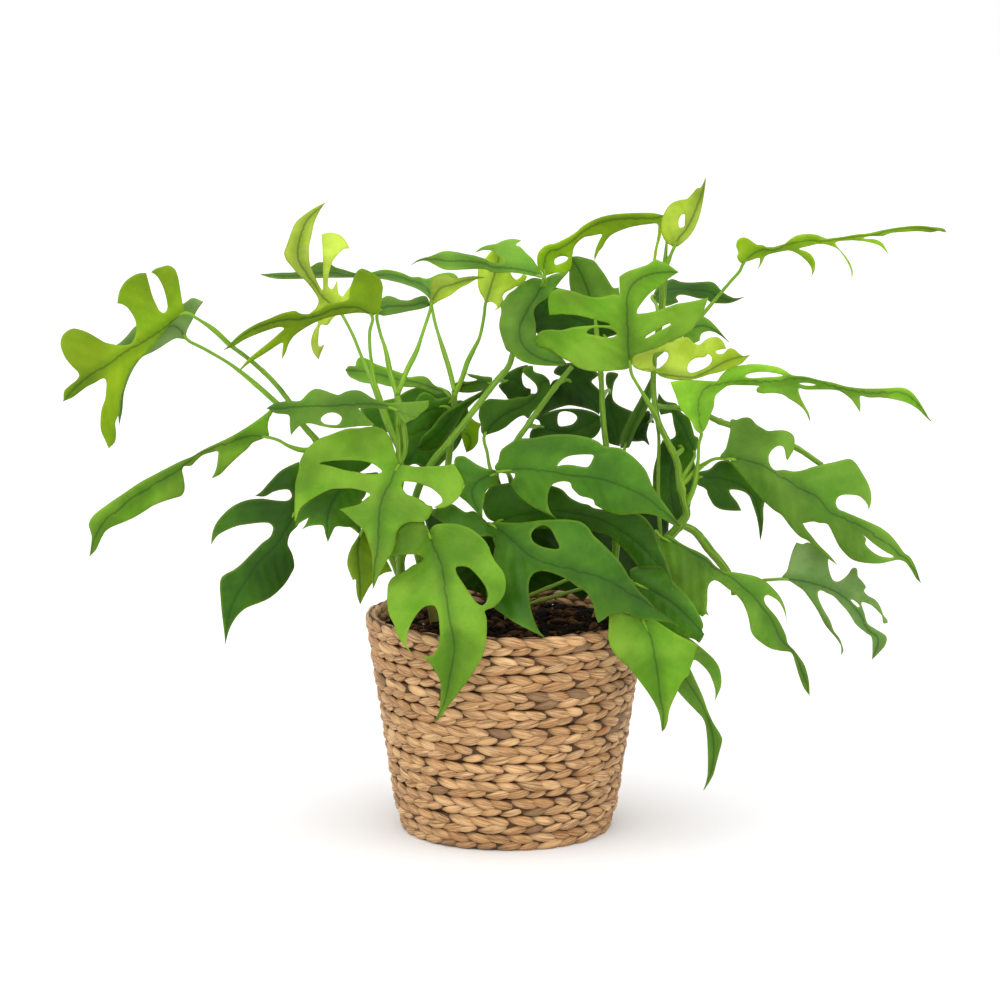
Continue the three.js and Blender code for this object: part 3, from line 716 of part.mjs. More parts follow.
      + '185.1,182.3 181.5,185.2 175.9,189.5 169.7,194.1 166.7,194.9 163.1,192.6 161.5,188.5 '
      + '161.2,178.2 160.7,171 162.6,166.4! 159.5,167.9 157.4,165.7 154.4,167.9 150,172 144,176 '
      + '137,182 131,190 126,202 121,214 120,224',
  },
  {
    name: 'leaf_right_shade', green: 'deep', lean: 0.1, curl: 0,
    stalk: [[98, 196, -40], [88, 200, 8]],
    rib: [[104, 192, -62], [118, 186, -67], [132, 177.6, -73], [146, 165, -78], [158.5, 151.5, -82]],
    edge: '100,197 99,203 106,206.4 113,206.6 121,206.4 128,202.6 134,194 140,188 148,179 155,167 '
      + '158,158.5 157,155 158.5,151.5! 157.4,149 154.4,144.9 151.3,147.4 141,150.4 130.8,154.4 '
      + '123.6,158 117,162 110,168 104,178 101,186',
  },
  {
    name: 'leaf_low_front_right', green: 'light', lean: 0, curl: 0.0012,
    stalk: [[107, 170, -80], [102, 180, -50], [90, 188, 8]],
    rib: [[109.2, 163.6, -92], [115.8, 148.6, -95], [119, 133.3, -98], [121.2, 119.2, -100],
      [123.4, 102.8, -101], [125.8, 86, -102], [124.7, 73.6, -103]],
    edge: '104.9,164.9 97.2,167.3 91.8,168.8 86.3,168 82.5,166.6! 82.2,157.3 81.8,149.7 83.6,142 '
      + '87.4,135.5 94,129 100.5,122.4 107.1,113.7 113.6,105 119,96.3 122.3,88.7 123.9,81 '
      + '124.7,73.6! 127.2,76.1 129.4,82.1 130.5,89.7 133.2,97.4 137.3,106.1 139.7,111.5 142.8,115.9 '
      + '146.3,119.2 147.6,124.6 150.1,131.7 151.7,137.7 153.7,143.1! 146.3,147 137.6,151.3 '
      + '128.8,156.8 120.1,162.4 114,163.6',
  },
  {
    name: 'leaf_low_hanging_right', green: 'mid', lean: 0.1, curl: 0.001,
    stalk: [[108, 172, -56], [101, 182, -28], [90, 192, 10]],
    rib: [[112, 163, -70], [124, 148, -73], [136, 130, -76], [146, 113, -78], [155.5, 97, -80],
      [162, 82, -81], [166, 66, -82], [164.5, 45, -83], [158.5, 26.8, -84]],
    edge: '118,164 124,162.8 130,158 140,152.5 147,148.5 154,143.1 160.4,137.7 167,131.2 170.8,124.6 '
      + '172.4,115.9 171.9,109.4 169.2,102.8 167.3,98.5! 167.5,106.1 165.9,112.6 162.6,120.3 '
      + '157.2,126.8 150.4,131.2 146,127 148,123 152.8,112.6 157.2,102.8 161.5,90.8 165.9,81 '
      + '171.3,72.3 173,68 172.4,63.6 170.3,56 168.1,47.3 165.9,39.6 162.6,33.1 158.5,26.8! 161,37.4 '
      + '161.5,48.3 161.3,59.2 160.7,70.1 159.4,79.9 157.2,84.8 152.8,89.7 146.3,96.3 137.6,106.1 '
      + '132,115 122,132 112,150',
  },
  {
    name: 'leaf_far_right_top', green: 'lime', lean: -0.6, curl: 0,
    stalk: [[186.9, 442.1, 0], [181.4, 436, 2], [174.1, 427.5, 4], [166.8, 418.9, 6], [160.7, 411.6, 6],
      [150, 400, 4], [136, 388, 0], [120, 374, -8]],
    rib: [[190, 448.6, -2], [196, 454.6, -3], [205, 459, -5], [214, 459.6, -7], [226, 463, -10],
      [240, 466, -13], [254, 466.4, -16], [264, 467.6, -18], [280, 469.8, -21], [295, 471.6, -24],
      [306, 474.2, -26], [320, 476, -28], [335, 476.2, -31], [352.1, 472.9, -34]],
    edge: '187.7,449 185.4,451.9 184.8,454.2 186,457.1 184.2,461.7 184.8,466.3 187.7,469 192.3,469 '
      + '196.9,466.3 201,463.5 205.6,463.2 209.6,461 216.5,461.4 222.3,463.7 226.9,467.5 231.5,470.4 '
      + '237.3,471.9 244.2,472.1 250,471 254.6,469 259.2,468 270.8,469.8 278.8,471.4 290.4,472.6 '
      + '300.8,475 311.2,476.8 320.4,478 330.8,478.7 340,477.7 351,475.9 352.1,472.9! 346.9,474.2 '
      + '340,473.3 330.8,474.2 319.2,473.7 307.7,472.6 301.3,470.4 290.4,469.9 285.8,468.6 '
      + '296.2,467.5 301.3,464.6 304.2,460 306.3,455.4! 299.6,462.3 290.4,465.5 281.2,466.7 '
      + '274.2,466.8 263.5,465 266.2,460.6 271.9,454.2 276,447.3 277.6,441.5 276.5,435.2! 276.2,441.5 '
      + '274.2,447.3 270.2,454.2 265,460.2 256.9,463.5 250,464 241.9,462.3 234.4,460.2 239.6,458.3 '
      + '244.2,455.4 247.1,450.2 247.1,443.8 243.9,436.6! 244.8,441.5 243.7,446.2 239.6,451.3 '
      + '233.8,456 226.9,458.8 218.8,457.7 209.6,455.4 207,453.6 205.2,449.6 201,442.7! 203.1,449.6 '
      + '202.9,452.9 196.9,451.3',
  },
];

// A smooth curve through [across, up, behind] points, given back in millimetres.
function sightedCurve(points) {
  const knots = points.map((p) => sighted(p[0], p[1], p[2]));
  return new THREE.CatmullRomCurve3(knots, false, 'centripetal');
}

// A closed round rod along a curve, its radius a function of the share of the way along.
function rod(curve, steps, sides, radiusAt) {
  const frames = curve.computeFrenetFrames(steps, false);
  const vertices = [];
  const faces = [];
  for (let i = 0; i <= steps; i += 1) {
    const share = i / steps;
    const centre = curve.getPointAt(share);
    const radius = radiusAt(share);
    for (let k = 0; k < sides; k += 1) {
      const angle = (2 * Math.PI * k) / sides;
      const point = centre.clone()
        .addScaledVector(frames.normals[i], Math.cos(angle) * radius)
        .addScaledVector(frames.binormals[i], Math.sin(angle) * radius);
      vertices.push(point.x, point.y, point.z);
    }
  }
  const ring = (i, k) => i * sides + (k % sides);
  for (let i = 0; i < steps; i += 1) {
    for (let k = 0; k < sides; k += 1) {
      faces.push(ring(i, k), ring(i, k + 1), ring(i + 1, k + 1));
      faces.push(ring(i, k), ring(i + 1, k + 1), ring(i + 1, k));
    }
  }
  for (let k = 1; k < sides - 1; k += 1) {
    faces.push(ring(0, 0), ring(0, k + 1), ring(0, k));
    faces.push(ring(steps, 0), ring(steps, k), ring(steps, k + 1));
  }
  return solid(vertices, faces);
}

function solid(vertices, faces) {
  const mesh = new wasm.Mesh({
    numProp: 3,
    vertProperties: new Float32Array(vertices),
    triVerts: new Uint32Array(faces),
  });
  return new wasm.Manifold(mesh);
}

function solidFromGeometry(geometry) {
  geometry.deleteAttribute('normal');
  geometry.deleteAttribute('uv');
  const welded = mergeVertices(geometry, 1e-4);
  return solid(Array.from(welded.attributes.position.array), Array.from(welded.index.array));
}

function parseLoop(text) {
  return text.trim().split(/\s+/).map((word) => {
    const [across, up] = word.replace('!', '').split(',').map(Number);
    return new THREE.Vector2(across, up);
  });
}

// The fewest of a loop's points that keep it within a tolerance, its ends among them.
function sparse(points, tolerance) {
  if (points.length < 3) {
    return points;
  }
  const start = points[0];
  const reach = points.at(-1).clone().sub(start);
  const away = points.map((point) => {
    const offset = point.clone().sub(start);
    const share = THREE.MathUtils.clamp(offset.dot(reach) / Math.max(reach.lengthSq(), 1e-9), 0, 1);
    return offset.addScaledVector(reach, -share).length();
  });
  const far = away.indexOf(Math.max(...away));
  if (away[far] < tolerance) {
    return [start, points.at(-1)];
  }
  const before = sparse(points.slice(0, far + 1), tolerance);
  return [...before.slice(0, -1), ...sparse(points.slice(far), tolerance)];
}

// The midrib as a fine chain of [across, up, behind], for measuring the blade against it.
function ribChain(leaf) {
  const knots = leaf.rib.map((p) => new THREE.Vector3(p[0], p[1], p[2]));
  const curve = new THREE.CatmullRomCurve3(knots, false, 'centripetal');
  return curve.getPoints(RIB_STEPS);
}

// Depth of the blade at a sighted place: that of the nearest place on the midrib, plus the
// sideways lean and the roll of the blade.
function bladeDepth(leaf, chain, place) {
  let best = { gap: Infinity };
  for (let i = 0; i + 1 < chain.length; i += 1) {
    const a = chain[i];
    const b = chain[i + 1];
    const along = new THREE.Vector2(b.x - a.x, b.y - a.y);
    const offset = new THREE.Vector2(place.x - a.x, place.y - a.y);
    const share = THREE.MathUtils.clamp(offset.dot(along) / along.lengthSq(), 0, 1);
    const gap = Math.hypot(offset.x - along.x * share, offset.y - along.y * share);
    if (gap < best.gap) {
      const side = (along.x * offset.y - along.y * offset.x) / along.length();
      best = { gap, side, depth: a.z + (b.z - a.z) * share };
    }
  }
  return best.depth + leaf.lean * best.side + leaf.curl * best.gap * best.gap;
}

function insideLoop(loop, point) {
  let inside = false;
  for (let i = 0, j = loop.length - 1; i < loop.length; j = i, i += 1) {
    const a = loop[i];
    const b = loop[j];
    if ((a.y > point.y) !== (b.y > point.y)) {
      const crossing = a.x + ((point.y - a.y) * (b.x - a.x)) / (b.y - a.y);
      if (point.x < crossing) {
        inside = !inside;
      }
    }
  }
  return inside;
}

// The blade: two flat halves that meet on the midrib, cut to the edge and its holes, lifted
// to their depth and given a thickness.
function blade(leaf, thickness) {
  const chain = ribChain(leaf);
  const base = new THREE.Vector2(leaf.rib[0][0], leaf.rib[0][1]);
  const tip = new THREE.Vector2(leaf.rib.at(-1)[0], leaf.rib.at(-1)[1]);
  const edge = sparse([base, ...parseLoop(leaf.edge), base], EDGE_TOLERANCE).slice(0, -1);
  const middle = leaf.rib.slice(1, -1).map((p) => new THREE.Vector2(p[0], p[1]));
  const holes = (leaf.holes ?? []).map((text) => sparse(parseLoop(text), HOLE_TOLERANCE));
  let tipAt = 1;
  edge.forEach((point, i) => {
    if (point.distanceTo(tip) < edge[tipAt].distanceTo(tip)) {
      tipAt = i;
    }
  });
  const places = [...edge, ...middle];
  const holeStarts = holes.map((hole) => {
    const start = places.length;
    places.push(...hole);
    return start;
  });
  const edgeIndex = edge.map((_, i) => i);
  const middleIndex = middle.map((_, i) => edge.length + i);
  const halves = [
    [...edgeIndex.slice(0, tipAt + 1), ...middleIndex.slice().reverse()],
    [0, ...middleIndex, ...edgeIndex.slice(tipAt)],
  ];
  const flat = [];
  for (const half of halves) {
    const loop = half.map((i) => places[i]);
    const held = holes
      .map((hole, i) => ({ hole, start: holeStarts[i] }))
      .filter(({ hole }) => insideLoop(loop, hole[0]));
    const index = [...half];
    held.forEach(({ hole, start }) => hole.forEach((_, k) => index.push(start + k)));
    const triangles = THREE.ShapeUtils.triangulateShape(loop, held.map(({ hole }) => hole));
    triangles.forEach((t) => flat.push(t.map((k) => index[k])));
  }
  const turned = flat.map(([a, b, c]) => {
    const ab = places[b].clone().sub(places[a]);
    const ac = places[c].clone().sub(places[a]);
    return ab.cross(ac) > 0 ? [a, b, c] : [a, c, b];
  });
  return thicken(places.map((p) => sighted(p.x, p.y, bladeDepth(leaf, chain, p))), turned, thickness);
}

// A sheet of triangles made into a closed plate by moving it half its thickness each way.
function thicken(points, triangles, thickness) {
  const normals = points.map(() => new THREE.Vector3());
  const borders = new Map();
  for (const [a, b, c] of triangles) {
    const ab = points[b].clone().sub(points[a]);
    const normal = ab.cross(points[c].clone().sub(points[a]));
    [a, b, c].forEach((i) => normals[i].add(normal));
    [[a, b], [b, c], [c, a]].forEach(([from, to]) => {
      if (borders.has(`${to},${from}`)) {
        borders.delete(`${to},${from}`);
      } else {
        borders.set(`${from},${to}`, [from, to]);
      }
    });
  }
  const vertices = [];
  for (const side of [0.5, -0.5]) {
    points.forEach((point, i) => {
      const moved = point.clone().addScaledVector(normals[i].clone().normalize(), side * thickness);
      vertices.push(moved.x, moved.y, moved.z);
    });
  }
  const count = points.length;
  const faces = [];
  triangles.forEach(([a, b, c]) => {
    faces.push(a, b, c);
    faces.push(a + count, c + count, b + count);
  });
  for (const [from, to] of borders.values()) {
    faces.push(from, from + count, to + count);
    faces.push(from, to + count, to);
  }
  return solid(vertices, faces);
}

const stemAxes = STEMS
  .flatMap((record) => [record.path, ...(record.branches ?? [])])
  .flatMap((path) => sightedCurve(path).getSpacedPoints(STEM_AXIS_SAMPLES));

// The leaf stalk and the strong lower part of the midrib, one tapering rod that ends at the
// nearest place on the axis of a stem.
function stalk(leaf, extra) {
  const ribPart = Math.max(2, Math.round(leaf.rib.length * MIDRIB_SHARE));
  const upper = leaf.rib.slice(0, ribPart).reverse();
  const knots = [...upper, ...leaf.stalk].map((p) => sighted(p[0], p[1], p[2]));
  const last = knots.at(-1);
  const foot = stemAxes.reduce((a, b) => (b.distanceTo(last) < a.distanceTo(last) ? b : a));
  if (foot.distanceTo(last) < STALK_REACH) {
    knots.pop();
  }
  const curve = new THREE.CatmullRomCurve3([...knots, foot], false, 'centripetal');
  const steps = Math.min(STALK_MOST_STEPS, STALK_FEWEST_STEPS + leaf.stalk.length);
  return rod(curve, steps, STALK_SIDES, (share) => {
    const full = Math.min(1, share / STALK_FULL_FROM);
    const thick = THREE.MathUtils.lerp(MIDRIB_TIP_RADIUS, STALK_RADIUS, full);
    const swell = THREE.MathUtils.smoothstep(share, STALK_FOOT_FROM, 1);
    return thick + swell * (STALK_FOOT_RADIUS - STALK_RADIUS) + extra;
  });
}

function stemRod(path, extra) {
  const radii = path.map((p) => p[3]);
  const steps = Math.round(path.length * STEM_STEPS_PER_KNOT);
  return rod(sightedCurve(path), steps, STEM_SIDES, (share) => {
    const at = share * (radii.length - 1);
    const low = Math.min(Math.floor(at), radii.length - 2);
    return THREE.MathUtils.lerp(radii[low], radii[low + 1], at - low) + extra;
  });
}

function stem(record, extra) {
  return (record.branches ?? [])
    .reduce((made, branch) => made.add(stemRod(branch, extra)), stemRod(record.path, extra));
}

function boxesMeet(a, b) {
  const p = a.boundingBox();
  const q = b.boundingBox();
  return [0, 1, 2].every((k) => p.min[k] <= q.max[k] && q.min[k] <= p.max[k]);
}

function cutClear(body, others) {
  return others
    .filter((other) => boxesMeet(body, other))
    .reduce((left, other) => left.subtract(other), body);
}

// The largest piece of what is left after cutting.
function mainPiece(body) {
  return body.decompose().sort((a, b) => b.volume() - a.volume())[0];
}

function lathed(profile, segments) {
  const points = profile.map(([radius, height]) => new THREE.Vector2(radius, height));
  const geometry = new THREE.LatheGeometry(points, segments);
  geometry.rotateX(Math.PI / 2);
  return solidFromGeometry(geometry);
}

function node(body, name, colour, roughness) {
  const { vertProperties, triVerts, numProp } = body.getMesh();
  const positions = new Float32Array((vertProperties.length / numProp) * 3);
  for (let i = 0; i < positions.length / 3; i += 1) {
    positions.set(vertProperties.subarray(i * numProp, i * numProp + 3), i * 3);
  }
  const geometry = new THREE.BufferGeometry();
  geometry.setAttribute('position', new THREE.BufferAttribute(positions, 3));
  geometry.setIndex(new THREE.BufferAttribute(new Uint32Array(triVerts), 1));
  geometry.computeVertexNormals();
  const mesh = new THREE.Mesh(geometry, new THREE.MeshStandardMaterial({
    color: colour,
    roughness,
    metalness: 0,
  }));
  mesh.name = name;
  return mesh;
}

const plant = new THREE.Group();
plant.name = 'potted_mini_monstera';

// Stems, each cut clear of those before it.
const stems = [];
const stemCuts = [];
for (const record of STEMS) {
  const body = mainPiece(cutClear(stem(record, 0), stemCuts));
  stems.push({ name: record.name, body });
  stemCuts.push(stem(record, CLEARANCE));
}

// Leaf stalks keep clear of the stems and of each other; blades keep clear of everything before.
const stalkCuts = [];
const stalks = LEAVES.map((leaf) => {
  const body = cutClear(stalk(leaf, 0), [...stemCuts, ...stalkCuts]);
  stalkCuts.push(stalk(leaf, CLEARANCE));
  return mainPiece(body);
});
const bladeCuts = [];
LEAVES.forEach((leaf, i) => {
  const others = stalkCuts.filter((_, k) => k !== i);
  const clear = cutClear(blade(leaf, BLADE_THICKNESS), [...stemCuts, ...others, ...bladeCuts]);
  const whole = mainPiece(clear.add(cutClear(stalks[i], bladeCuts)));
  bladeCuts.push(blade(leaf, BLADE_THICKNESS + 2 * CLEARANCE));
  plant.add(node(whole, leaf.name, GREENS[leaf.green], LEAF_ROUGHNESS));
});

// Soil: a root ball with a low mound, bored clear of the stems.
const innerRadius = (height) => THREE.MathUtils.mapLinear(
  height, 0, BASKET_HEIGHT, FOOT_RADIUS, RIM_RADIUS) - WALL;
const soilFloor = FLOOR_THICKNESS + SOIL_GAP;
const soilBody = lathed([
  [0, soilFloor],
  [innerRadius(soilFloor) - SOIL_GAP - SOIL_EDGE_DROP, soilFloor],
  [innerRadius(SOIL_TOP - SOIL_EDGE_DROP) - SOIL_GAP, SOIL_TOP - SOIL_EDGE_DROP],
  ...SOIL_KNEES.map(([share, rise]) => [innerRadius(SOIL_TOP) * share, SOIL_TOP + SOIL_MOUND * rise]),
  [0, SOIL_TOP + SOIL_MOUND],
], SOIL_SEGMENTS);
plant.add(node(cutClear(soilBody, stemCuts), 'soil', SOIL_BROWN, SOIL_ROUGHNESS));
stems.forEach(({ name, body }) => plant.add(node(body, name, STEM_GREEN, STEM_ROUGHNESS)));

// Basket: a flaring wall of stacked round courses on a closed floor.
const courseHeight = BASKET_HEIGHT / COURSES;
const outer = [];
for (let course = 0; course < COURSES; course += 1) {
  for (const [share, bulge] of COURSE_PROFILE) {
    const height = (course + share) * courseHeight;
    const wall = THREE.MathUtils.mapLinear(height, 0, BASKET_HEIGHT, FOOT_RADIUS, RIM_RADIUS);
    outer.push([wall - COURSE_BULGE + COURSE_BULGE * bulge, height]);
  }
}
const basketProfile = [
  [0, 0],
  [FOOT_RADIUS - FOOT_ROUNDING, 0],
  ...outer.slice(1),
  [RIM_RADIUS - COURSE_BULGE - RIM_OUTER_EASE, BASKET_HEIGHT],
  [RIM_RADIUS - WALL + RIM_INNER_EASE, BASKET_HEIGHT],
  [innerRadius(BASKET_HEIGHT - RIM_EASE_DEPTH), BASKET_HEIGHT - RIM_EASE_DEPTH],
  [innerRadius(FLOOR_THICKNESS), FLOOR_THICKNESS],
  [0, FLOOR_THICKNESS],
];
plant.add(node(lathed(basketProfile, BASKET_SEGMENTS), 'basket', BASKET_STRAW, BASKET_ROUGHNESS));

export default plant;
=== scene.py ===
import math
import random

import bpy
import numpy as np
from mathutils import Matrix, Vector, geometry


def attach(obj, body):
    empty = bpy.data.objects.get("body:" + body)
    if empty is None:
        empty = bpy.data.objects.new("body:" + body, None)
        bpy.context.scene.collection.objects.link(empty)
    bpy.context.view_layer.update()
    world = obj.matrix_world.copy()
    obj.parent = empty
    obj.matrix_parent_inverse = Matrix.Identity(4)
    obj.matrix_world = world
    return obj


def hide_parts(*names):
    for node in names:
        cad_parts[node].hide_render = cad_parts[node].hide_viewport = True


MM = 0.001
SEED = 41
STEM_SEED = SEED + 100

# The plant is described as it stands before an eye level with its upper leaves. A point is
# [across, up, behind] in millimetres: right of the pot's axis and above its foot, both as
# sighted on the upright plane through the axis, and the true distance behind that axis.
EYE = np.array([-4.8, -2368.0, 630.0])
SIGHT_DROP = math.radians(8.83)
SIGHT_LENGTH = 2436.0
SIGHT_CENTRE_UP = 259.2
LENS = 109.6

# Blades and stalks, in millimetres
BLADE_THICKNESS = 0.45
BLADE_TAPER = 3.0
BLADE_FOLD = 0.12
WAVE_COUNT = 4
WAVE_REACH = 22.0
WAVE_RATES = (0.09, 0.2)
EDGE_STEP = 1.5
EDGE_SPAN = 8
CURVE_SPAN = 10
GRID_STEP = 2.3
GRID_ROW = GRID_STEP * 0.866
GRID_OFF_EDGE = GRID_STEP * 0.5
GRID_OFF_RIB = GRID_STEP * 0.6
SPINE_OFF_EDGE = GRID_STEP * 0.45
RIB_POINTS = 70
MIDRIB_GROOVE = 0.7
MIDRIB_WIDTH = 1.7
MIDRIB_TIP_RADIUS = 0.28
VEIN_SPACING = 11.0
VEIN_SLANT = 0.75
QUILT = 0.38
QUILT_MARGIN = 5.0
STALK_RADIUS = 1.3
STALK_SHEATH_RADIUS = 2.1
STALK_REACH = 6.0
STALK_STEP = 2.6
STALK_SIDES = 10
STALK_KNOBS = 0.02
STALK_SINK = 0.15
STALK_SINK_RUN = 7.0

# Stems are drawn slimmer than their solids, which hold the leaf scars and sheaths as well.
STEM_SLIMNESS = 0.87
STEM_STEP = 3.0
STEM_SIDES = 14
STEM_KNOBS = 0.03
SCAR_SPACING = 34.0
SCAR_SWELL = 0.2
SCAR_WIDTH = 1.6
STEM_AGE = 0.75
STEM_AGE_RISE = 45.0

# Basket: sizes in millimetres, places along the cord in turns
RIM_RADIUS = 113.0
FOOT_RADIUS = 87.0
FOOT_ROUNDING = 4.0
FOOT_ROUNDING_RISE = 16.0
FOOT_CLEARANCE = 0.1
BASKET_HEIGHT = 173.0
WALL = 11.0
COURSES = 12
COURSE_CLIMB_START = 0.84
CORD_HEADING = math.radians(62)
CORD_POINTS_PER_TURN = 360
CORD_START = -0.16
CORD_END_SHORT = 0.08
CORD_START_INSET = 2.5
FLOOR_PITCH = 13.5
FLOOR_TURNS = 5.4
FLOOR_CORD_POINTS = 1800
FLOOR_CORD_HEIGHT = 6.3
CORE_HALF_HEIGHT = 7.1
CORE_HALF_DEPTH = 2.9
CORE_SIDES = 10
CORE_STEP = 4.0

# The stalks of the plait, in millimetres
GRAIN_REPEAT = 16.0
GRAIN_LENGTH = 27.5
GRAIN_RISE = 5.7
GRAIN_FALL = 5.2
GRAIN_LIFT = 2.5
GRAIN_TUCK = 2.9
GRAIN_ROLL = 0.65
GRAIN_HALF_WIDTH = 3.9
GRAIN_HALF_THICKNESS = 2.25
GRAIN_TIP = 0.12
GRAIN_RIDGES = 0.05
GRAIN_SHIFT = 3.7
WEATHERED_SHARE = 0.08
# Rings and sides of a stalk, on the outer face and on the faces that are seen less
OUTER_GRAIN = (9, 10)
OTHER_GRAIN = (7, 8)

# Soil, in millimetres
SOIL_FOOT = 11.0
SOIL_TOP = 161.0
SOIL_MOUND = 2.4
SOIL_ROUGHNESS = 1.3
SOIL_SIDES = 120
SOIL_TOP_RINGS = 34
SOIL_WALL_RINGS = 8
SOIL_GAP = 3.0
CHIPS = 1250
CHIP_SIZES = (2.2, 7.5)
CHIP_FLATNESSES = (0.4, 0.8)
DARK_CHIP_SHARE = 0.72
PALE_GRAINS = 50
PALE_GRAIN_SIZES = (0.9, 1.7)
FINE_ROOTS = 90
FINE_ROOT_RADII = (0.3, 0.65)
FINE_ROOT_STEPS = (4, 9)
FINE_ROOT_POINTS = 12
FINE_ROOT_SIDES = 5
FINE_ROOT_KNOBS = 0.1
LUMP_SIDES = 6
LUMP_RINGS = ((0.75, 0.66), (1.0, 0.0), (0.72, -0.68))

# Blade colours: body, paler patches, side veins, underside
TONES = {
    "fresh": ("9cb820", "bcd24c", "a5bf48", "b0c860"),
    "lime": ("739b08", "8eae14", "7c9c20", "86a43a"),
    "light": ("619716", "7eaa2e", "5a8c2a", "83a850"),
    "mid": ("508118", "6c962f", "4b7a26", "74984a"),
    # The deep and dark tones are partly the darker green of older leaves and partly painted shade.
    "deep": ("386b0e", "50821c", "366420", "5c8238"),
    "dark": ("285206", "3c6a10", "2c5014", "466c26"),
    # The shade tone is painted shade: darker copies of the green for blades that lie deep in the
    # shadow of others.
    "shade": ("1a3a05", "2a520c", "1e3e0a", "365618"),
    "grey": ("5a8236", "7c9a58", "688a4c", "8aa274"),
}
GLOW_SHARE = 0.26
# Painted shade by the midrib and in its groove, and painted light along the rim of a blade
MIDRIB_PAINTED_SHADE = "2a560c"
MIDRIB_GROOVE_PAINTED_SHADE = "1d3f08"
BLADE_RIM_PAINTED_LIGHT = "a3bf30"
BLADE_GLOW = "a8c814"
STALK_SPOT = "8a7a35"
AGED_BARK = "7d6238"
STRAW_PALE = "d8ac76"
STRAW_TAN = "a8733c"
STRAW_STREAK = "8a5a2c"
STRAW_FIBRE = "6a4420"
# A painted highlight along fine fibre streaks
STRAW_PAINTED_HIGHLIGHT = "eccb9c"
STRAW_WEATHERED = "5f4c38"
# Painted shade where a stalk tucks under its neighbours, on its hidden side and over the core
STRAW_PAINTED_SHADE = "3a200c"
FLOOR_PAINT = ("e6e6e6", "e9e9e9")

FLOOR_HALF = 60.0
ROOM_LIGHT = 0.54
ROOM_SEEN = 1.0

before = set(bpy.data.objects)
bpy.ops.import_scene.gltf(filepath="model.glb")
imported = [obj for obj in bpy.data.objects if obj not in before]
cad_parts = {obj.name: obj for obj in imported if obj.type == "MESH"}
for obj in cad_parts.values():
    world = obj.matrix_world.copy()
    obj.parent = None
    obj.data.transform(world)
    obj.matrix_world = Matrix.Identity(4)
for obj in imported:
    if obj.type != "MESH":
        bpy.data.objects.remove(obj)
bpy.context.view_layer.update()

# Stems: a main stem and its branches, each through across,up,behind,radius from the roots up
STEMS = {
    "stem_left": [
        "-80,118,-4,4.2 -82,165,-10,4.2 -84,200,-22,4 -86,245,-40,3.8 -85,287,-49,3.6 "
        "-86,320,-50,3.2 -87,343,-48,2.6",
        "-86,340,-51,2 -83.5,328,-55,2.5 -81,312,-56,2.5 -80.5,300,-54,2.2 -84,288,-49,1.8",
        "-81,128,-6,3.4 -70,124,10,3.6 -66,136,21,4 -74,165,18,4 -92,215,8,3.8 "
        "-125,268,-6,3.4 -152,307.2,-15,3 -163,320,-18,2.8 -174.4,339.2,-22,2.4 "
        "-188.8,356.8,-26,2.2 -204.8,371.2,-31,2 -220.8,383.2,-35,1.9",
    ],
    "stem_middle": [
        "-50,118,6,4 -58,165,0,4 -70,215,-8,3.6 -73,258,-16,3.4 -60,288,-21,3.2 -45,306,-22,3 "
        "-25,332,-20,2.8 -8,354,-16,2.8 2,366,-10,2.6 7,382,0,2.6 15,402,6,2.4 23,420,4,2.4 "
        "29,432,-3,2.2",
    ],
    "stem_back": [
        "-30,118,34,4 -38,165,32,4 -46,215,26,3.4 -48,262,18,3 -45,300,12,3 -42,328,8,2.8 "
        "-41,346,4,2.6",
        "-32,130,34,3.4 -16,125,22,3.6 -2,134,10,4 2,165,6,4 2,205,-2,3.6 6,245,-6,3.2 "
        "10,285,-6,3 7,302,-4,2.8 18,320,0,2.6 33,341,4,2.6 43,354,6,2.4 53,366,8,2.2",
        "2,168,5,2.2 14,174,-6,2 32,180,-12,1.9 56,187,-16,1.7 70,191,-18,1.3",
        "2,176,4,2.2 22,184,0,2 46,194,2,1.8 72,205,4,1.4",
    ],
    "stem_right": [
        "76,118,-14,4.4 88,165,-10,4.4 104,195,-4,4.2 122,220,0,4.2 138,238,-3,4.2 "
        "144.5,248,-6,3.6 142.4,257.6,-8,3.4 139.2,273.6,-10,3.6 136.8,289.6,-12,3.1 "
        "129.6,305.6,-13,2.9 121.5,323,-14,2.7 118.5,341,-14,2.6 118,361,-12,2.5 "
        "120,385,-6,2.6 124,405,-4,3 125.5,425,-6,3.2 126.8,442,-8,2.6 127.5,453,-9,1.9 "
        "128.5,466,-10,1.1",
        "138,240,-2,3 150.4,234.5,5,3.7 164,218,11,4 176,203,13,3.8 181.5,192,13,3 "
        "182,183,12,2",
        "118.5,336,-14,2 124,334,-7,2.2 137,333,4,2.3 155,329.6,13,2.6 172,321.6,19,2.8 "
        "203,312,25,2.8 229.6,302.4,29,2.7 252.8,287.2,33,2.4",
        "120,326,-13,1.5 122.2,310,-6,1.5 121.8,280,-1,1.6 122,255,0,1.8 124,226,0,2",
        "78,130,-13,3.4 70,125,6,3.6 65,136,20,4 72,165,20,4 86,205,12,3.6 88,250,4,3.2 "
        "82,290,0,3 78,320,0,2.6 76,358,4,2.4 73,384,10,2.2",
    ],
}
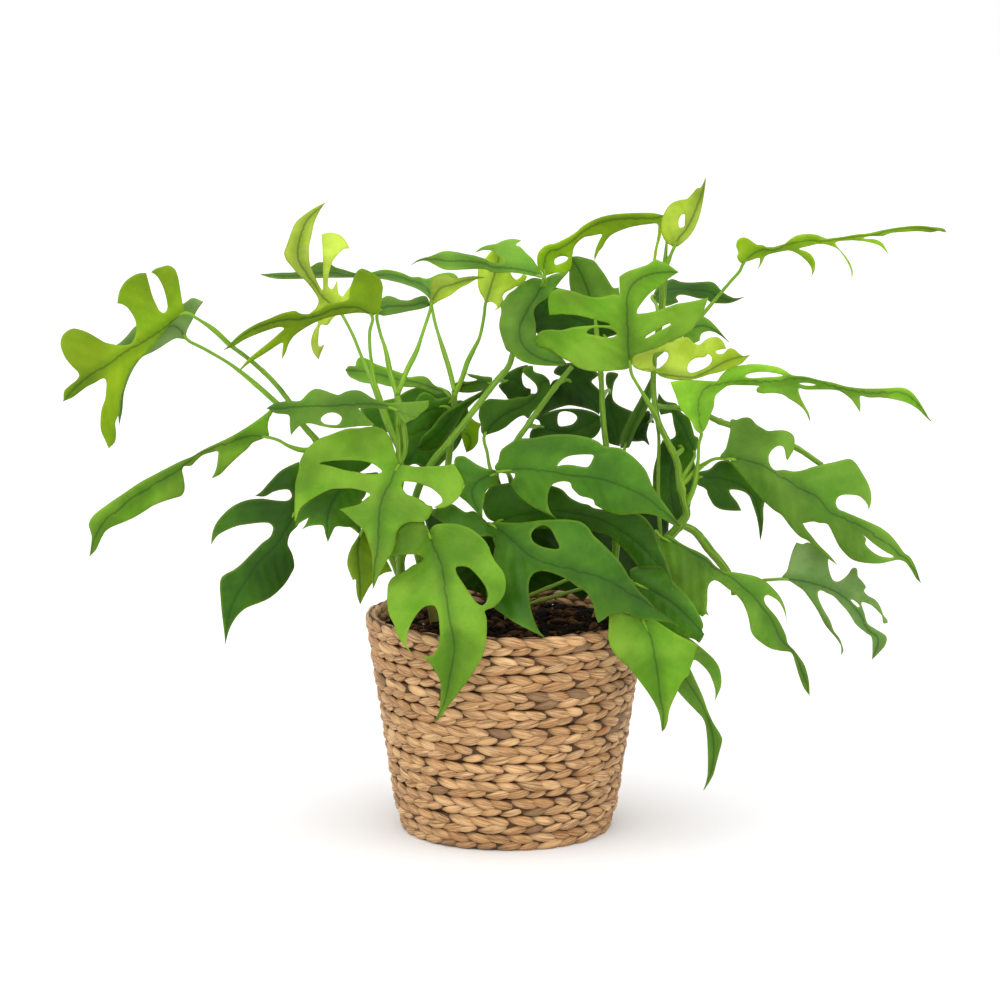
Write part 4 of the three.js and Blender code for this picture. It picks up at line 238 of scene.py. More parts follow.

# Leaves. A heading gives the name, the tone, how much the blade tips and rolls, and its painted
# light or shade, a factor on its colour.
# Below it stand the stalk, from the blade to a stem, the rib, from base to tip, the edge, from the
# base round the tip and back, and any holes. Each line is a first point and the step to each
# next one; a sharp end of a lobe is marked with !.
# The shade-tone blades leaf_low_shade and leaf_top_shade, and the dark leaf_left_core, are dark
# sheets set where shadowed gaps open between other leaves; their dark green is painted shade.
LEAF_TABLE = """\
leaf_far_left lime 0.35 0.002 1
stalk -245,403,-43 11,-7.5,3 13.2,-12.3,5
rib -257,409,-46 -15,-11,-3 -18,-12,-4 -15,-9,-4 -13,-9,-4 -17,-11,-5 -11,-10,-3 -8,-9,-3
edge -259,418 -1.5,9 -2,11 -2.5,6 -5,3 -5,-1 -6,-2 -3,-2.5! 4,-2.5 4,-6 2.5,-6 2,-8 0.5,-6.5
  -2.5,-3.5 -3.5,1.5 -3,5.5 -3,7 -2.5,9 -2.5,9! -6,-0.5 -6.5,-3 -5,-4.5 -3.5,-6 -1.5,-6 -0.5,-4.5!
  3.5,-0.5 4,-2.5 4,-5 3,-6 0.5,-9 -1.5,-5 -2.5,-4 -7.5,-1.5 -7.5,1 -6,1.5 -6,3.5 -7,4 -6.5,2.5
  -6,1 -4.5,-2 -4,-4 -1.5,-6.5 1.5,-6 3,-6 5,-6 4,-4 1.5,-3 -2,-3.5 -6,-5 -4,-4 -0.5,-8.5! 7.5,3.5
  6,4.5 5.5,4 6,3 5,3 2.5,0.5 1.5,-2 0,-7.5 -1,-8 -2.5,-7 -1,-9 0.5,-8.5 3,-7 3,-7! 5,5 1,7 -0.5,9
  3,7.5 0.5,9 3,10.5 3,10 3.5,6.5 5,6 5,4.5 5.5,5.5 6,7.5 5,6 7.5,8
leaf_far_left_behind grey 0.2 0.002 1
stalk -246,382.5,-18 9.2,-4.9,1 16,-9.6,0 9.6,-7.2,0 14.4,-12,0 14.4,-12.8,0 14.4,-14,0
rib -254.5,387,-18 -10.5,11,0 -15,-4,-2 -13,-7,-3 -10,-11,-4 -4,-16,-4 0,-15,-3 -2.5,-26,-6
edge -256,390 1,5 4,8 4,8 5,7! -9,3 -6,-4 -11,-6 -12,-7 -10,-3 -7,-3 -6,-7 -5,-5 -5,-4 -3,-8 0,-10
  4,-12 1,-12 0.5,-10 1,-11! 2.5,11 1.5,15 3.5,11 5,10 6,7.5 8,4 7,4 6,4 6.5,3
leaf_upper_left_tall fresh 0.25 0.003 1
stalk -127,400,44 5,-10,-10 6,-15,-14 6,-14,-14 6,-16,-18 8,-23,-20 8,-22,-14
rib -133,410,54 -7,6,4 -8,7.5,4 -5,7.5,4 -7,10,6 -6,11,6 0,11,6 3,11,5 4,9,5 14.5,14.5,6
edge -139,404 -4,-5 -5,0.5 -2,-9.5 0.5,-8 4.5,2! -3,-7 -2,-5.5! -4.5,6.5 -1.5,8 2,8 3.5,7 -2.5,4
  -5,2 6,6 2,6 -4,7.5 -6,7.5 -7.5,7 -5,6 -3.5,4.5 -1.5,5.5 2,6 3.5,10 3.5,8 6.5,6 8,5.5 9.5,5!
  -4.5,-7 -4.5,-10 -2,-9.5 -2,-9 0,-8.5 1,-7 3,-7 4.5,-9.5 2.2,-3 0.3,12.5 0,10 -0.5,12.5
  -0.5,9.5! 3.5,1.5 5.5,0 6,-2 4,-4 3.5,-6.5! -4.5,-0.5 -6,-5.5 -3.5,-5 -3,-11.5 0,-8 3,-2 4,7!
  1,-10 3,-3 3,4 4,5! 0,-11 -3,-6
leaf_upper_left_strip mid 1.6 0 1.4
stalk -57,402,48 5,-17,-14 6,-19,-16 4.5,-17,-12
rib -60,417,60 -2,9,6 -6,6,6 -8,2.5,6 -14,4,6 -15,0.5,5 -20,0,5 -20,2,5 -25,-2.2,5 -26.5,0.2,6
edge -57,425 7,7 10,4 1.6,1.5! -2.6,2.5 -3.6,1.2 -6.7,-0.5 -4.9,-1.5 -3.8,-1.9 -3,-0.9 -3,0.2
  -4,1.2 -5.4,-0.2 -3.6,1.4 -4.5,2 -8,2 -7,0.5 -8.5,-2 -7,-0.9 -7,0.2 -8.5,2.7 -7,2 -4.5,3 -5,1
  -5,-0.5 -5,-3 -12.5,-4.5 -12.5,-0.5 -9,-1 -6.5,-1! 7.5,-2 8,-1 12.5,0 13.5,0.5 12,0.5 11.5,0
  8.5,0 13,-0.5 10.5,-0.5 8,-1.5 8,-2 4.5,-1.5 5.5,-1.9 4.8,-2.4 4.4,-3.3 2.8,-3.4
leaf_upper_left lime 0.5 0 1
stalk -109,394,-33 0,-12,-3 1.5,-13.5,-3 2,-13.5,-3 5.5,-17,-4 8,-20,-4 6,-18,1
rib -107,406,-30 -11,6.5,-1 -17,-0.5,-2 -15,-5,-3 -15,-3,-4 -15,-1.5,-5 -20,-6.1,-8 -12,-6.8,-5
  -13,-10.6,-6
edge -101,411 1.5,7 0.5,6 0.5,6 -2.5,6.5 -6,4.5 -5,2.5 -3.5,1! -3.5,-2 -4,-8.5 -2,-7 -1,-7
  -6.5,-2.5 -10.5,-1.5 -7,-5 -8,-3 -6.5,0.5 -4,2 -5,-0.5 -7.5,-2 -8,-3.5 -10,-4 -12.5,-7.5 -8,-7.5
  -5.5,-6.5! 8.5,4 7,4.4 10.5,4.6 10,3.6 8,2 3.5,-1.1 -3.5,-3.5 -8,-7 -10,-8 -7.5,-6.5 -9.5,-11.5!
  11.5,9.4 8.5,5.1 7,4.5 10.4,6 -0.2,-5 -0.7,-8.5! 3.5,6.5 2,6 4.5,6.5 11.5,8 8,4 10.5,3.5 12,2
  9.5,1 7,-1
leaf_upper_left_band mid 0.8 0 0.85
stalk -101,394,-18 4.5,-14,-8 4,-19,-10 4,-16,-10
rib -103,408.5,-12 6,5,2 9,1,2 12,0.5,2 10,2,2 6,-2,2
edge -106,413 3,5 3.8,2.5 4.1,2.1 5.1,-0.9 5.1,-2.2 7.2,-0.5 6.2,2.3 7.1,1.1 4.4,-7.4! -7.4,-2.7
  -10.3,-2 -10.2,-2.1 -11.3,-1.5
leaf_young_left fresh 0.9 0 1
stalk -61.3,409,-16 -5.1,-15.2,-8 -5.1,-15.3,-8 -8.2,-16.5,-10 -6.8,-18,-6
rib -59.8,414.6,-14 2.8,8.4,-2 5,6,-2 8,2.5,-4 8,2.5,-2 8,2,-2 10.3,2,-2
edge -54.2,418 4.8,2.5 5.7,2.9 6.8,5.3 5.7,2.8 3.9,2.4 4.8,3.1 4.8,1! -5.8,0.5 -4.8,-0.2 -3.8,-0.5
  -9.6,-1 -4.8,2 -4.8,0 -4.9,-1.3 -2.8,-2.1 -1.2,-3.9 0,-3.8 -0.3,-7.7
leaf_long_left light 0.3 0.002 1
stalk -182,307,-18 8,-4.5,0 12.5,-3.5,1 9.5,1,2
rib -191,309.5,-18 -9,0.3,-2 -10,-0.8,-2 -12,-4,-3 -10,-3.4,-3 -15,-7,-4 -6,-4.2,-1 -13,-9.4,-3
  -17.5,-11,-4 -16.5,-10.5,-4 -11,-9,-3 -10,-8.5,-3 -6,-10,-3 -6,-18,-5
edge -189.5,311 -1,6 1,7 3,5.5 2,6! -6.5,-6 -10.5,-8 -10,-6.5 -10.5,-6 -10,-4.7 -6.5,-3 -8,-4.3
  -3,-2.1 -10.5,-4.4 -10,-5 -11.5,-6 -12,-6.5 -12.5,-8.5 -12.5,-8.5 -11,-8.5 -3,-4 -1.5,-4 1,-4
  1.4,-5 -0.2,-6 -1.2,-10.5! 5,5.5 3.5,7.5 4,7 5,3.5 8.5,3.5 8,3.5 9.5,5.5 7,4.5 8.5,3.5 8,2.5 6,2
  2.5,3.5 0.5,4 -1,8 -1,5 1.5,3 5.5,0.6 4.5,4.4 5,4 6,2 6,1 0,-4.5 -1.5,-9.5 -3.5,-7.5! 6.5,3 7,7
  8.5,8 7,6 4,4.5 6.5,2.6
leaf_low_left dark 0.1 0.002 1
stalk -158,258,-14 18,-6,8 22,-17,6 22,-15,7
rib -168,250,-22 -8.5,-15.5,-4 -7.5,-11.5,-4 -11,-11,-3 -8,-10.5,-3 -9,-13.5,-2 -5.5,-10,-2
  -4.5,-14,-2 -2.5,-20,-4
edge -165,260 -2,8 1.5,10 0,12! -8,-3.5 -7,-4 -8,-8 -7.5,-8.5 -5,-3.6! 8,-0.4 6.5,3.5 8,2 5,-0.5
  2,-5 -3,-3 -8,-0.2 -11.5,1.5 -5,0 -7,-0.8 -7.5,-2.5 -7,-4 -6,-5.5 -5.5,-7 -3,-8 -1,-9! 5,7 8.5,5
  8,3 9.5,1.5 9,1 6.5,-0.5 3,-3 -0.5,-4 -2,-4 -6,-4.5 -5,-5 -6,-6 -6.5,-6.5 -6,-4.5 -6,-3
  -3.5,-3.5 -1,-6 0.5,-8.5 1,-12.5 1.5,-12 1.5,-13.5! 2.5,9.5 2.5,6 4.5,7 6,5.5 5,2.5 7,2.5
  7.5,3.5 7,5.5 6,6.5 4,6.5 3,6 0,4.5 -1.5,6.5 -3.5,7.5 0,3 2,6 6.5,7.5
leaf_left_shade deep 0.1 0.002 1
stalk -110,276,-32 10,-14,2 5,-20,-1 9,-16,-3
rib -119,280,-36 -11,-10,-4 -8,-12,-3 -4,-10,-3 -1,-10,-2 0.5,-12.5,-2
edge -111,285 5,5! -12,3 -12,-1 -12,0.5 -8.5,-1.5! -0.5,-10 2,-11 -6,-9 -7,-6 -4.5,-6 -2.5,-11.5!
  5,4 6,3.5! -2.5,-5.5 -3,-4! 5.5,2.5 6,1 5.5,-0.5 2,-7 2,-6! 2.5,5.5 3,6 1.5,1 7.5,-0.5 6,-0.5
  4,-4.5! 2,4.5 -3,4 -1,6 2,9 5,6 3,7 6,6 2,6 -7,0
leaf_left_rim lime 0.2 0.002 0.9
stalk -108,240,-52 10,-8,12 10,-17,12
rib -114,236,-64 -4,-12,-4 0,-14,-4 1,-15,-4 0.5,-19.5,-4
edge -116,234.5 -3,-5.5 -5,-8 -2.5,-7 -0.5,-6.5 2,-7 2.5,-5.5! 2,1 0.5,-6.5 1,-7.5 2.5,-6.5!
  3.5,7.5 4,7 4,5.5! 7,5 7,1.5! -4,8 -5,6 -3,6 -3,7
leaf_flat_left mid -0.5 0.001 1
stalk -86,327,-62 0,-9,10
rib -88.5,331.5,-72 -8.5,3.3,-1 -13,1.2,-2 -15,-0.5,-2 -15,-0.7,-2 -15,-0.6,-1 -15,-0.7,-2
  -12,-0.7,-1 -9.5,0.2,-1
edge -84,324 3.7,-3.7! 3.1,2 5.2,2.1 3.5,3.6 4.9,4 1.8,2.6 0,4.3! -12.3,-1 -9.2,-0.5 -8.2,-0.4
  -6.2,0.5 -8.2,2.8 -7.7,4.8 -3.6,1.6 -4.6,0.4 -3.6,-0.4 -4.1,-1.3 -4.6,-2.1 -4.6,1.1 -5.1,2
  -4.1,1.3 -4.7,0.5 -4.6,-2.3 -3.6,-3.6 -4.1,-3.7 -9.7,-0.1 -6.2,-1 -4.1,-0.8 -6.6,-3.7! 6.6,-4.3
  5.2,-0.7 5.9,-1.1 0.7,-7.7 1,-8.2! 6.7,7.2 7.2,2.3 9.2,-1.9 8.2,-1.6 8.2,-0.4 6.2,0.6 9.7,1.1
  6.7,0.1 5.1,0.8! -6.1,5.5 -7,7.7! 10,0.6 11,-1
hole -148.2,323.3 1.2,2.6 3.2,2.3 4.1,1 4.9,-1 3.4,-3.3 -1.6,-4.1 -2,-1.4 -4.7,0 -5.8,1
leaf_behind_stalks light 1.1 0 1.3
stalk -42,338,6
rib -47,344.5,10 -11,4,8 -14,4.5,10 -16,3,10 -16,4,10 -14,2,8 -10.8,1,6
edge -48.9,346 -6.4,3.8 -3.6,2.8! -3.6,4.2 -4,1.6 -7.2,-0.4 -4.8,-0.5 -4,2.9 -5.5,2 -6.6,2.4
  -11.2,4 -4.2,2.8 -4.6,1.6 -3.4,-0.2 -2,-3.4 -0.5,-3.1 -5.5,-0.1 -2.8,-3.4! 3.8,-5.2 4,-2.2
  4.8,-2 6.4,-1.2 7.2,0 9.6,-2.4 8,0 7,-0.5 8,-0.5 8,-2.5 8,-3.5
leaf_left_inner deep 0.3 0 1
stalk -44,326,4
rib -48,334,2 -10,-2,-2 -10,-4,-2 -8,-6,-2 -8,-6,-2
edge -44,342 -6,-1 -6,-0.5 -4,3.5 -5,1.5 -4,-1.5 -3,-4! -2,-6 -6,-12 -4,-6! 6,-4 10,2 11,5 7,7
leaf_centre_edge dark 0.6 0 1
stalk -9,350,-14
rib -14,348,-12 -10,-8,2 -11,-7,2 -11,-11,0 -9,-10,0 -9,-7.5,0 -7.5,-5,0
edge -12,351 -8,-5 -11.5,-6 -9.5,-5.6 -10,-6.7 -9.4,-11.5 -6.6,-6.2 -3,-6 -1.5,-4.5! 7.5,-0.5 8,2
  6,5 6,7 6,9 4,7 8,8 9,7
leaf_centre_small mid 0.8 0 1
stalk -8,353,-14
rib -12,352.5,-8 -8,1,8 -8,-1.5,6 -8,-2,2 -6,1,2
edge -11,357 -8,1.3 -6,1.2 -7,1! 3,-2.5 6,-2.6 -7,-1.5 -8,0.3 -4,-3.2! 2,-4.4 10,-1.6 10,1.6 7,2.4
leaf_hand_left light 0 0.0018 1
stalk -84.5,280,-50
rib -85.8,287.4,-54 -3.2,-6.4,-4 -4.6,-10,-7 -4.1,-8.2,-6 -3.1,-10.8,-8 -1,-15,-12 -1,-15,-10
  -2.1,-16,-8 -1.6,-18,-4
edge -89,298.7 -3.6,10.3 -5.1,6.4 -7.2,2.6 -7.2,-0.4 -4.6,-0.8 -9.7,-0.4 -6.2,-1.8 -8.2,-3.1
  -8.2,-3 -7.2,-5.2 -3.5,-3.6 -3.4,-5.1 -2.3,-6.1 -0.5,-5.2 -2.6,-10.2 -0.5,-11.3 -0.2,-10.3
  0.2,-10.2! 1.6,4.1 2,6.1 5.1,5.2 5.2,3.6 6.1,3.5 5.2,2.6 5.1,1.8 6.1,0.1 9.3,0.2 5.1,-1.1
  6.1,-1.7 3.5,-2.4 -2.4,-2 -3.1,-2.6 -4.1,-3.1 -8.2,-2 -7.2,-1.9! 4.1,-2.7 5.1,-4.6 5.2,-4.7
  4.1,-3.5 2.5,-4.1 2.1,-6.2 2.5,-8.2 1.1,-11.3 -0.2,-8.2 0.6,-10.2! 1.6,3 3.1,7.2 3.1,6.2 4.1,7.1
  3.6,6.2 2,6.1 0.5,6.2 2.1,5.1 3.1,3.6 5.1,2.6 6.2,0.5 5.1,-0.2 4.1,2.2 2.5,3.6 1.9,4.1 -1,3.1!
  -3.4,0.5 -4.1,3.6 -5.1,2.6 -7.2,2.5 -2.6,3.1 -1.5,4.1 1.3,2.8 4.8,0.1 6.2,-1 5.1,-1.9 5.1,-1.8
  5.2,-3.8 4.1,-4.6 0.5,-3.1 -2.6,-2.1 -4,-2! 3,-1 5.1,0.6 6.2,3 5.1,4.6 3.1,5.1 1.7,6.2 -1.7,5.1
  -4.1,7.2 -2.6,3.9! -6.7,-1.4 -11.2,-0.7 -12.3,-0.3 -8,1.1
hole -149.5,288.4 3.6,1.2 7.2,1 9.2,0.5 9.2,-0.2 8.2,-1 6.2,-2.2 4.5,-3 2.2,-2.5 -1.8,-1.6
  -6.9,-0.6 -6.2,0.6 -6.2,1.1 -8.2,1.3 -8.2,2.3 -7.1,1.9
leaf_front light 0 0.0006 0.92
stalk -65,238,-60 -5,0,16 -7,-12,10 -7,-16,8
rib -62,232,-72 4,-10,-12 6,-15,-14 3.7,-22.4,-15 3.3,-21.6,-10 3,-17,-4 -1,-16,-1 -4.2,-22,0
  -4.3,-15,1 -5,-12,1
edge -64.7,238 -0.5,3.8 -3.8,-0.3 -6.6,0.3 -4.3,-1.1 -4.9,-3.8 -2.8,-5.4 -1.1,-8.7 -3.3,-5.8
  -3,-4! 5,1 6.8,1.2 9.8,0.4 5.4,-1.2 2,-2.8 -2,-1.9 -6.5,-2.7 -5.4,-3.9 -5.5,-3.2 -5.4,-2.7
  -3.3,-5 -0.9,-7.6 0.1,-10.9 1.9,-7.6 3.3,-6.5 2.1,-6.6 3.3,-6.5 4.9,-6 4.4,-4.9! -3.3,5.4
  -1.6,4.4 1.1,6.5 1.6,5.5 3.3,6.5 3.8,5.5 4.3,4 4.4,1.4 3.3,0 2.1,-2.2 2.2,-7.6 0.6,-7.6 0.3,-7.7
  -1.4,-7.6 -2.8,-5.4 -3.2,-2.2 -4.4,-0.6 -4.3,2.2! 6,-5.4 3.8,-4.9 4.3,-6.6 2.4,-6.5 0.1,-9.8
  -0.8,-10.9 -2.2,-6.5 -1.1,-4.5! 4.9,5.5 4.4,6.6 5.4,6.5 6.5,8.7 6.6,8.8 5.4,8.7 5.5,10.9 1.6,8.7
  0.8,8.7 -0.2,10.9 -1.4,5.3 6.8,2.9 3.3,2.7 4.3,5.5 2,5.4 0.4,7.6 -1.8,6.6 -3.3,4.9 -3.8,4.9
  -2.7,5.4 -2.2,6 -3.8,5.5 -4.4,4.3 -6.5,4.4 -8.7,3.2 -7.7,0.8 -10.9,-0.8 -3.8,-2.6
hole -40,205.3 4.7,0.9 5.5,-1.1 4.3,-3.6 4.4,-4.9 3.8,-5.4 2.5,-5.5 0,-5.4 -1.9,-3.9 -2.8,-1.6
  -3.8,2.2 -4.3,5.4 -4.4,6.6 -4.3,6.5 -3.3,5.5
leaf_centre_front deep 0.24 -0.004 0.9
stalk -10,232,-20 8,-17,12
rib -14,240.6,-34 10,-6.6,-14 10,-8,-14 12,-10,-14 14,-7,-10 23,-6,-7 25,-8,-4 20,-11,-2 18,-11,-2
  19.4,-14.3,-2
edge -10,241.6 12,-0.6 10,0 8,1 8,1 10,0.5 12,0 10,-2 6,-4.5 4,-6 6,-5.5 7,-7 7,-7.5 5,-7 4,-7
  8,-11 7,-7 6,-6.5 6,-4.5 7,-5.2 4.4,-4.1! -6.6,2.3 -6.2,1 -5.1,0.8 -9,0.8 -7.5,2 -6,2.4 -5.2,0.9
  -5.8,-1.3 -4,-1.1 -4,-3 -4.4,-2.7! -2.1,5.9 -1.5,7.1 -2,5.2 -3.6,6.1 -7.2,4.6 -7.2,5.2 -8.2,4.1
  -8.2,2.7 -6.2,0.6 -5.1,-1.8 -3.1,-4.1 -1.2,-7.2 0.7,-9.2 1.6,-9.2 3,-9.3 4.1,-8.2 7.7,-7.7!
  -4.6,3.6 -9.2,4.7 -10.3,5.1 -7.2,4.2 -7.1,5.1 -6.2,4.5 -4.5,5.2 -2,10 2,12 3,12 1.5,6 1.1,8
  -3.6,4 -7,0 -11,2 -15,5 -9,6 -6,4! 3,5 7,1.5 7,2.5 5,-3 6,-3.5 6,0.9 6,-4.4
hole 20.3,232.3 4.1,4.9 6.1,1.6 5.1,-2.9 3.1,-5.6 3.9,-9.7 -7,-0.2 -8.2,2.1 -5.9,4.1
leaf_centre_shade dark -0.1 0 1
stalk -2,237,-13
rib -8,241,-20 16,5,-4 17,3,-4 23,0.5,-6 27,-6.5,-9 25,-14.5,-12 18,-16.5,-13 11.8,-11.5,-11
  3.2,-12.5,-7
edge -15,245 -4,10 2,8 5,7 8,2 8,1 10,-1 11,-1 10,0 10,-3.5 6,-6 9,-4.7 6,-1.4 4,-2.4 15,-2 15,-1
  10,-4 8,-10 3.5,-9 3.1,-8 3.4,-7 3,-9 2,-8 0,-7! -4,10.5 -4,4.5 -4,2 -8,0 -6,0.4 -3,2.6 -4,5
  -3,4 -5,5 -4,4 -6,5 -6,1.4 -8,1.6 -13,2 -20,0 -20,0 -15,1
leaf_centre_upper deep 0.05 0.0008 1
stalk -3,283,-34 5,-3,13 3,-10,12 2,-12,3
rib -7,281.6,-44 17,1.9,-6 20,-1.5,-6 22,-3,-6 23,-3,-6 20,-7,-6 17,-8.5,-6 14,-10.5,-5
  13.7,-11.5,-5
edge -9.2,285.4 3,5.1 2.1,8.2 6.1,5.1 7.2,4.1 13.4,1.1 10.2,2 10.2,0.8 10.3,-0.3 8.2,-1.3 6.2,-1.7
  6.1,-2.6 4.9,-3.6 7.6,-0.8 5.5,-0.9 4.4,-2.7 6.5,-4.9 5.4,-5.4 3.9,-4.9 2.7,-6 3.2,-7.7 4.4,-6.5
  5.5,-7.6 6.5,-8.7 5.4,-7.7! -3.2,-0.3 -5.5,2.5 -6.5,3.8 -6.6,2.8 -7.6,1 -7.6,-0.3 -10.9,-0.7
  -8.7,2.1 -6.6,2.8 -5.5,3.2! -1,3.6 -4.6,2 -6.2,1.6 -4.1,3.6 -2.5,3 -1.1,3.6 -4.6,1.3 -5.1,-0.6
  -4.1,-1.7 -3.1,-4.6 -1.3,-6.2 0.3,-6.1 2,-5.2 4.1,-5.1 3.3,-2.3! -6.3,3.9 -7.2,3.5 -8.2,4.1
  -7.2,5.2 -6.2,6.1 -4.1,6.7 2.6,5.1 2.2,2.7 -4.6,1 -6,-0.2
hole 41,286.6 2,2.9 4,3.3 5.1,1.8 10.2,1 7.7,-0.8 -0.7,-3 -3.9,-6 -5.1,0.2 -8.2,1.4 -6.1,0
leaf_centre_left deep 0.1 0.002 1
stalk -7,280,-26 1,-6,12 4,-12,6 5,-14,2
rib -8,280,-34 -6,-2,-2 -8,-4,-2 -5,-7,-2 1,-8,-2 7.3,-15.7,-4
edge -8.2,283 -6.2,1 -8.2,3.4 -7.1,4.7 -4.1,2.3 -6.2,-0.8 -1.5,-4.6 2.5,-7.7 3.1,-5.1 2.6,-5.2
  -1.6,-4.1 -2.5,-4.1 5.6,-5.1 5.1,-5.1 5.2,-5.7 2.8,-3.6! 0,8.2 1.3,8.2 2,7.2 3.1,2.6 4.1,1.5
  1.5,4.1
leaf_centre_high deep -0.2 0 0.85
stalk -15,297,0 2.5,-13,-6 8.5,-16,-2 10,-18,2
rib -17.5,310.4,6 7.5,9.6,2 10,8,2 15,7.5,3 11,9.5,3 3,8,2 5.8,2.1,2
edge -20,314 0,5 -2,8 2,8 6,5 6,0 9,-0.3 9,1.9 7,0.4 3.5,2.5 3.3,-0.1 1.2,1.6 -0.8,4.8 -4.4,4.8
  -4.8,4 -2.2,3.4 2.8,2.5 5.7,1.1 1,-4.3 7.7,-2.9 4.8,-4.3! 1.2,-9.1 -6,-7.7 -3.8,-3.9 -4.9,-4.8
  -3.8,-5.3 -2.9,2.4 -4.8,-1.4 -4.8,-3.4 -5.8,-4.8 -5.7,-2.9 -5.8,-1.9
leaf_centre_high_shade shade 0.2 0 1
stalk -4,356,-8
rib -1,354,22 7,2,2 6,-4,2 8,-6.5,2
edge -4,358 7,4.3 8,3.7 7,1 -5,-7 0.5,-7 2.1,-3.7 4.4,-1.3 0,-2.5! 0,-3.5 -4,-1 -7,-0.5 -8,-0.2
  -0.5,1.7 -3.5,4 -3,5
leaf_left_core dark -0.2 0.001 1.3
stalk -41,338,18
rib -44,338,30 -8,-10,6 -8,-11,6 -8,-11,5 -8,-13,5
edge -44,344.5 -7,4.5 -14,1.5 -13.4,-3.5 -9.6,-6! -9,-2 -11,-3.5 -9,-3.5! 8,-12 11,-6 9,-1.5!
  4,-9.5 1,-11 2,-8! 9,4 8,-4 9,0! 9,9 8.6,9.4 4.8,11.2 3.6,16 -4,8.9
leaf_low_shade shade 0 0.001 0.8
stalk 10,246,14
rib 14,240,32 3,-15,6 2,-17,6 1,-21,6
edge 3,237.5 -13,2.5 -12.4,3.2 -13.6,3.8 -10,1 -10,4.5 -10,-5.5! 3,-11 2.2,-9 3.8,-19 7,-14! 9,-4
  8,-2 11,-3 10,-6! 9,6 12,2 11,-7! 11,6 11,1 11,-3 9,-6! 7,9 9,4 10,-3 9,-4! 5,15 8,12 9,11
  11,12! -1,13.5 -18,2.9 -13,-6.4 -23,-2 -20,1.2 -27.8,-1.7
leaf_top_shade shade 0.1 0 1.2
stalk 76,382,18
rib 80,389,24 -12,9,3 -14,7,2 -14,6,2 -15,8,2
edge 91,393 1.8,5 -3.2,11.6 -10.6,5.4 -11.8,4.2 -19.2,8 -16.8,4! -12,-5.6 -1.7,-10.6 2.5,-10.2
  1,-7.8 6.2,-6 16,-1.5 20,-2
leaf_under_top shade 0.15 0 1
stalk 44,352,10
rib 50,355,22 6,-5,4 7,-6,4 7,-7,4 4.5,-9.5,4
edge 44,358 -6,3 3,5 9,3 10,-2 10,-3 4,-5 -1.7,-1.5 -3.8,-3.5 3.5,-4 4,-4.5 0.4,-7.5 -0.6,-7
  -1.3,-3.5! -5.1,3.1 -7.7,2.4 -10.5,1.9 -3.9,-0.5 -7.7,-2.4 -7.7,-3.3 -3.9,-2.7 -2,4 4,8 4,8 3,8
  4,2
leaf_under_middle dark 0.1 0 0.8
stalk 24,318,30 -5,1,-27
rib 28,318,50 10,-3,5 12,-1,5 12,4,5 8,4,5 6,4,4
edge 26,323 -6,2 7,3 6,1.4 8,2.2 7,0.8 12,-0.4 10,-2.5 6,-3.5! 0,-8 -2,-5 -4,-4 -8,-2 -17,0 -15,-1
  -10,-1 -1,7 3,5
hole 42.3,318.8 0,9.7 5.2,1.7 7.5,-2.2 2,-3 -3,-4.4 -4,-1.6
leaf_right_inner_shade shade 0.2 0.002 1
stalk 80,346,30 -3,-4,-26
rib 83,346,52 1,-14,8 4,-14,6 3,-16,6
edge 80,352 1,9 9,-1 -3.5,-7 -0.9,-13 4,-4.5 12,-5.5! -3.6,-8 -5,-12 -2,-8! -7,2 -4,2 -4,14 1,16
leaf_right_inner_edge deep 1.4 0 1
stalk 94,290,30 -2,-30,-14 -4,-25,-8
rib 95,301,32 5,15,-4 5.5,12,-2 5.5,12,-2 5,19,-4
edge 91.5,301 4.5,17 5,11 6,11 5,10 4,9! 1,-11 -2,-11 -5,-11 -6,-11 -6,-14
leaf_right_inner_low shade 0.3 0 0.6
stalk 117,326,30 2,4,-38
rib 115,322,66 -5,-5,6 -5,-5,4 -6.7,-6,6
edge 118.5,320.3 -1.6,5.7 -3.3,5 -7.6,-10 -6,-10 -1.7,-5! 7.7,0 4.3,0.4 4.4,-3.6 -2,8.7
leaf_behind_right_stem dark 0.3 0.001 1
stalk 141,300,4
rib 138,302,20 -4,-10,6 -2,-12,4 0,-14,4 4,-23,4
edge 132,306 -7,1! -3.4,-10 -3.6,-14 -0.5,-11 1.5,-13 7.4,-9.4 9.6,-8! 9.6,8 3.2,13.4 3.2,20 -4,14
  -4,6
leaf_yellow_inner lime 0.3 0 1.1
stalk -42,314,10
rib -36,315,14 5,-3,2 3,-6,2 -3.5,-9,2
edge -33,320 4,6! 5,-4 4,-2 -1.5,-4 -0.5,-5.5 -0.4,-4.9 -4.3,-5.8 -4.8,-2.8! -1.5,4 -2,7
leaf_top_left mid -0.6 0.002 1.2
stalk 30,430,-10
rib 31,436.8,-22 -9,4.2,0 -11,2.6,0 -11,1.4,-1 -10,1,-1 -10,3,-2 -13,1.3,-2 -13,0.5,-3 -12,1,-2
  -8,0.2,-2 -4.6,-1.1,-1 -5,-2.8,-2
edge 27.5,443 -3.8,5.4 -2.9,4.3 -3.9,3.4 -2.9,3.3 -2.8,2.4 -3.4,1.5 1.9,1.9 2.6,1.7! -4,1 -3.9,0.2
  -4.8,-0.8 -3.8,-1.3 -3.9,-1.8 -5.7,-0.9 -4.9,-1.5 -3.8,-2.4 -2.7,-2.7! 3.7,1.6 3.8,0.9 6.7,-0.7
  4,-3.5 5,-5.5 -5,-0.7 -4.9,0.5 -4.8,2.9 -4.8,1.5 -4.8,1.4 -5.8,1 -7.7,1.6 -6.7,0.8 -4.8,-0.5
  -4.9,-1.9 -4.8,-1.9 -4.8,-1 -4.8,-1.6 -5,-3.5! 5,2.1 4.8,0.8 3.9,-1 2.9,-1.6 2.8,-1.5 2.9,-1.7
  3.9,-1.6 4.8,-0.5 11.5,0.5 10.6,0.4 6.7,-0.4 3.9,-2 3.8,-0.6 9.6,0.3 9.7,-0.9 8.8,-1.8
leaf_top_left_behind fresh 0.1 0.002 1.25
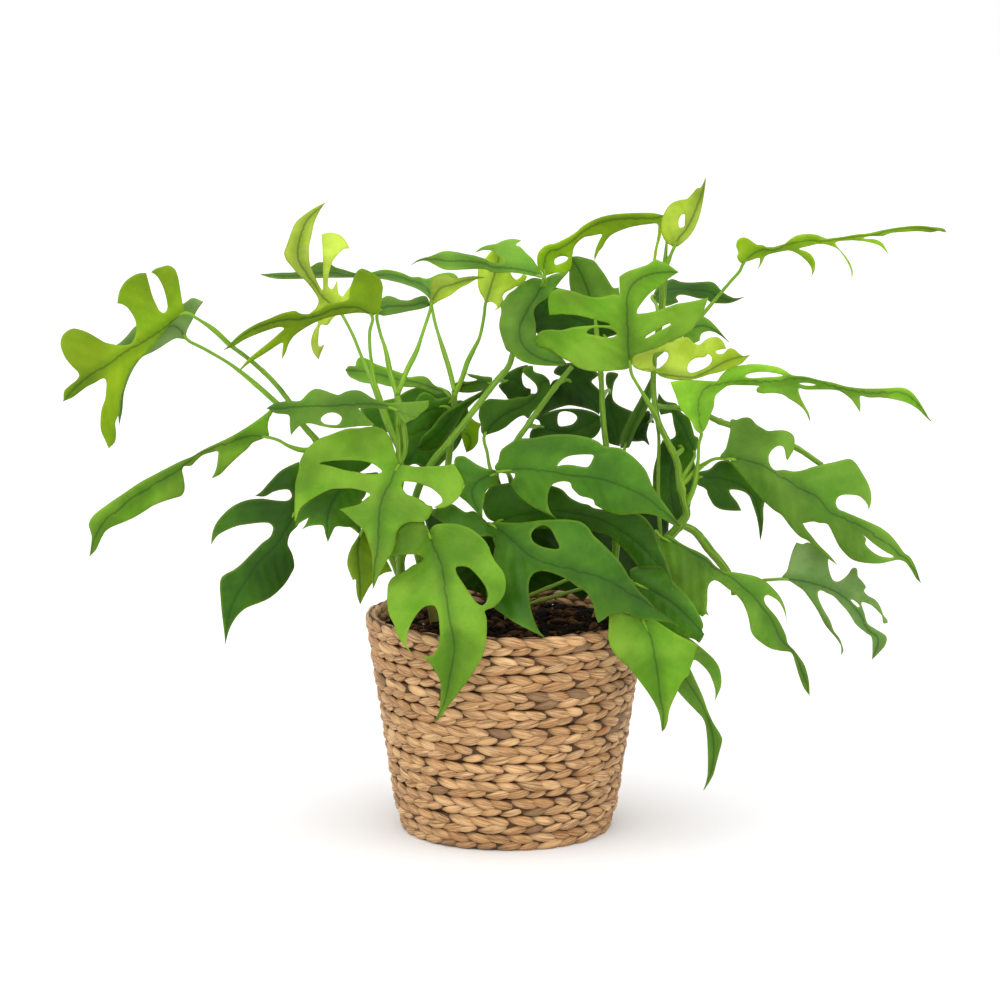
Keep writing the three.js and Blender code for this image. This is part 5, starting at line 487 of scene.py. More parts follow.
stalk -17.2,409.4,10 -1.5,-9.6,-2 -2.8,-11.5,-2 -3.9,-7.7,-2 -5.4,-11.1,-2 -4.2,-12.3,0 -5,-15.2,2
rib -16.6,415.6,12 2.6,8.4,0 3,10,-2 3,10,-2 2,9,-2 0,9,-2
edge -17.7,420 -2.9,4.8 -1.9,5.8 -0.2,7.7 0.2,4.8 2.5,5.9 3.7,4 4.3,5 6,4! 4,-4 2,-8 3,-7 1,-3
  2,-3 2.5,-1.5 2.5,1.5 3,3 3,-1.7! -2,-4.3 -4,-3 -3.7,-1.4 -2.9,-1.9 -4.8,-2.4 -2.4,-3.4 0.8,-3.9
  -2,-4 -3.5,-2.5 -2,-0.6! 2.4,2.9 -1.9,2.4 -2.4,1.4 -2.4,0
leaf_top_drooping mid 0.1 0.003 1
stalk 28,430,-4
rib 30.5,435.6,-10 -4.5,-9.6,-8 -9,-16,-10 -6,-14,-6 3,-13,-4 13,-10,-4 22.2,-5.4,-4
edge 22,437 -7,-3 -4,-2.5 -3.7,-3.5 -5.8,-4.2 -2.8,-4.3 -2.9,-3.3 0.4,-6.8 -1.4,-6.7 -0.2,-5.8
  1.6,-6.7 2,-5.8 1.9,-4.8 3.8,-2.9 4.4,-3.7 4,-2.5 6.2,-2.2 6.1,-1.1 8.2,-0.6 10.2,0 6.2,1!
  -5.2,6.4 -5,4.5 -6.2,3.5 -6.8,4 -2,7 0,6 -1,5 -0.8,5 1.8,5 4.5,4 4.3,2.5 3.2,3.5 4,5.6 5,6.4
  5.1,5.6! -6.3,-0.6 -4.8,-0.8 -4,-1.6
leaf_top_behind mid 0 0.002 1
stalk 72,398,14 1,-18,-4
rib 70,412,18 -4,13,-2 -5,13,-2 -5,9,-2 -4.9,6.7,-2
edge 60,412 -6,8 -3,10 -0.5,11 0.6,12.7! 6.2,0.6 6,-1.3 7.3,-2.4 3.6,-4.3 4.9,-6.7 3.6,-6 3.3,-4.6
  4.3,0.3! 0,-9.3 -8.3,-7
leaf_top_hand light 0 0.0022 1
stalk 100.5,360,-48 6.5,-11.5,6 9.8,-16.5,12 7.2,-12,15
rib 99.5,366,-52 -1.5,14,-6 -0.5,15,-4 -0.5,15,-4 0.5,13,-3 4.5,9,-1 10,6.5,-2 13,2.5,-2
  13.1,0.5,-2
edge 97.4,364.2 -9.8,-1.3 -12.2,-0.9 -10.9,0.9 -7.3,2.5 -6.1,4.2 -4.9,2.4 -5.2,3.6 -4.1,3.3 -6.1,2
  -4.6,1.1 -2.4,2.4 0.6,3.5 0.2,3.3 3.9,3.3 6.7,1 9.6,-0.3 6.7,1.7 7.7,1.2 4.1,0.3 7.3,0.6 8.5,0
  4.9,0.2 -2.5,1.6 -6.1,1.5 -6,1.7 -7.4,1.9 -6,1.3 -6.1,0.2 -5.1,0.6 -4.8,-0.4 -5.3,-0.4! -0.5,4.1
  -0.6,7.7 1.1,3.9 2.8,3.6 5.4,2 4.8,-1 6.7,-1.5 8.9,-3.2 9.7,-1.5 8.5,1.3 4.9,1.2 3.9,-0.8
  0.5,8.1 -0.2,6.7! 3.1,2.4 4.9,2.5 7.3,2.4 7.3,2.5 6.7,4.2 3,-1.2 6.1,-2.4 9.1,-6.7! -9.1,-6.1
  -6.1,-5.5 -4.8,-3 -4.9,-4.3 -4.9,-6.1 -2.4,-3.6 -1.2,-4.1 4.8,-0.2 8.6,1.4 9.7,3 9.7,3.3 8.6,1.3
  8.5,1.8 7.3,1.7! -1.8,-4.6 -1.9,-5.5 -3,-5.5 -3.1,-4.8 -3.6,-5.5 -6.1,-3.7 -7.3,-3.6 -6.1,-3.1
  -6.1,-3 -9.7,-3.6 -7.3,-1.9 -4.3,-2.8 -0.8,-5.5
hole 64.5,392.8 1.8,2.8 5.5,1.4 8.5,-0.2 6.1,-2.2 2.4,-2.6 -2.4,-2.1 -6.1,-0.8 -7.3,1.6
hole 111.4,388.6 0.6,1.4 9,5.6 10.5,5 0.3,-1 -10.3,-5.8
leaf_arched lime -0.5 0 1.25
stalk 29.6,430,0
rib 31,438.6,-6 0,9.4,2 3,9,1 9,3.4,0 9,5.6,0 10,7.5,0 13,7,1 15,3,2 18,1,2 11,0.1,2 7.3,1.9,1
edge 28.5,442.1 -2.9,3.9 -0.8,4.8 0.8,5.7 3.8,4.8 4.8,2.5 4.8,0.6 5.8,2.7 5.8,2.9 5.7,3.8 4.5,4.2
  8.6,5.1 9.7,3.4 9.7,1.6 11,0.7 9.7,0.3 8.6,-0.3 4.8,-1.1 3.4,-1.2! -1.1,-4.5 -0.6,-5 -0.4,-5.5
  -2.7,-9.9 -1.6,-9.6 -2.7,-5.5! 1.4,11.5 2,9 1.1,8 -0.5,5 -8,-0.2 -7.3,-1 -6.1,-1.2 -6.1,-2
  -4.9,-1.9 -4.8,-2.7 -3.7,-4 -3,-5.5 -3.1,-3.6 -1.8,-3.6 -1.5,-3.9! -0.3,3.9 1.4,6 2.2,5.5
  2.7,6.1 -3.9,-0.4 -6.1,-1.2 -4.2,-0.8 -4.3,-3.1 -3.1,-3.6 -1.6,-3.7 -0.2,-2.6 -0.7,-2.6
  -0.1,-4.9 -1.2,-5 -2,-2.5 -5.5,-0.5 -4,0 -5,-1.4
hole 39,447.9 0,3.8 3.9,2.3 4.6,0.2 2.3,-1.2 -1.3,-2.2 -4.7,-2.4 -3.8,-1
leaf_young_top fresh 0.3 0.004 0.9
stalk 131.4,454.3,-12 -4.2,-10.3,4
rib 134.5,461.2,-14 3.5,6.8,0 6,8,1 4.5,8,1 4.5,11,2 4,11,2 2.9,12.2,3
edge 132.1,462.8 -3.1,1.8 -2.4,3 -2.1,4.9 -0.3,4.9 0.4,6.1 1.8,4.8 3.2,5.5 4.3,3.7 6.1,2 4.8,0.7
  3.1,2.8 3,3.6 1.9,2.2 2.4,0.2 2.4,3.7 2.3,5.5! -0.4,-6.7 -1.3,-9.8 -1.8,-9.7 -2.4,-8.5 -3.1,-7.3
  -3.6,-5.5 -4.9,-4.9 -4.9,-3.6
hole 138.8,477.4 -0.7,4.9 2.5,5.2 2.4,0.4 0,-5.6 -0.6,-4.3
leaf_behind_top_right dark 0.8 0 1
stalk 120,416,32 3,-12,-22 1.5,-8,-13
rib 117,422,48 8,4,6 13,2.5,6 12,-1,6 12,-1.5,6 8,-4,4 8,-2.4,4 12.6,2.4,6
edge 121,429 8,5.5 4,1.5 7,-2.2 8.5,-0.6 8.5,0.6 7.3,0 3.7,-2.1 4.8,-5.5 4.9,-3.4 4.9,-1.7 3.6,0.2
  4.4,0.7! -5.6,-3.1 -6.1,-2.2 -8.5,-0.2 -6.1,0.6 -4.3,2.9 -5.4,0.4 -8.5,2.2 -4.9,0.8 -3.7,-0.6
  -1.4,-2 2,-3.1 -3,-1.2 -6.1,-2 -7.3,2
leaf_behind_hand mid 0.2 0 1.3
stalk 132,394,4 -10,-4,-8
rib 141,394,14 8,3,2 9,1.5,2 9,-3.5,2 11.9,-9.5,4
edge 143,400 7,3.5 5,1.5 3.2,1.2! 4.8,-3.2 6,-6 5,-6 4.9,-5.5! -6.5,4.8 -5.6,3.1 -5.5,0.8
  -4.9,-2.2 -1.6,-5.5! -6.8,-2.5 -5,3
leaf_yellow_right fresh 0.2 0.001 1
stalk 118.4,356,-13
rib 120,361.6,-20 10,-2.3,-4 10,-1.3,-3 10,-0.1,-2 12,4.7,-3 10,5.4,-3 12,4.8,-3 11,2.3,-2
edge 114.4,361.6 -7.3,1.6 -4.9,2.4 -1.8,3.4 1.2,5.5 4.3,1.8 7.3,1.9 4.9,1.6 4.8,3.8 4.9,1.6
  4.9,0.1 4.8,3.2 4.9,0.9 3.7,-0.3 2.9,-3.5 5.6,-2 4.9,3.7 3.6,1.8 3.7,0.6 3.6,-0.6 3.7,-3.6
  2.2,-5.3! -4.7,-0.6 -3.8,-1.6 1.2,-1.6 4.5,-0.2 2.8,2.6 2,1.8 4.3,-0.6 3.6,-3.1 3.7,-2.4
  5.1,0.6! -2.7,-3 -3.6,-3.7 -7.3,-3 -7.3,-3.1 -12.2,-3 -7.3,-2.5 -6.1,-1.4 -8.5,-0.4 -7.3,0.6
  -7.3,1.8 -3.7,2
hole 120.6,364.5 -2.8,2.7 -0.6,4.9 1.4,3.9 4.3,1.6 5.7,-0.2 1.4,-1.7 -1.4,-4.9 -3.2,-3.8 -2.8,-2.1
hole 146.5,361.5 -1.3,2.3 0.8,4 3,3.4 4,1.8 6.5,0.6 2,2.4 2.8,-2.1 0.3,-3.5 -3.2,-4 -6.8,-3.6
  -4.9,-1.6
leaf_long_right light -0.8 0 1.4
stalk 154.5,305,-11 -0.7,-13,2 -3.2,-21.7,1 -4.6,-16.3,0
rib 156.5,311.6,-12 -1.5,13.4,-2 0,15,-2 6,9,-2 11,3,-2 18,2,-2 15,0,-1 14,0.6,-1 9,1.4,-1
  12,-0.4,-1 10,-2,-2 12,-3.1,-2 13,-3,-2 15,-2.5,-2 15,0,-2 13,-1,-2 10,-7,-3 11.5,-15.2,-3
edge 151.7,314.9 -3.6,7.2 -5,5.8 -4.3,5.8 -2.9,8.6 -2.9,7.2 -1.5,4.3! 8.5,1.2 8.8,0.2 14.5,-0.8
  5.7,0 1.5,2.3 4.3,5.1 5.8,3.6 8.6,1.7 10.1,0.9 10.1,-0.9 8.7,-1.7 5.7,-2.9 5.1,-3.3 10.8,-1.3
  10.1,-2.6 11.6,-2.2 10,-2.9 14.5,-1.7 14.4,0 17.3,0.6 5.8,-2.5 4.3,-4.3 4.3,-6.5 4.4,-7.9
  3.1,-6.1! -4.6,4.6 -5.8,5.8 -7.2,4.3 -10.1,2.9 -11.5,1.8 -10.1,0 -6.7,1.2 0.2,-7.3 -0.4,-5.8!
  -3.2,5.1 -3.6,5 -5.1,4.3 -4.3,2.6 -5.7,1.1 -11.6,0.2 -10.1,0 -5.4,0.8 1.1,-6.1 4.3,-8.6 2.9,-5.8
  1.2,-7.5! -1.9,4.6 -3.6,6.5 -5.8,5 -5.8,3.6 -5.7,3.6 -7.3,1.1 -8.6,-0.3 -4.6,1.4 0.3,2.9 2.2,1.4
  -13.8,0.8 -11.5,-0.5 -5.8,-3.9 -4.3,-4.3 -1.4,-8.6 -2.9,-7.3 -2.2,-7.2
hole 191.5,358.2 2.1,1.8 10.1,1.7 10,-0.7 8.3,-2.1 -2.5,-0.7 -13,-0.9 -11.5,-0.5
hole 234.5,352.6 6.7,0.3 7.1,-1.7 -8.6,-0.4
leaf_right_inner deep 0.2 0.002 1
stalk 148,288,4 -4,-12,-12
rib 151,296,12 -5,12,2 -5,11,2 -9,13,4 -7,6,3 -3,7,3
edge 148.5,285.4 -7.7,-3.3! -1.1,7.6 -1.7,3.3 -5,8 -2.5,6.2! 5,3.3 -1.5,9.8 -1.9,8.7 -2.1,-0.5
  -6.1,-1.2! -2.9,7.7 1,10! 5.5,-6.5 9,-2.3 3.5,-6.2 6.3,-5.4 3.2,-8.7 1.7,-5.4 2.7,-1.1!
  -0.5,-6.6
leaf_right mid 0.1 0.001 1
stalk 175,292.5,-14 -8.7,-0.6,4 -5,-2.5,4 -5.3,-3.4,4 -12.5,-13,-6
rib 179.5,291.9,-16 10.5,-0.9,-3 15,-4.5,-4 15,-8.5,-4 15,-9,-4 15,-9,-4 10,-10.4,-4 12,-5.8,-4
  12,-5.8,-4 12,-8,-4 10,-7,-3 9,-7.4,-3 7,-6.2,-2 10,-16.3,-3
edge 171.3,293.8 4.3,6.2 1.9,6.3 1.9,9.3 0.6,8.2 4.4,-0.4 4.4,1.6 5,0.3 3.1,-1.5 3.1,-3.8 5,-3.1
  4.4,-2.3 6.9,0.4 6.2,0 5,-1.9 2.9,-3.1 0.6,-6.2 -1,-5 -2.5,-4.4 -2.5,-3.8! -1.2,3.2 -0.7,5
  -1.8,3.3 -3.2,0.4 -4.3,-2.5 -3.2,-4.4 -0.2,-5 2.1,-5 3.1,-2.5 6.9,0.4 7.5,-1.4 7.5,1 7.5,2.5
  8.8,2.2 8.7,1.8 12.5,2.5 3.8,-2.1 3.7,-5 3.8,-6.2 3.7,-6.9 2.1,-6.9 0.2,-6.2 -2,-8.2! -0.9,4.4
  -3.1,4.4 -3.8,2.9 -7.5,1.1 -6.2,-0.3 -3.8,-2.5 -1,-4.3 2.3,-4.4 3.7,-1.6 11.3,-4.7 10,-4.3
  8.7,-4.2 7.5,-5.8 6.3,-7.5 5,-6.9 4.3,-3.1 4.4,-7.5 4.5,-13.2! -3.2,2.5 -5,8.2 -4.4,5.6 -4.9,1.8
  -5.7,-0.8 -8.8,-2 -12.5,0.4 -10,2.5 -6.2,5 -5,6.2 -3.8,7.5 -3.7,7.5 -1.9,2.5 -6.9,0.9 -3.7,1
  -8.8,-1.5! 2.5,-4.1 5,-6.3 5,-6.2 10,-10 5.6,-6.9! -6.8,4.7 -8.8,7.6 -8.1,7.1 -6.9,3.7 -6.2,6.3
  -8.8,11.2 -5,3.1 -10,8.8 -5,5.6 -7.5,8.8 -7.5,10 -5,5.6
hole 286,231 7.8,-6.5 8.7,-6.1 8,-4.8 -10.5,0.6 -8.2,5 -4.3,5.2 0.7,3.6
leaf_right_behind dark 0.1 0.002 1
stalk 150,268,4 -5,-12,-10
rib 153.5,277,8 11.5,0,2 13,-2,2 12,-5,2 8,-9,2 4,-11,1 2,-12,1 -0.5,-11.5,0
edge 153.8,281.3 8.7,2.5 7.5,6.2 8.8,0.6 7.2,-7.6 9,-8 8,-8 4,-7 -1,-7.5 0,-10 -1,-10 -1.5,-6!
  -1.6,12.3 -1.9,8.7 -2.5,7.5 -3.1,7.5 -5.6,3.8 -10,0.8 1.2,-3.3 5,-6.3 3.5,-6.9! -8.5,0 -8.7,1.3
  -5,3.1 -2.5,3.8 -2.5,5 -0.7,3.1 -3.1,2.5 -4.7,2.4
leaf_grey_right grey 0.1 0.001 1
stalk 212,195.4,-16 -5.8,-0.4,4 -14.2,-3,14 -15,2,10
rib 221.5,196,-20 13.5,-1.5,-4 13,-3,-4 12,-4.1,-4 10,-5.8,-3 7,-6.6,-2 7,-9,-3 5.5,-10,-3 8,-8,-3
  -4.3,-16.5,-4
edge 220.8,197.6 3.8,4.7 1.9,6.9 2.7,9.3 3.1,6.9! 2.3,-0.8 3.1,-0.6 3.8,1.4 8.5,-4.6 8.4,-6.8!
  -0.6,-4.8 0.7,-5.4 1.5,-5.3 2.3,-3.9 3.1,-0.6 3.8,1.8 4.6,4.2 3.1,4.6 3.1,0.4 1.2,-1.9 0.3,-4.6
  3.9,-4.7 2.7,-4.6 -1.6,-2.3 2.7,-3.8 6.2,-3.5 3.8,-5 3.1,-7.7 3.1,-3.8 0,-2.3! -3.5,-0.4
  -1.1,5.8 -5.4,6.1 -3.9,3.1 -6.9,1.9 -0.2,-1.5 2.5,-7.3 2.3,-7.7 6.2,-4.6 8.4,-5.4 1,-3.1
  -1.7,-5.4 -3.9,-4.6 -6,-6.2! 0,8.5 -0.9,9.6 -4.6,3.5 -7.7,6.5 -6.2,9.6 -6.1,7 -5.4,5.7 -5.4,2.7
  -5.4,2.3 -1.9,-1.5 0.8,-5.4 3.4,-7.7 5.4,-9.2 3.1,-8.5 4.6,-6.1 2.3,-6.2 0.8,-3.8 -1.9,-3.7!
  -0.1,7.5 -3.1,5.4 -5.5,6.5 -4,5 -6.2,11.6 -6.1,9.2 -5.4,6.9 -5.4,3.9 -5.4,3.4
hole 275.8,179.4 1.6,0 5.6,-5 -0.6,-1.2 -3.4,2.4
leaf_low_right mid 0.1 0.001 1
stalk 120,234,-18 3,-10,14
rib 124.5,229,-34 15.5,-7,-6 15,-8.6,-5 15,-10.4,-4 15,-10,-4 15,-14,-4 12,-16,-3 9.5,-16,-2
  7.5,-8.8,-2 7,-14.2,-3 7.1,-21.4,-3
edge 128,231.6 3.8,-1.1 7.2,-5.1 7.2,-4.1 7.1,-3.1 8.2,-5.1 6.2,-6.7 6.1,-3.8 8.3,-1 10.2,-1.7
  8.2,-2 7.2,-3.8 6.1,-5.6 5.2,-6.2 3.1,-6.1 2,-7.2 0.5,-8.2! -1,6.1 -2.6,6.7 -3.1,4.6 -5.1,3.6
  -4.1,1.3 -2,-1.8 0.5,-4.1 4.6,-6.2 5.1,-6.1 4.1,-7.2 3.1,-7.2 1.5,-6.1 4.8,-5 4,-5.3 4.1,-6.2
  2.5,-7.1 1.6,-8.2 0.5,-10! -4.6,5.9 -4.1,10.2 -3.1,10.3 -3.1,7.9 -8.2,1.5 -8.2,1.9 -8.2,5.1
  -5.1,4.6 -2.6,4.6 -1.3,7.2 -1.8,7.2 -3.6,8.2 -4.1,5.1 -3.6,2.9 -5.6,4.3 -6.2,4.6 -3,0.8
  -3.6,-2.3 -1.6,-4.1 -0.3,-10.3 -0.5,-7.2 1.9,-4.6! -3.1,1.5 -2.1,-2.2 -3,2.2 -4.4,4.1 -6,4 -7,6
  -6,8 -5,12 -5,12 -1,10
leaf_right_shade deep 0.1 0 1
stalk 98,196,-40 -10,4,48
rib 104,192,-62 14,-6,-5 14,-8.4,-6 14,-12.6,-5 12.5,-13.5,-4
edge 100,197 -1,6 7,3.4 7,0.2 8,-0.2 7,-3.8 6,-8.6 6,-6 8,-9 7,-12 3,-8.5 -1,-3.5 1.5,-3.5!
  -1.1,-2.5 -3,-4.1 -3.1,2.5 -10.3,3 -10.2,4 -7.2,3.6 -6.6,4 -7,6 -6,10 -3,8
leaf_low_front_right light 0 0.0012 1
stalk 107,170,-80 -5,10,30 -12,8,58
rib 109.2,163.6,-92 6.6,-15,-3 3.2,-15.3,-3 2.2,-14.1,-2 2.2,-16.4,-1 2.4,-16.8,-1 -1.1,-12.4,-1
edge 104.9,164.9 -7.7,2.4 -5.4,1.5 -5.5,-0.8 -3.8,-1.4! -0.3,-9.3 -0.4,-7.6 1.8,-7.7 3.8,-6.5
  6.6,-6.5 6.5,-6.6 6.6,-8.7 6.5,-8.7 5.4,-8.7 3.3,-7.6 1.6,-7.7 0.8,-7.4! 2.5,2.5 2.2,6 1.1,7.6
  2.7,7.7 4.1,8.7 2.4,5.4 3.1,4.4 3.5,3.3 1.3,5.4 2.5,7.1 1.6,6 2,5.4! -7.4,3.9 -8.7,4.3 -8.8,5.5
  -8.7,5.6 -6.1,1.2
leaf_low_hanging_right mid 0.1 0.001 1
stalk 108,172,-56 -7,10,28 -11,10,38
rib 112,163,-70 12,-15,-3 12,-18,-3 10,-17,-2 9.5,-16,-2 6.5,-15,-1 4,-16,-1 -1.5,-21,-1
  -6,-18.2,-1
edge 118,164 6,-1.2 6,-4.8 10,-5.5 7,-4 7,-5.4 6.4,-5.4 6.6,-6.5 3.8,-6.6 1.6,-8.7 -0.5,-6.5
  -2.7,-6.6 -1.9,-4.3! 0.2,7.6 -1.6,6.5 -3.3,7.7 -5.4,6.5 -6.8,4.4 -4.4,-4.2 2,-4 4.8,-10.4
  4.4,-9.8 4.3,-12 4.4,-9.8 5.4,-8.7 1.7,-4.3 -0.6,-4.4 -2.1,-7.6 -2.2,-8.7 -2.2,-7.7 -3.3,-6.5
  -4.1,-6.3! 2.5,10.6 0.5,10.9 -0.2,10.9 -0.6,10.9 -1.3,9.8 -2.2,4.9 -4.4,4.9 -6.5,6.6 -8.7,9.8
  -5.6,8.9 -10,17 -10,18
leaf_far_right_top lime -0.6 0 1.4
stalk 186.9,442.1,0 -5.5,-6.1,2 -7.3,-8.5,2 -7.3,-8.6,2 -6.1,-7.3,0 -10.7,-11.6,-2 -14,-12,-4
  -16,-14,-8
rib 190,448.6,-2 6,6,-1 9,4.4,-2 9,0.6,-2 12,3.4,-3 14,3,-3 14,0.4,-3 10,1.2,-2 16,2.2,-3
  15,1.8,-3 11,2.6,-2 14,1.8,-2 15,0.2,-3 17.1,-3.3,-3
edge 187.7,449 -2.3,2.9 -0.6,2.3 1.2,2.9 -1.8,4.6 0.6,4.6 2.9,2.7 4.6,0 4.6,-2.7 4.1,-2.8 4.6,-0.3
  4,-2.2 6.9,0.4 5.8,2.3 4.6,3.8 4.6,2.9 5.8,1.5 6.9,0.2 5.8,-1.1 4.6,-2 4.6,-1 11.6,1.8 8,1.6
  11.6,1.2 10.4,2.4 10.4,1.8 9.2,1.2 10.4,0.7 9.2,-1 11,-1.8 1.1,-3! -5.2,1.3 -6.9,-0.9 -9.2,0.9
  -11.6,-0.5 -11.5,-1.1 -6.4,-2.2 -10.9,-0.5 -4.6,-1.3 10.4,-1.1 5.1,-2.9 2.9,-4.6 2.1,-4.6!
  -6.7,6.9 -9.2,3.2 -9.2,1.2 -7,0.1 -10.7,-1.8 2.7,-4.4 5.7,-6.4 4.1,-6.9 1.6,-5.8 -1.1,-6.3!
  -0.3,6.3 -2,5.8 -4,6.9 -5.2,6 -8.1,3.3 -6.9,0.5 -8.1,-1.7 -7.5,-2.1 5.2,-1.9 4.6,-2.9 2.9,-5.2
  0,-6.4 -3.2,-7.2! 0.9,4.9 -1.1,4.7 -4.1,5.1 -5.8,4.7 -6.9,2.8 -8.1,-1.1 -9.2,-2.3 -2.6,-1.8
  -1.8,-4 -4.2,-6.9! 2.1,6.9 -0.2,3.3 -6,-1.6"""


class Leaf:
    """A blade and its stalk, from its lines of the table."""

    def __init__(self, heading, stalk, rib, edge, *holes):
        self.name, self.tone, *numbers = heading
        self.lean, self.curl, self.light = (float(number) for number in numbers)
        self.stalk, _ = walked(stalk)
        self.rib, _ = walked(rib)
        self.edge = outline(*walked(edge), start=self.rib[0, :2])
        self.holes = [outline(*walked(hole)) for hole in holes]


def walked(line):
    """The points of a line of steps, to a tenth of a millimetre, and which of them are sharp."""
    words = line[1:]
    steps = [[float(number) for number in word.rstrip("!").split(",")] for word in words]
    return np.round(np.cumsum(steps, axis=0), 1), [word.endswith("!") for word in words]


def read_leaves(table):
    """A line that is indented goes on with the line before it."""
    blocks = []
    for line in table.replace("\n  ", " ").split("\n"):
        if line.startswith("leaf_"):
            blocks.append([])
        blocks[-1].append(line.split())
    return [Leaf(*block) for block in blocks]


# Curves

def sighted(points):
    """True places, in millimetres, of points given as [across, up, behind]."""
    rise = points[:, 1] - SIGHT_CENTRE_UP
    ray = np.stack([
        points[:, 0] - EYE[0],
        math.cos(SIGHT_DROP) * SIGHT_LENGTH + math.sin(SIGHT_DROP) * rise,
        -math.sin(SIGHT_DROP) * SIGHT_LENGTH + math.cos(SIGHT_DROP) * rise,
    ], axis=1)
    return EYE + ray * ((points[:, 2] - EYE[1]) / ray[:, 1])[:, None]


def spline(knots, per_span):
    """Points of a centripetal Catmull-Rom curve through the knots."""
    ends = np.vstack([2 * knots[0] - knots[1], knots, 2 * knots[-1] - knots[-2]])
    out = [knots[:1]]
    share = np.linspace(0, 1, per_span + 1)[1:, None]
    for p0, p1, p2, p3 in zip(ends, ends[1:], ends[2:], ends[3:]):
        gap = max(np.linalg.norm(p2 - p1) ** 0.5, 1e-4)
        before = np.linalg.norm(p1 - p0) ** 0.5 or gap
        after = np.linalg.norm(p3 - p2) ** 0.5 or gap
        m1 = ((p1 - p0) / before - (p2 - p0) / (before + gap) + (p2 - p1) / gap) * gap
        m2 = ((p2 - p1) / gap - (p3 - p1) / (gap + after) + (p3 - p2) / after) * gap
        out.append(
            (2 * share ** 3 - 3 * share ** 2 + 1) * p1
            + (share ** 3 - 2 * share ** 2 + share) * m1
            + (3 * share ** 2 - 2 * share ** 3) * p2
            + (share ** 3 - share ** 2) * m2
        )
    return np.vstack(out)


def distances(path):
    """The length along a path up to each of its points."""
    steps = np.linalg.norm(np.diff(path, axis=0), axis=1)
    return np.concatenate([[0], np.cumsum(steps)])


def sampled(field, along, wanted):
    """A field known at lengths along a path, read off at the wanted lengths."""
    return np.stack([np.interp(wanted, along, column) for column in field.T], axis=-1)


def respaced(points, count):
    along = distances(points)
    return sampled(points, along, np.linspace(0, along[-1], count))


def length_of(points):
    return float(np.linalg.norm(np.diff(points, axis=0), axis=1).sum())


def smoothstep(low, high, x):
    x = np.clip((x - low) / (high - low), 0, 1)
    return x * x * (3 - 2 * x)


def turned(sides):
    """The angles of the corners of a ring."""
    return np.arange(sides) * 2 * math.pi / sides


def circled(reach, angle, height):
    """Points at a distance from the pot's axis."""
    height = np.broadcast_to(height, angle.shape)
    return np.column_stack([reach * np.cos(angle), reach * np.sin(angle), height])


def outline(points, corners, start=None):
    """A closed edge as points a step apart: smooth, but for its base and its sharp points."""
    if start is not None:
        points = np.vstack([start, points])
        corners = [True] + corners
    if not any(corners):
        loop = spline(np.vstack([points[-2:], points, points[:2]]), EDGE_SPAN)
        loop = loop[2 * EDGE_SPAN:-EDGE_SPAN]
        return respaced(loop, max(8, int(length_of(loop) / EDGE_STEP)))[:-1]
    first = corners.index(True)
    corners = corners[first:] + corners[:first]
    points = np.roll(points, -first, axis=0)
    ends = [i for i, sharp in enumerate(corners) if sharp] + [len(points)]
    points = np.vstack([points, points[:1]])
    out = []
    for a, b in zip(ends, ends[1:]):
        run = points[a:b + 1]
        if len(run) > 2:
            run = spline(run, EDGE_SPAN)
        count = max(2, int(round(length_of(run) / EDGE_STEP)) + 1)
        out.append(respaced(run, count)[:-1])
    return np.vstack(out)


# Meshes

class Shape:
    """Vertices, faces, material slots and two vectors a point, gathered piece by piece.

    The mark of a point holds its length along its piece, its place across and a third number.
    Its tint holds painted lightness and distance to the edge on a blade, and how far out a stalk
    of the plait lies, which sets its painted shade, and how old it is on the basket.
    """

    def __init__(self):
        self.vertices = []
        self.marks = []
        self.tints = []
        self.faces = []
        self.slots = []
        self.count = 0

    def add(self, vertices, groups, marks=None, slot=0, tints=None):
        """Each group is an array of faces that all have the same number of corners."""
        points = np.reshape(vertices, (-1, 3))
        self.vertices.append(points)
        self.marks.append(np.zeros(points.shape) if marks is None else np.reshape(marks, (-1, 3)))
        self.tints.append(np.ones(points.shape) if tints is None else np.reshape(tints, (-1, 3)))
        for group in groups:
            self.faces.append(np.asarray(group, dtype=np.int32) + self.count)
            self.slots.append(np.full(len(group), slot, dtype=np.int32))
        self.count += len(points)

    def build(self, name, materials):
        """One object, from millimetres."""
        sizes = np.concatenate([np.full(len(faces), faces.shape[1]) for faces in self.faces])
        corners = np.concatenate([faces.ravel() for faces in self.faces])
        starts = np.concatenate([[0], np.cumsum(sizes)[:-1]])
        mesh = bpy.data.meshes.new(name)
        mesh.vertices.add(self.count)
        places = np.vstack(self.vertices).astype(np.float32) * MM
        mesh.vertices.foreach_set("co", places.ravel())
        mesh.loops.add(len(corners))
        mesh.loops.foreach_set("vertex_index", corners.astype(np.int32))
        mesh.polygons.add(len(sizes))
        mesh.polygons.foreach_set("loop_start", starts.astype(np.int32))
        mesh.polygons.foreach_set("material_index", np.concatenate(self.slots))
        mesh.polygons.foreach_set("use_smooth", np.ones(len(sizes), dtype=bool))
        mesh.update(calc_edges=True)
        mesh.validate()
        for key, values in (("place", self.marks), ("tint", self.tints)):
            layer = mesh.attributes.new(key, "FLOAT_VECTOR", "POINT")
            layer.data.foreach_set("vector", np.vstack(values).astype(np.float32).ravel())
        for material in materials:
            mesh.materials.append(material)
        shown = bpy.data.objects.new(name, mesh)
        bpy.context.collection.objects.link(shown)
        return shown


def enter(made, node):
    """A piece belongs to the only body and stands in for one solid."""
    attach(made, "root")
    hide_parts(node)


def carried_sides(path):
    """Two crosswise directions at each point, which turn as little as they can along a path."""
    tangents = np.gradient(path, axis=0)
    tangents /= np.linalg.norm(tangents, axis=1)[:, None] + 1e-12
    first = np.cross(tangents[0], [0.3, 0.9, 0.2])
    sides = [first / np.linalg.norm(first)]
    for tangent in tangents[1:]:
        side = sides[-1] - tangent * np.dot(sides[-1], tangent)
        sides.append(side / np.linalg.norm(side))
    sides = np.array(sides)
    return sides, np.cross(tangents, sides)


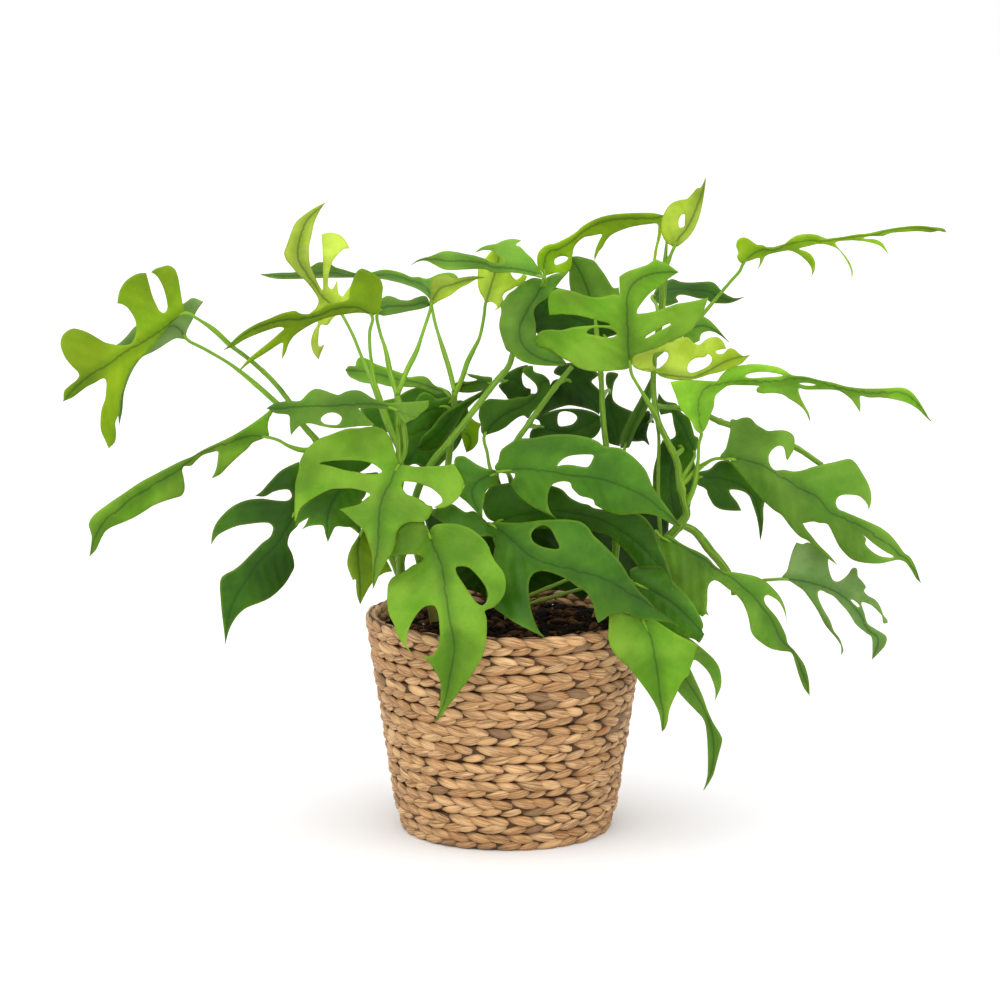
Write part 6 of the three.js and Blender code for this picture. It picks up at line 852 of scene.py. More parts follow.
def add_tubes(shape, vertices, marks=None, slot=0, tints=None):
    """Closed tubes from arrays of tube, ring, side and coordinate."""
    tubes, rings, sides, _ = vertices.shape
    turn = np.arange(sides)
    after = (turn + 1) % sides
    ring = np.arange(rings - 1)[:, None] * sides
    walls = [ring + turn, ring + after, ring + sides + after, ring + sides + turn]
    walls = np.stack(walls, axis=-1).reshape(-1, 4)
    start = np.arange(tubes)[:, None] * rings * sides
    shape.add(vertices, [
        (walls + start[:, None]).reshape(-1, 4),
        turn[::-1] + start,
        turn + (rings - 1) * sides + start,
    ], marks, slot, tints)


def add_rod(shape, path, radii, sides, knobs, seed, mark=0.0, slot=0):
    """A closed round rod with a slightly uneven skin."""
    across, up = carried_sides(path)
    turn = turned(sides)
    bumps = 1 + knobs * np.random.default_rng(seed).normal(size=(len(path), sides))
    reach = np.broadcast_to(radii, len(path))[:, None] * bumps
    ring = (
        across[:, None, :] * np.cos(turn)[None, :, None]
        + up[:, None, :] * np.sin(turn)[None, :, None]
    )
    vertices = path[:, None, :] + ring * reach[:, :, None]
    marks = np.zeros(vertices.shape)
    marks[:, :, 0] = distances(path)[:, None]
    marks[:, :, 1] = np.cos(turn) * 4
    marks[:, :, 2] = np.broadcast_to(mark, len(path))[:, None]
    add_tubes(shape, vertices[None], marks, slot)


# Materials

class Nodes:
    """A material under construction."""

    def __init__(self, name):
        self.material = bpy.data.materials.new(name)
        self.material.use_nodes = True
        self.tree = self.material.node_tree
        self.tree.nodes.clear()

    def new(self, kind, **values):
        node = self.tree.nodes.new("ShaderNode" + kind)
        for key, value in values.items():
            setattr(node, key, value)
        return node

    def link(self, source, target):
        if isinstance(source, (int, float, tuple)):
            target.default_value = source
        else:
            self.tree.links.new(source, target)

    def math(self, operation, a, b=0.0):
        node = self.new("Math", operation=operation)
        self.link(a, node.inputs[0])
        self.link(b, node.inputs[1])
        return node.outputs[0]

    def times(self, a, b):
        return self.math("MULTIPLY", a, b)

    def plus(self, a, b):
        return self.math("ADD", a, b)

    def mix(self, factor, a, b, blend="MIX"):
        node = self.new("Mix", data_type="RGBA", blend_type=blend)
        self.link(factor, node.inputs[0])
        self.link(a, node.inputs[6])
        self.link(b, node.inputs[7])
        return node.outputs[2]

    def span(self, value, low, high, to_low=0.0, to_high=1.0):
        """A smooth step of the value from low to high."""
        node = self.new("MapRange", interpolation_type="SMOOTHSTEP")
        self.link(value, node.inputs[0])
        for socket, number in zip(node.inputs[1:5], (low, high, to_low, to_high)):
            socket.default_value = number
        return node.outputs[0]

    def noise(self, vector, scale, detail=3.0, rough=0.55):
        node = self.new("TexNoise")
        self.link(vector, node.inputs["Vector"])
        node.inputs["Scale"].default_value = scale
        node.inputs["Detail"].default_value = detail
        node.inputs["Roughness"].default_value = rough
        return node.outputs["Fac"]

    def attribute(self, name):
        """The three numbers of a point's mark or tint."""
        source = self.new("Attribute", attribute_name=name, attribute_type="GEOMETRY")
        node = self.new("SeparateXYZ")
        self.link(source.outputs["Vector"], node.inputs[0])
        return node.outputs

    def join(self, x, y, z):
        node = self.new("CombineXYZ")
        for value, socket in zip((x, y, z), node.inputs):
            self.link(value, socket)
        return node.outputs[0]

    def space(self):
        return self.new("TexCoord").outputs["Object"]

    def bump(self, height, strength, distance):
        node = self.new("Bump")
        node.inputs["Strength"].default_value = strength
        node.inputs["Distance"].default_value = distance
        self.link(height, node.inputs["Height"])
        return node.outputs["Normal"]

    def surface(self, colour, roughness, specular, normal=None):
        shader = self.new("BsdfPrincipled")
        shader.inputs["Specular IOR Level"].default_value = specular
        self.link(colour, shader.inputs["Base Color"])
        self.link(roughness, shader.inputs["Roughness"])
        if normal is not None:
            self.link(normal, shader.inputs["Normal"])
        return shader.outputs[0]

    def finished(self, surface):
        self.link(surface, self.new("OutputMaterial").inputs[0])
        return self.material


def rgb(code):
    """A colour given as seen on screen, in the linear values that shaders take."""
    parts = [int(code[i:i + 2], 16) / 255 for i in (0, 2, 4)]
    linear = [c / 12.92 if c <= 0.04045 else ((c + 0.055) / 1.055) ** 2.4 for c in parts]
    return (*linear, 1.0)


def blade_material(tone):
    body, pale, vein, under = (rgb(code) for code in TONES[tone])
    n = Nodes("leaf_" + tone)
    along, off, side = n.attribute("place")
    light, edge_gap, _ = n.attribute("tint")
    space = n.space()
    across = n.math("ABSOLUTE", off)
    patch = n.noise(space, 26.0, 2.0)
    mottle = n.noise(space, 330.0)
    blotch = n.plus(n.times(patch, 0.8), n.times(mottle, 0.2))
    colour = n.mix(n.span(blotch, 0.34, 0.66), body, pale)
    # Painted shade darkens a soft band by the midrib, and painted light makes the blade yellower
    # at its rim.
    colour = n.mix(n.span(across, 1.0, 9.0, 0.35, 0.0), colour, rgb(MIDRIB_PAINTED_SHADE))
    # Painted light: the blade turns yellower within a few millimetres of its rim.
    colour = n.mix(n.span(edge_gap, 0.3, 2.6, 0.16, 0.0), colour, rgb(BLADE_RIM_PAINTED_LIGHT))
    phase = n.math("SUBTRACT", along, n.times(across, VEIN_SLANT))
    line = n.span(n.math("PINGPONG", phase, VEIN_SPACING / 2), 0.0, 0.6, 1.0, 0.0)
    side_vein = n.times(line, n.span(across, 1.0, 26.0, 1.0, 0.0))
    midrib = n.span(across, 0.4, 1.3, 1.0, 0.0)
    veins = n.math("MAXIMUM", midrib, n.times(side_vein, 0.25))
    top = n.mix(n.times(side_vein, 0.14), colour, vein)
    # Painted shade darkens the midrib groove itself.
    top = n.mix(n.times(midrib, 0.5), top, rgb(MIDRIB_GROOVE_PAINTED_SHADE))
    below = n.mix(n.times(veins, 0.5), n.mix(0.6, colour, under), under)
    face = n.mix(n.span(side, 0.45, 0.55), below, top)
    # Painted shade and light: broad darker and lighter areas run over a blade and from blade to
    # blade, scaled by each leaf's painted lightness.
    broad_painted_shade = n.noise(space, 19.0, 2.0)
    level = n.times(light, n.span(broad_painted_shade, 0.38, 0.6, 0.78, 1.08))
    shade = n.join(level, level, level)
    face = n.mix(1.0, face, shade, "MULTIPLY")
    normal = n.bump(n.plus(n.times(mottle, 0.6), n.times(veins, -0.6)), 0.3, 0.0005)
    gloss = n.span(blotch, 0.35, 0.65, 0.34, 0.5)
    # Some of the light comes through the blade and turns yellow green; the painted shade and light
    # scale it as well.
    glow = n.new("BsdfTranslucent")
    through = n.mix(1.0, n.mix(0.5, face, rgb(BLADE_GLOW)), shade, "MULTIPLY")
    n.link(through, glow.inputs["Color"])
    n.link(normal, glow.inputs["Normal"])
    blend = n.new("MixShader")
    blend.inputs[0].default_value = GLOW_SHARE
    n.link(n.surface(face, gloss, 0.17, normal), blend.inputs[1])
    n.link(glow.outputs[0], blend.inputs[2])
    return n.finished(blend.outputs[0])


def stalk_material(name, fresh, old):
    n = Nodes(name)
    along, side, aged = n.attribute("place")
    streak = n.noise(n.join(n.times(along, 0.02), side, aged), 2.4)
    green = n.mix(n.span(streak, 0.38, 0.62), rgb(fresh), rgb(old))
    spots = n.span(n.noise(n.space(), 260.0, 2.0), 0.62, 0.74)
    green = n.mix(n.times(spots, 0.25), green, rgb(STALK_SPOT))
    colour = n.mix(aged, green, rgb(AGED_BARK))
    gloss = n.span(streak, 0.3, 0.7, 0.38, 0.55)
    return n.finished(n.surface(colour, gloss, 0.2, n.bump(streak, 0.3, 0.0005)))


def straw_material():
    n = Nodes("plaited_stalks")
    along, across, grain = n.attribute("place")
    outer, age, _ = n.attribute("tint")

    def streaks(lengthwise, crosswise, detail):
        at = n.join(n.times(along, lengthwise), n.times(across, crosswise), grain)
        return n.noise(at, 1.0, detail)

    coarse = streaks(0.05, 0.8, 2.0)
    fibre = streaks(0.03, 4.6, 4.0)
    fine = streaks(0.08, 14.0, 3.0)
    tan = n.mix(n.span(age, 0.0, 1.0), rgb(STRAW_PALE), rgb(STRAW_TAN))
    for factor, colour in (
        (n.span(coarse, 0.4, 0.62, 0.0, 0.75), STRAW_STREAK),
        (n.span(fibre, 0.48, 0.66, 0.0, 0.85), STRAW_FIBRE),
        # A painted highlight along fine fibre streaks.
        (n.span(fine, 0.45, 0.66, 0.0, 0.65), STRAW_PAINTED_HIGHLIGHT),
        (n.span(age, 1.3, 1.6, 0.0, 0.6), STRAW_WEATHERED),
        # Painted shade where a stalk tucks under its neighbours, on its hidden side and over the
        # core.
        (n.span(outer, -0.15, 0.98, 0.92, 0.0), STRAW_PAINTED_SHADE),
    ):
        tan = n.mix(factor, tan, rgb(colour))
    gloss = n.span(fibre, 0.3, 0.7, 0.42, 0.62)
    normal = n.bump(n.plus(n.times(fine, 0.5), fibre), 0.7, 0.0012)
    return n.finished(n.surface(tan, gloss, 0.3, normal))


def earth_material(name, dark, brown, grain, roughness):
    n = Nodes(name)
    lumps = n.noise(n.space(), grain, 5.0, 0.65)
    colour = n.mix(n.span(lumps, 0.35, 0.68), rgb(dark), rgb(brown))
    gloss = n.span(lumps, 0.3, 0.7, roughness - 0.1, roughness + 0.08)
    return n.finished(n.surface(colour, gloss, 0.06, n.bump(lumps, 0.6, 0.0012)))


# Leaves

def inside(loops, points):
    """Which points lie in the first loop and in none of the others."""
    held = np.zeros(len(points), dtype=bool)
    for loop in loops:
        for (ax, ay), (bx, by) in zip(loop, np.roll(loop, -1, axis=0)):
            if ay == by:
                continue
            crosses = (ay > points[:, 1]) != (by > points[:, 1])
            at = ax + (points[:, 1] - ay) * (bx - ax) / (by - ay)
            held ^= crosses & (points[:, 0] < at)
    return held


def nearest(points, others):
    """The distance from each point to the nearest of the others."""
    best = np.full(len(points), 1e9)
    for block in np.array_split(others, max(1, len(others) // 200)):
        gaps = np.linalg.norm(points[:, None, :] - block[None, :, :], axis=2).min(axis=1)
        best = np.minimum(best, gaps)
    return best


def blade_sheet(leaf, rib):
    """The blade flat in sight: its points, its triangles and the points of its edges."""
    loops = [leaf.edge] + leaf.holes
    border = np.vstack(loops)
    low, high = leaf.edge.min(axis=0), leaf.edge.max(axis=0)
    rows = np.arange(low[1], high[1], GRID_ROW)
    grid = np.array([
        [x + (GRID_STEP / 2 if i % 2 else 0), y]
        for i, y in enumerate(rows)
        for x in np.arange(low[0], high[0], GRID_STEP)
    ])
    grid = grid[inside(loops, grid)]
    grid = grid[nearest(grid, border) > GRID_OFF_EDGE]
    grid = grid[nearest(grid, rib) > GRID_OFF_RIB]
    spine = respaced(rib, max(6, int(length_of(rib) / GRID_STEP)))[1:-1]
    spine = spine[inside(loops, spine)]
    spine = spine[nearest(spine, border) > SPINE_OFF_EDGE]
    points = np.vstack([border, spine, grid])
    edges = []
    start = 0
    for loop in loops:
        edges += [(start + i, start + (i + 1) % len(loop)) for i in range(len(loop))]
        start += len(loop)
    got = geometry.delaunay_2d_cdt([Vector(p) for p in points], edges, [], 0, 1e-5)
    flat = np.array([list(p) for p in got[0]])
    triangles = np.array(got[2])
    triangles = triangles[inside(loops, flat[triangles].mean(axis=1))]
    used = np.unique(triangles)
    renumber = np.full(len(flat), -1)
    renumber[used] = np.arange(len(used))
    return flat[used], renumber[triangles], border


def blade_depth(leaf, flat, rib):
    """Depth of the blade, and each point's length along and signed distance off the midrib."""
    tangents = np.gradient(rib[:, :2], axis=0)
    tangents /= np.linalg.norm(tangents, axis=1)[:, None]
    offset = flat[:, None, :] - rib[None, :, :2]
    gaps = np.linalg.norm(offset, axis=2)
    sides = tangents[None, :, 0] * offset[:, :, 1] - tangents[None, :, 1] * offset[:, :, 0]
    weights = (gaps ** 2 + 1.0) ** -3
    weights /= weights.sum(axis=1)[:, None]
    fields = rib[None, :, 2] + leaf.lean * sides + leaf.curl * gaps ** 2
    depth = (weights * fields).sum(axis=1)
    close = gaps.argmin(axis=1)
    rows = np.arange(len(flat))
    step = length_of(rib[:, :2]) / (len(rib) - 1)
    return depth, close * step, np.copysign(gaps[rows, close], sides[rows, close])


def waves(flat, off, seed):
    """Soft waves of the blade, which grow away from the midrib."""
    dice = random.Random(seed)
    swell = np.minimum(off / WAVE_REACH, 1.0)
    for _ in range(WAVE_COUNT):
        turn = dice.uniform(0, 2 * math.pi)
        scale = dice.uniform(*WAVE_RATES)
        phase = dice.uniform(0, 2 * math.pi)
        run = flat[:, 0] * math.cos(turn) + flat[:, 1] * math.sin(turn)
        yield swell * np.sin(run * scale + phase)


def face_normals(points, triangles):
    a, b, c = (points[triangles[:, k]] for k in range(3))
    crossed = np.cross(b - a, c - a)
    normals = np.zeros_like(points)
    for k in range(3):
        np.add.at(normals, triangles[:, k], crossed)
    return normals / (np.linalg.norm(normals, axis=1)[:, None] + 1e-12)


def open_edges(triangles):
    """The sides that only one triangle has."""
    found = {}
    for a, b, c in triangles.tolist():
        for pair in ((a, b), (b, c), (c, a)):
            if pair[::-1] in found:
                del found[pair[::-1]]
            else:
                found[pair] = True
    return list(found)


def add_blade(shape, leaf, seed):
    """A thin closed sheet with a midrib groove and a quilt of side veins."""
    rib = respaced(spline(leaf.rib, CURVE_SPAN), RIB_POINTS)
    flat, triangles, border = blade_sheet(leaf, rib[:, :2])
    depth, along, signed = blade_depth(leaf, flat, rib)
    off = np.abs(signed)
    depth += BLADE_FOLD * (np.sqrt(off ** 2 + 9) - 3)
    for wave in waves(flat, off, seed):
        depth += wave
    points = sighted(np.column_stack([flat, depth]))
    normals = face_normals(points, triangles)
    groove = MIDRIB_GROOVE * np.exp(-(off / MIDRIB_WIDTH) ** 2)
    beat = np.cos((along - off * VEIN_SLANT) * 2 * math.pi / VEIN_SPACING)
    to_edge = nearest(flat, border)
    quilt = QUILT * beat * smoothstep(0, QUILT_MARGIN, off) * smoothstep(0, QUILT_MARGIN, to_edge)
    points = points - normals * (groove + quilt)[:, None]
    half = 0.5 * BLADE_THICKNESS * (0.5 + 0.5 * smoothstep(0, BLADE_TAPER, to_edge))[:, None]
    count = len(points)
    walls = [[a, a + count, b + count, b] for a, b in open_edges(triangles)]
    upper = np.column_stack([along, signed, np.ones(count)])
    under = np.column_stack([along, signed, np.zeros(count)])
    # The first number of a blade's tint is its painted light or shade.
    tints = np.column_stack([np.full(count, leaf.light), to_edge, np.zeros(count)])
    shape.add(
        np.vstack([points + normals * half, points - normals * half]),
        [triangles, triangles[:, ::-1] + count, walls],
        np.vstack([upper, under]), 0, np.vstack([tints, tints]),
    )
    return points, normals


def stem_curve(text):
    knots = np.array([[float(number) for number in word.split(",")] for word in text.split()])
    path = spline(np.column_stack([sighted(knots), knots[:, 3]]), CURVE_SPAN)
    return respaced(path, max(12, int(length_of(path[:, :3]) / STEM_STEP)))


def stalk_path(leaf):
    """From the tip end of the midrib to the leaf's foot on the nearest stem."""
    upper = leaf.rib[::-1]
    knots = sighted(np.vstack([upper, leaf.stalk]))
    gaps = np.linalg.norm(stem_axes - knots[-1], axis=1)
    foot = stem_axes[gaps.argmin()]
    if gaps.min() < STALK_REACH:
        knots = knots[:-1]
    path = spline(np.vstack([knots, foot]), CURVE_SPAN)
    blade_length = length_of(spline(sighted(upper), CURVE_SPAN))
    return respaced(path, max(16, int(length_of(path) / STALK_STEP))), blade_length


def make_leaf(leaf, seed):
    shape = Shape()
    points, normals = add_blade(shape, leaf, seed)
    path, blade_length = stalk_path(leaf)
    along = distances(path)
    on_blade = np.clip(along / blade_length, 0, 1)
    past = np.clip((along - blade_length) / max(along[-1] - blade_length, 1), 0, 1)
    radii = MIDRIB_TIP_RADIUS + (STALK_RADIUS - MIDRIB_TIP_RADIUS) * on_blade ** 1.6
    radii = radii + (STALK_SHEATH_RADIUS - STALK_RADIUS) * smoothstep(0.3, 0.62, past)
    # On the blade the rod lies behind the sheet, so that only its groove shows in front.
    closest = np.array([np.linalg.norm(points - at, axis=1).argmin() for at in path])
    sink = np.where(along < blade_length, radii + MIDRIB_GROOVE + STALK_SINK, 0)
    sink = sink * smoothstep(0, STALK_SINK_RUN, blade_length - along)
    path = path - normals[closest] * sink[:, None]
    add_rod(shape, path, radii, STALK_SIDES, STALK_KNOBS, seed, slot=1)
    made = shape.build(leaf.name + "_blade", [blades[leaf.tone], stalks])
    enter(made, leaf.name)


# Stems: swollen at each leaf scar, browner towards the soil

def make_stem(name, curves, seed):
    shape = Shape()
    for curve in curves:
        beat = np.abs(((distances(curve[:, :3]) / SCAR_SPACING) % 1) - 0.5) * SCAR_SPACING
        scar = np.exp(-((SCAR_SPACING / 2 - beat) / SCAR_WIDTH) ** 2)
        radii = STEM_SLIMNESS * curve[:, 3] * (1 + SCAR_SWELL * scar)
        aged = STEM_AGE * (1 - smoothstep(SOIL_TOP, SOIL_TOP + STEM_AGE_RISE, curve[:, 2]))
        add_rod(shape, curve[:, :3], radii, STEM_SIDES, STEM_KNOBS, seed, aged)
    enter(shape.build(name + "_bark", [bark]), name)


# Basket: a plaited cord wound course on course

def wall_radius(height):
    share = np.clip(height / BASKET_HEIGHT, 0, 1)
    round_foot = FOOT_ROUNDING * (1 - smoothstep(0, FOOT_ROUNDING_RISE, height))
    return FOOT_RADIUS + (RIM_RADIUS - FOOT_RADIUS) * share - round_foot


def wall_cord():
    """Centre of the cord up the wall, with its outward and upward directions."""
    turns = np.linspace(
        CORD_START, COURSES - CORD_END_SHORT, COURSES * CORD_POINTS_PER_TURN + 1)
    whole = np.clip(np.floor(turns), 0, COURSES - 1)
    part = turns - whole
    climb = smoothstep(COURSE_CLIMB_START, 1.0, part) * (whole < COURSES - 1)
    height = BASKET_HEIGHT / COURSES * (whole + climb + 0.5)
    angle = CORD_HEADING + 2 * math.pi * part
    reach = wall_radius(height) - 0.5 * WALL
    reach = reach - CORD_START_INSET * (1 - smoothstep(CORD_START, 0, turns))
    flare = math.atan2(RIM_RADIUS - FOOT_RADIUS, BASKET_HEIGHT)
    outward = circled(math.cos(flare), angle, -math.sin(flare))
    upward = circled(math.sin(flare), angle, math.cos(flare))
    return circled(reach, angle, height), outward, upward


def floor_cord():
    """The cord wound flat from the foot of the wall to the middle of the floor."""
    turns = np.linspace(0, FLOOR_TURNS, FLOOR_CORD_POINTS)
    angle = CORD_HEADING - 2 * math.pi * turns
    reach = FOOT_RADIUS - WALL - FLOOR_PITCH * turns - FOOT_ROUNDING
    down = np.tile([0.0, 0.0, -1.0], (len(angle), 1))
    return circled(reach, angle, FLOOR_CORD_HEIGHT), down, circled(-1.0, angle, 0.0)


def rail_at(rail, wanted):
    along = distances(rail[0])
    return [sampled(field, along, wanted) for field in rail]


def add_core(shape, rail):
    """The rope under the plait, which closes the gaps between its stalks; its tint paints it deep
    brown, as painted shade in those gaps.
    """
    wanted = np.arange(0, distances(rail[0])[-1], CORE_STEP)
    centre, outward, upward = rail_at(rail, wanted)
    turn = turned(CORE_SIDES)
    vertices = (
        centre[:, None, :]
        + upward[:, None, :] * (CORE_HALF_HEIGHT * np.cos(turn))[None, :, None]
        + outward[:, None, :] * (CORE_HALF_DEPTH * np.sin(turn))[None, :, None]
    )
    marks = np.zeros(vertices.shape)
    marks[:, :, 0] = wanted[:, None]
    marks[:, :, 1] = 3 * np.cos(turn)
    # The core counts as lying far in, so the straw material paints it in deep painted shade.
    tints = np.tile([-0.1, 0.8, 0.0], (len(wanted), CORE_SIDES, 1))
    add_tubes(shape, vertices[None], marks, 0, tints)


def add_grains(shape, rail, face, rings, sides, seed):
    """The plait on one face: two rows of overlapping stalks that slant together."""
    rng = np.random.default_rng(seed)
    each_row = int((distances(rail[0])[-1] - GRAIN_LENGTH) / GRAIN_REPEAT)
    total = 2 * each_row
    row = np.repeat([1.0, -1.0], each_row)
    starts = (np.arange(total) % each_row + 0.25 * (1 - row)) * GRAIN_REPEAT
    starts = starts + rng.normal(0, 1.0, total)
    size = 1 + np.clip(rng.normal(0, 0.09, total), -0.2, 0.2)
    share = np.linspace(0, 1, rings)
    wanted = starts[:, None] + GRAIN_LENGTH * size[:, None] * share
    middle, outward, upward = rail_at(rail, wanted)
    outward = outward * face
    wave = np.sin(math.pi * share)
    rise = row[:, None] * (GRAIN_RISE - GRAIN_FALL * share ** 1.15)
    rise = rise + rng.normal(0, 0.3, (total, 1))
    lift = GRAIN_LIFT - GRAIN_TUCK * (1 - wave ** 0.8) + rng.normal(0, 0.15, (total, 1))
    path = middle + upward * rise[..., None] + outward * lift[..., None]
    tangent = np.gradient(path, axis=1)
    tangent /= np.linalg.norm(tangent, axis=2, keepdims=True)
    roll = (row[:, None] * GRAIN_ROLL * (1 - share) ** 1.5)[..., None]
    front = outward * np.cos(roll) + upward * np.sin(roll)
    front = front - tangent * (front * tangent).sum(axis=2, keepdims=True)
    front /= np.linalg.norm(front, axis=2, keepdims=True)
    across = np.cross(tangent, front)
    taper = ((GRAIN_TIP + (1 - GRAIN_TIP) * wave ** 0.8) * size[:, None])[..., None]
    turn = turned(sides)
    ridges = 1 + GRAIN_RIDGES * rng.normal(size=(total, 1, sides))
    wide = GRAIN_HALF_WIDTH * taper * np.cos(turn) * ridges
    thick = GRAIN_HALF_THICKNESS * taper * np.sin(turn) * ridges
    vertices = (
        path[:, :, None]
        + across[:, :, None] * wide[..., None]
        + front[:, :, None] * thick[..., None]
    )
    vertices[..., 2] = np.maximum(vertices[..., 2], FOOT_CLEARANCE)
    age = rng.random(total) * 0.9 + (rng.random(total) < WEATHERED_SHARE) * 0.9
    marks = np.zeros(vertices.shape)
    marks[..., 0] = (GRAIN_LENGTH * share)[None, :, None]
    marks[..., 1] = np.cos(turn)
    marks[..., 2] = (np.arange(total) * GRAIN_SHIFT)[:, None, None]
    tints = np.zeros(vertices.shape)
    # How far out the stalk lies: low where it tucks under its neighbours and on its hidden side,
    # where the material paints shade.
    tints[..., 0] = 1.5 * wave[None, :, None] ** 0.6 - 0.95 + 0.5 * np.sin(turn)
    tints[..., 1] = age[:, None, None]
    add_tubes(shape, vertices, marks, 0, tints)


def make_basket():
    straw = straw_material()
    wall, floor = wall_cord(), floor_cord()
    core, outer, inner, under = Shape(), Shape(), Shape(), Shape()
    add_core(core, wall)
    add_core(core, floor)
    add_grains(outer, wall, 1, *OUTER_GRAIN, SEED)
    add_grains(inner, wall, -1, *OTHER_GRAIN, SEED + 1)
    add_grains(under, floor, 1, *OTHER_GRAIN, SEED + 2)
    for name, shape in (
        ("basket_core_cord", core),
        ("basket_outer_plait", outer),
        ("basket_inner_plait", inner),
        ("basket_under_plait", under),
    ):
        enter(shape.build(name, [straw]), "basket")


# Soil: a root ball with bark chips, fine roots and a few pale grains on top

def soil_profile():
    """Reach and height of each ring, up the side and in over the mound."""
    profile = [(0.3, SOIL_FOOT), (wall_radius(SOIL_FOOT) - WALL - SOIL_GAP, SOIL_FOOT)]
    for height in np.linspace(20, SOIL_TOP - 3, SOIL_WALL_RINGS):
        profile.append((wall_radius(height) - WALL - 0.8, height))
    outer = wall_radius(SOIL_TOP) - WALL - 1.0
    for i in range(SOIL_TOP_RINGS):
        share = 1 - (i + 1) / (SOIL_TOP_RINGS + 1)
        profile.append((outer * share + 0.2, SOIL_TOP - 1 + SOIL_MOUND * (1 - share)))
    return profile


def add_ball(shape, rng):
    turn = turned(SOIL_SIDES)
    rings = []
    for row, (reach, height) in enumerate(soil_profile()):
        rough = 0
        if row > SOIL_WALL_RINGS + 2:
            rough = SOIL_ROUGHNESS * rng.normal(size=SOIL_SIDES)
        rings.append(circled(reach, turn, height + rough))
    add_tubes(shape, np.array(rings)[None])


def add_lump(shape, rng, size, flatness, slot):
    """A chip or grain: a squashed, knobbly ball of six sides."""
    reach = (wall_radius(SOIL_TOP) - WALL - SOIL_GAP - size * 0.7) * math.sqrt(rng.random())
    where = rng.uniform(0, 2 * math.pi)
    height = SOIL_TOP + 0.6 + 1.6 * (1 - reach / 100) + rng.uniform(-1.0, 1.8)
    turn = turned(LUMP_SIDES)
    rings = [circled(ring, turn, level) for ring, level in LUMP_RINGS]
    points = np.vstack([[[0, 0, 1.0]], *rings, [[0, 0, -1.0]]])
    points *= 1 + rng.uniform(-0.22, 0.22, size=(len(points), 1))
    points *= [size, size * rng.uniform(0.45, 0.8), size * flatness * 0.6]
    tilt, yaw = rng.normal(0, 0.45), rng.uniform(0, 2 * math.pi)
    cos, sin = math.cos(tilt), math.sin(tilt)
    about_x = np.array([[1, 0, 0], [0, cos, -sin], [0, sin, cos]])
    cos, sin = math.cos(yaw), math.sin(yaw)
    about_z = np.array([[cos, -sin, 0], [sin, cos, 0], [0, 0, 1]])
    centre = [reach * math.cos(where), reach * math.sin(where), height]
    points = points @ (about_z @ about_x).T + centre
    side = np.arange(LUMP_SIDES)
    after = (side + 1) % LUMP_SIDES
    upper, middle, lower = (1 + LUMP_SIDES * r for r in range(3))
    top, end = np.full(LUMP_SIDES, 0), np.full(LUMP_SIDES, len(points) - 1)
    shape.add(points, [
        np.column_stack([top, upper + side, upper + after]),
        np.column_stack([upper + side, middle + side, middle + after, upper + after]),
        np.column_stack([middle + side, lower + side, lower + after, middle + after]),
        np.column_stack([end, lower + after, lower + side]),
    ], slot=slot)


def add_root(shape, rng):
    """A fine root that lies on the soil."""
    reach = (wall_radius(SOIL_TOP) - WALL - 12) * math.sqrt(rng.random())
    where = rng.uniform(0, 2 * math.pi)
    heading = rng.uniform(0, 2 * math.pi)
    knots = [np.array([reach * math.cos(where), reach * math.sin(where), SOIL_TOP + 1.0])]
    for _ in range(3):
        heading += rng.normal(0, 0.7)
        step = rng.uniform(*FINE_ROOT_STEPS)
        rise = rng.uniform(-2.2, 2.4)
        knots.append(knots[-1] + [step * math.cos(heading), step * math.sin(heading), rise])
    knots = np.array(knots)
    limit = wall_radius(SOIL_TOP) - WALL - SOIL_GAP
    knots[:, :2] *= np.minimum(1, limit / np.linalg.norm(knots[:, :2], axis=1))[:, None]
    path = respaced(spline(knots, 6), FINE_ROOT_POINTS)
    radius = rng.uniform(*FINE_ROOT_RADII)
    seed = int(rng.integers(1e6))
    add_rod(shape, path, radius, FINE_ROOT_SIDES, FINE_ROOT_KNOBS, seed, slot=2)


def make_soil():
    shape = Shape()
    rng = np.random.default_rng(SEED)
    add_ball(shape, rng)
    for _ in range(CHIPS):
        size = rng.uniform(*CHIP_SIZES)
        flatness = rng.uniform(*CHIP_FLATNESSES)
        add_lump(shape, rng, size, flatness, 1 if rng.random() < DARK_CHIP_SHARE else 2)
    for _ in range(PALE_GRAINS):
        add_lump(shape, rng, rng.uniform(*PALE_GRAIN_SIZES), 0.9, 3)
    for _ in range(FINE_ROOTS):
        add_root(shape, rng)
    made = shape.build("soil_mix", [
        earth_material("peat", "030201", "0e0804", 300.0, 0.9),
        earth_material("bark_dark", "080402", "1c1208", 240.0, 0.8),
        earth_material("bark_brown", "2c1b0b", "5c3d1f", 200.0, 0.78),
        earth_material("pale_grain", "cfc8ba", "efeae0", 500.0, 0.85),
    ])
    enter(made, "soil")


stem_curves = {name: [stem_curve(text) for text in runs] for name, runs in STEMS.items()}
stem_axes = np.vstack([curve for runs in stem_curves.values() for curve in runs])[:, :3]
blades = {tone: blade_material(tone) for tone in TONES}
stalks = stalk_material("leaf_stalk", "548212", "7ea428")
bark = stalk_material("climbing_stem", "44700e", "7a9c2c")
for number, leaf in enumerate(read_leaves(LEAF_TABLE)):
    make_leaf(leaf, SEED + number)
for number, (name, curves) in enumerate(stem_curves.items()):
    make_stem(name, curves, STEM_SEED + number)
make_basket()
make_soil()


# Room, light and camera

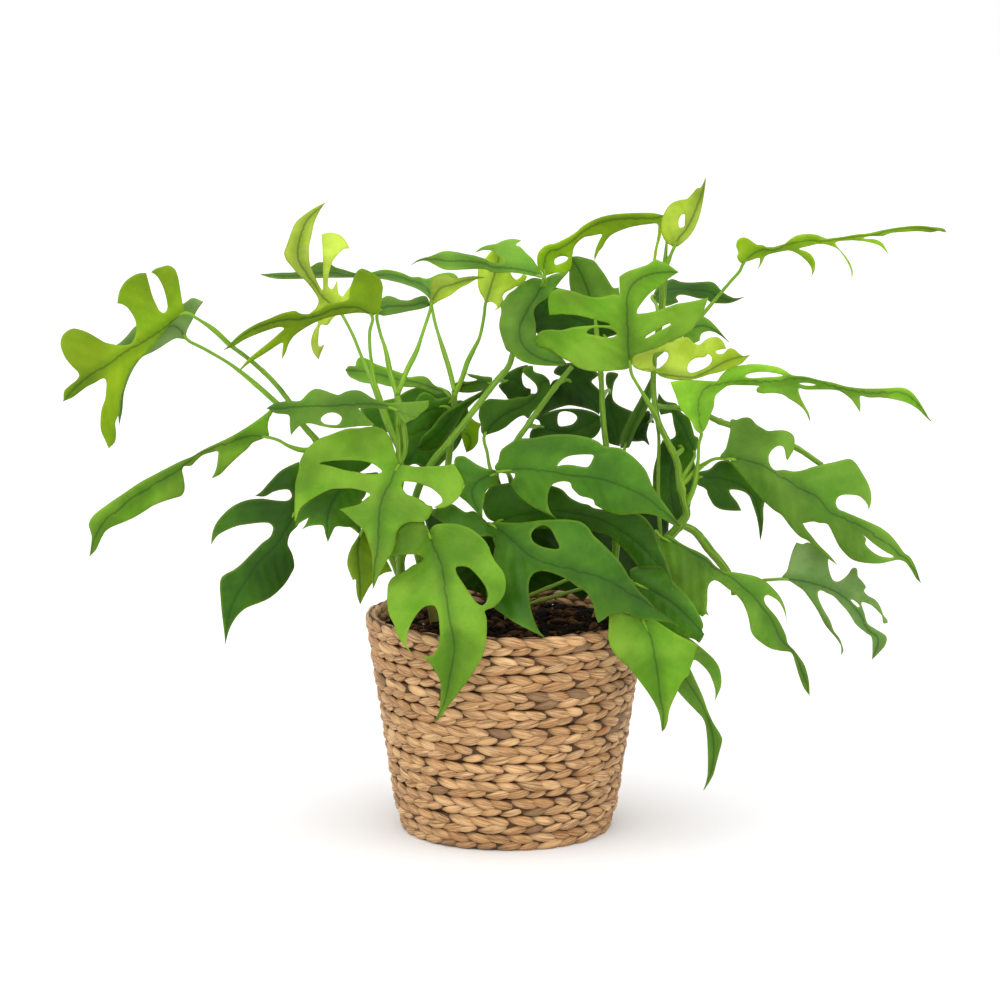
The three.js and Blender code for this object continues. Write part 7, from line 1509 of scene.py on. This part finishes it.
def pale_floor():
    mesh = bpy.data.meshes.new("floor")
    corners = [(-1, -1), (1, -1), (1, 1), (-1, 1)]
    corners = [(FLOOR_HALF * x, FLOOR_HALF * y, 0) for x, y in corners]
    mesh.from_pydata(corners, [], [(0, 1, 2, 3)])
    n = Nodes("floor_paint")
    dark, pale = (rgb(code) for code in FLOOR_PAINT)
    colour = n.mix(n.span(n.noise(n.space(), 3.0), 0.3, 0.7), dark, pale)
    mesh.materials.append(n.finished(n.surface(colour, 0.7, 0.1)))
    floor = bpy.data.objects.new("floor", mesh)
    bpy.context.collection.objects.link(floor)


def sun(name, heading, height, spread, strength):
    """A soft sun; its angles are in degrees."""
    data = bpy.data.lights.new(name, "SUN")
    data.angle = math.radians(spread)
    data.energy = strength
    lamp = bpy.data.objects.new(name, data)
    lamp.rotation_euler = (math.radians(90 - height), 0, math.radians(heading))
    bpy.context.collection.objects.link(lamp)


def studio_room():
    """A white room that looks brighter than the light it gives."""
    world = bpy.data.worlds.new("studio")
    world.use_nodes = True
    tree = world.node_tree
    room = tree.nodes["Background"]
    room.inputs[0].default_value = (1.0, 1.0, 1.0, 1.0)
    rays = tree.nodes.new("ShaderNodeLightPath")
    seen = tree.nodes.new("ShaderNodeMapRange")
    seen.inputs["To Min"].default_value = ROOM_LIGHT
    seen.inputs["To Max"].default_value = ROOM_SEEN
    tree.links.new(rays.outputs["Is Camera Ray"], seen.inputs["Value"])
    tree.links.new(seen.outputs[0], room.inputs[1])
    bpy.context.scene.world = world
    bpy.context.scene.view_settings.view_transform = "Standard"


def eye_camera():
    data = bpy.data.cameras.new("camera")
    data.lens = LENS
    data.sensor_width = 36.0
    data.clip_end = 200.0
    camera = bpy.data.objects.new("camera", data)
    camera.location = EYE * MM
    camera.rotation_euler = (math.pi / 2 - SIGHT_DROP, 0, 0)
    bpy.context.collection.objects.link(camera)
    bpy.context.scene.camera = camera


pale_floor()
sun("key", -25, 64, 130, 3.1)
sun("fill", 40, 40, 110, 0.75)
studio_room()
eye_camera()
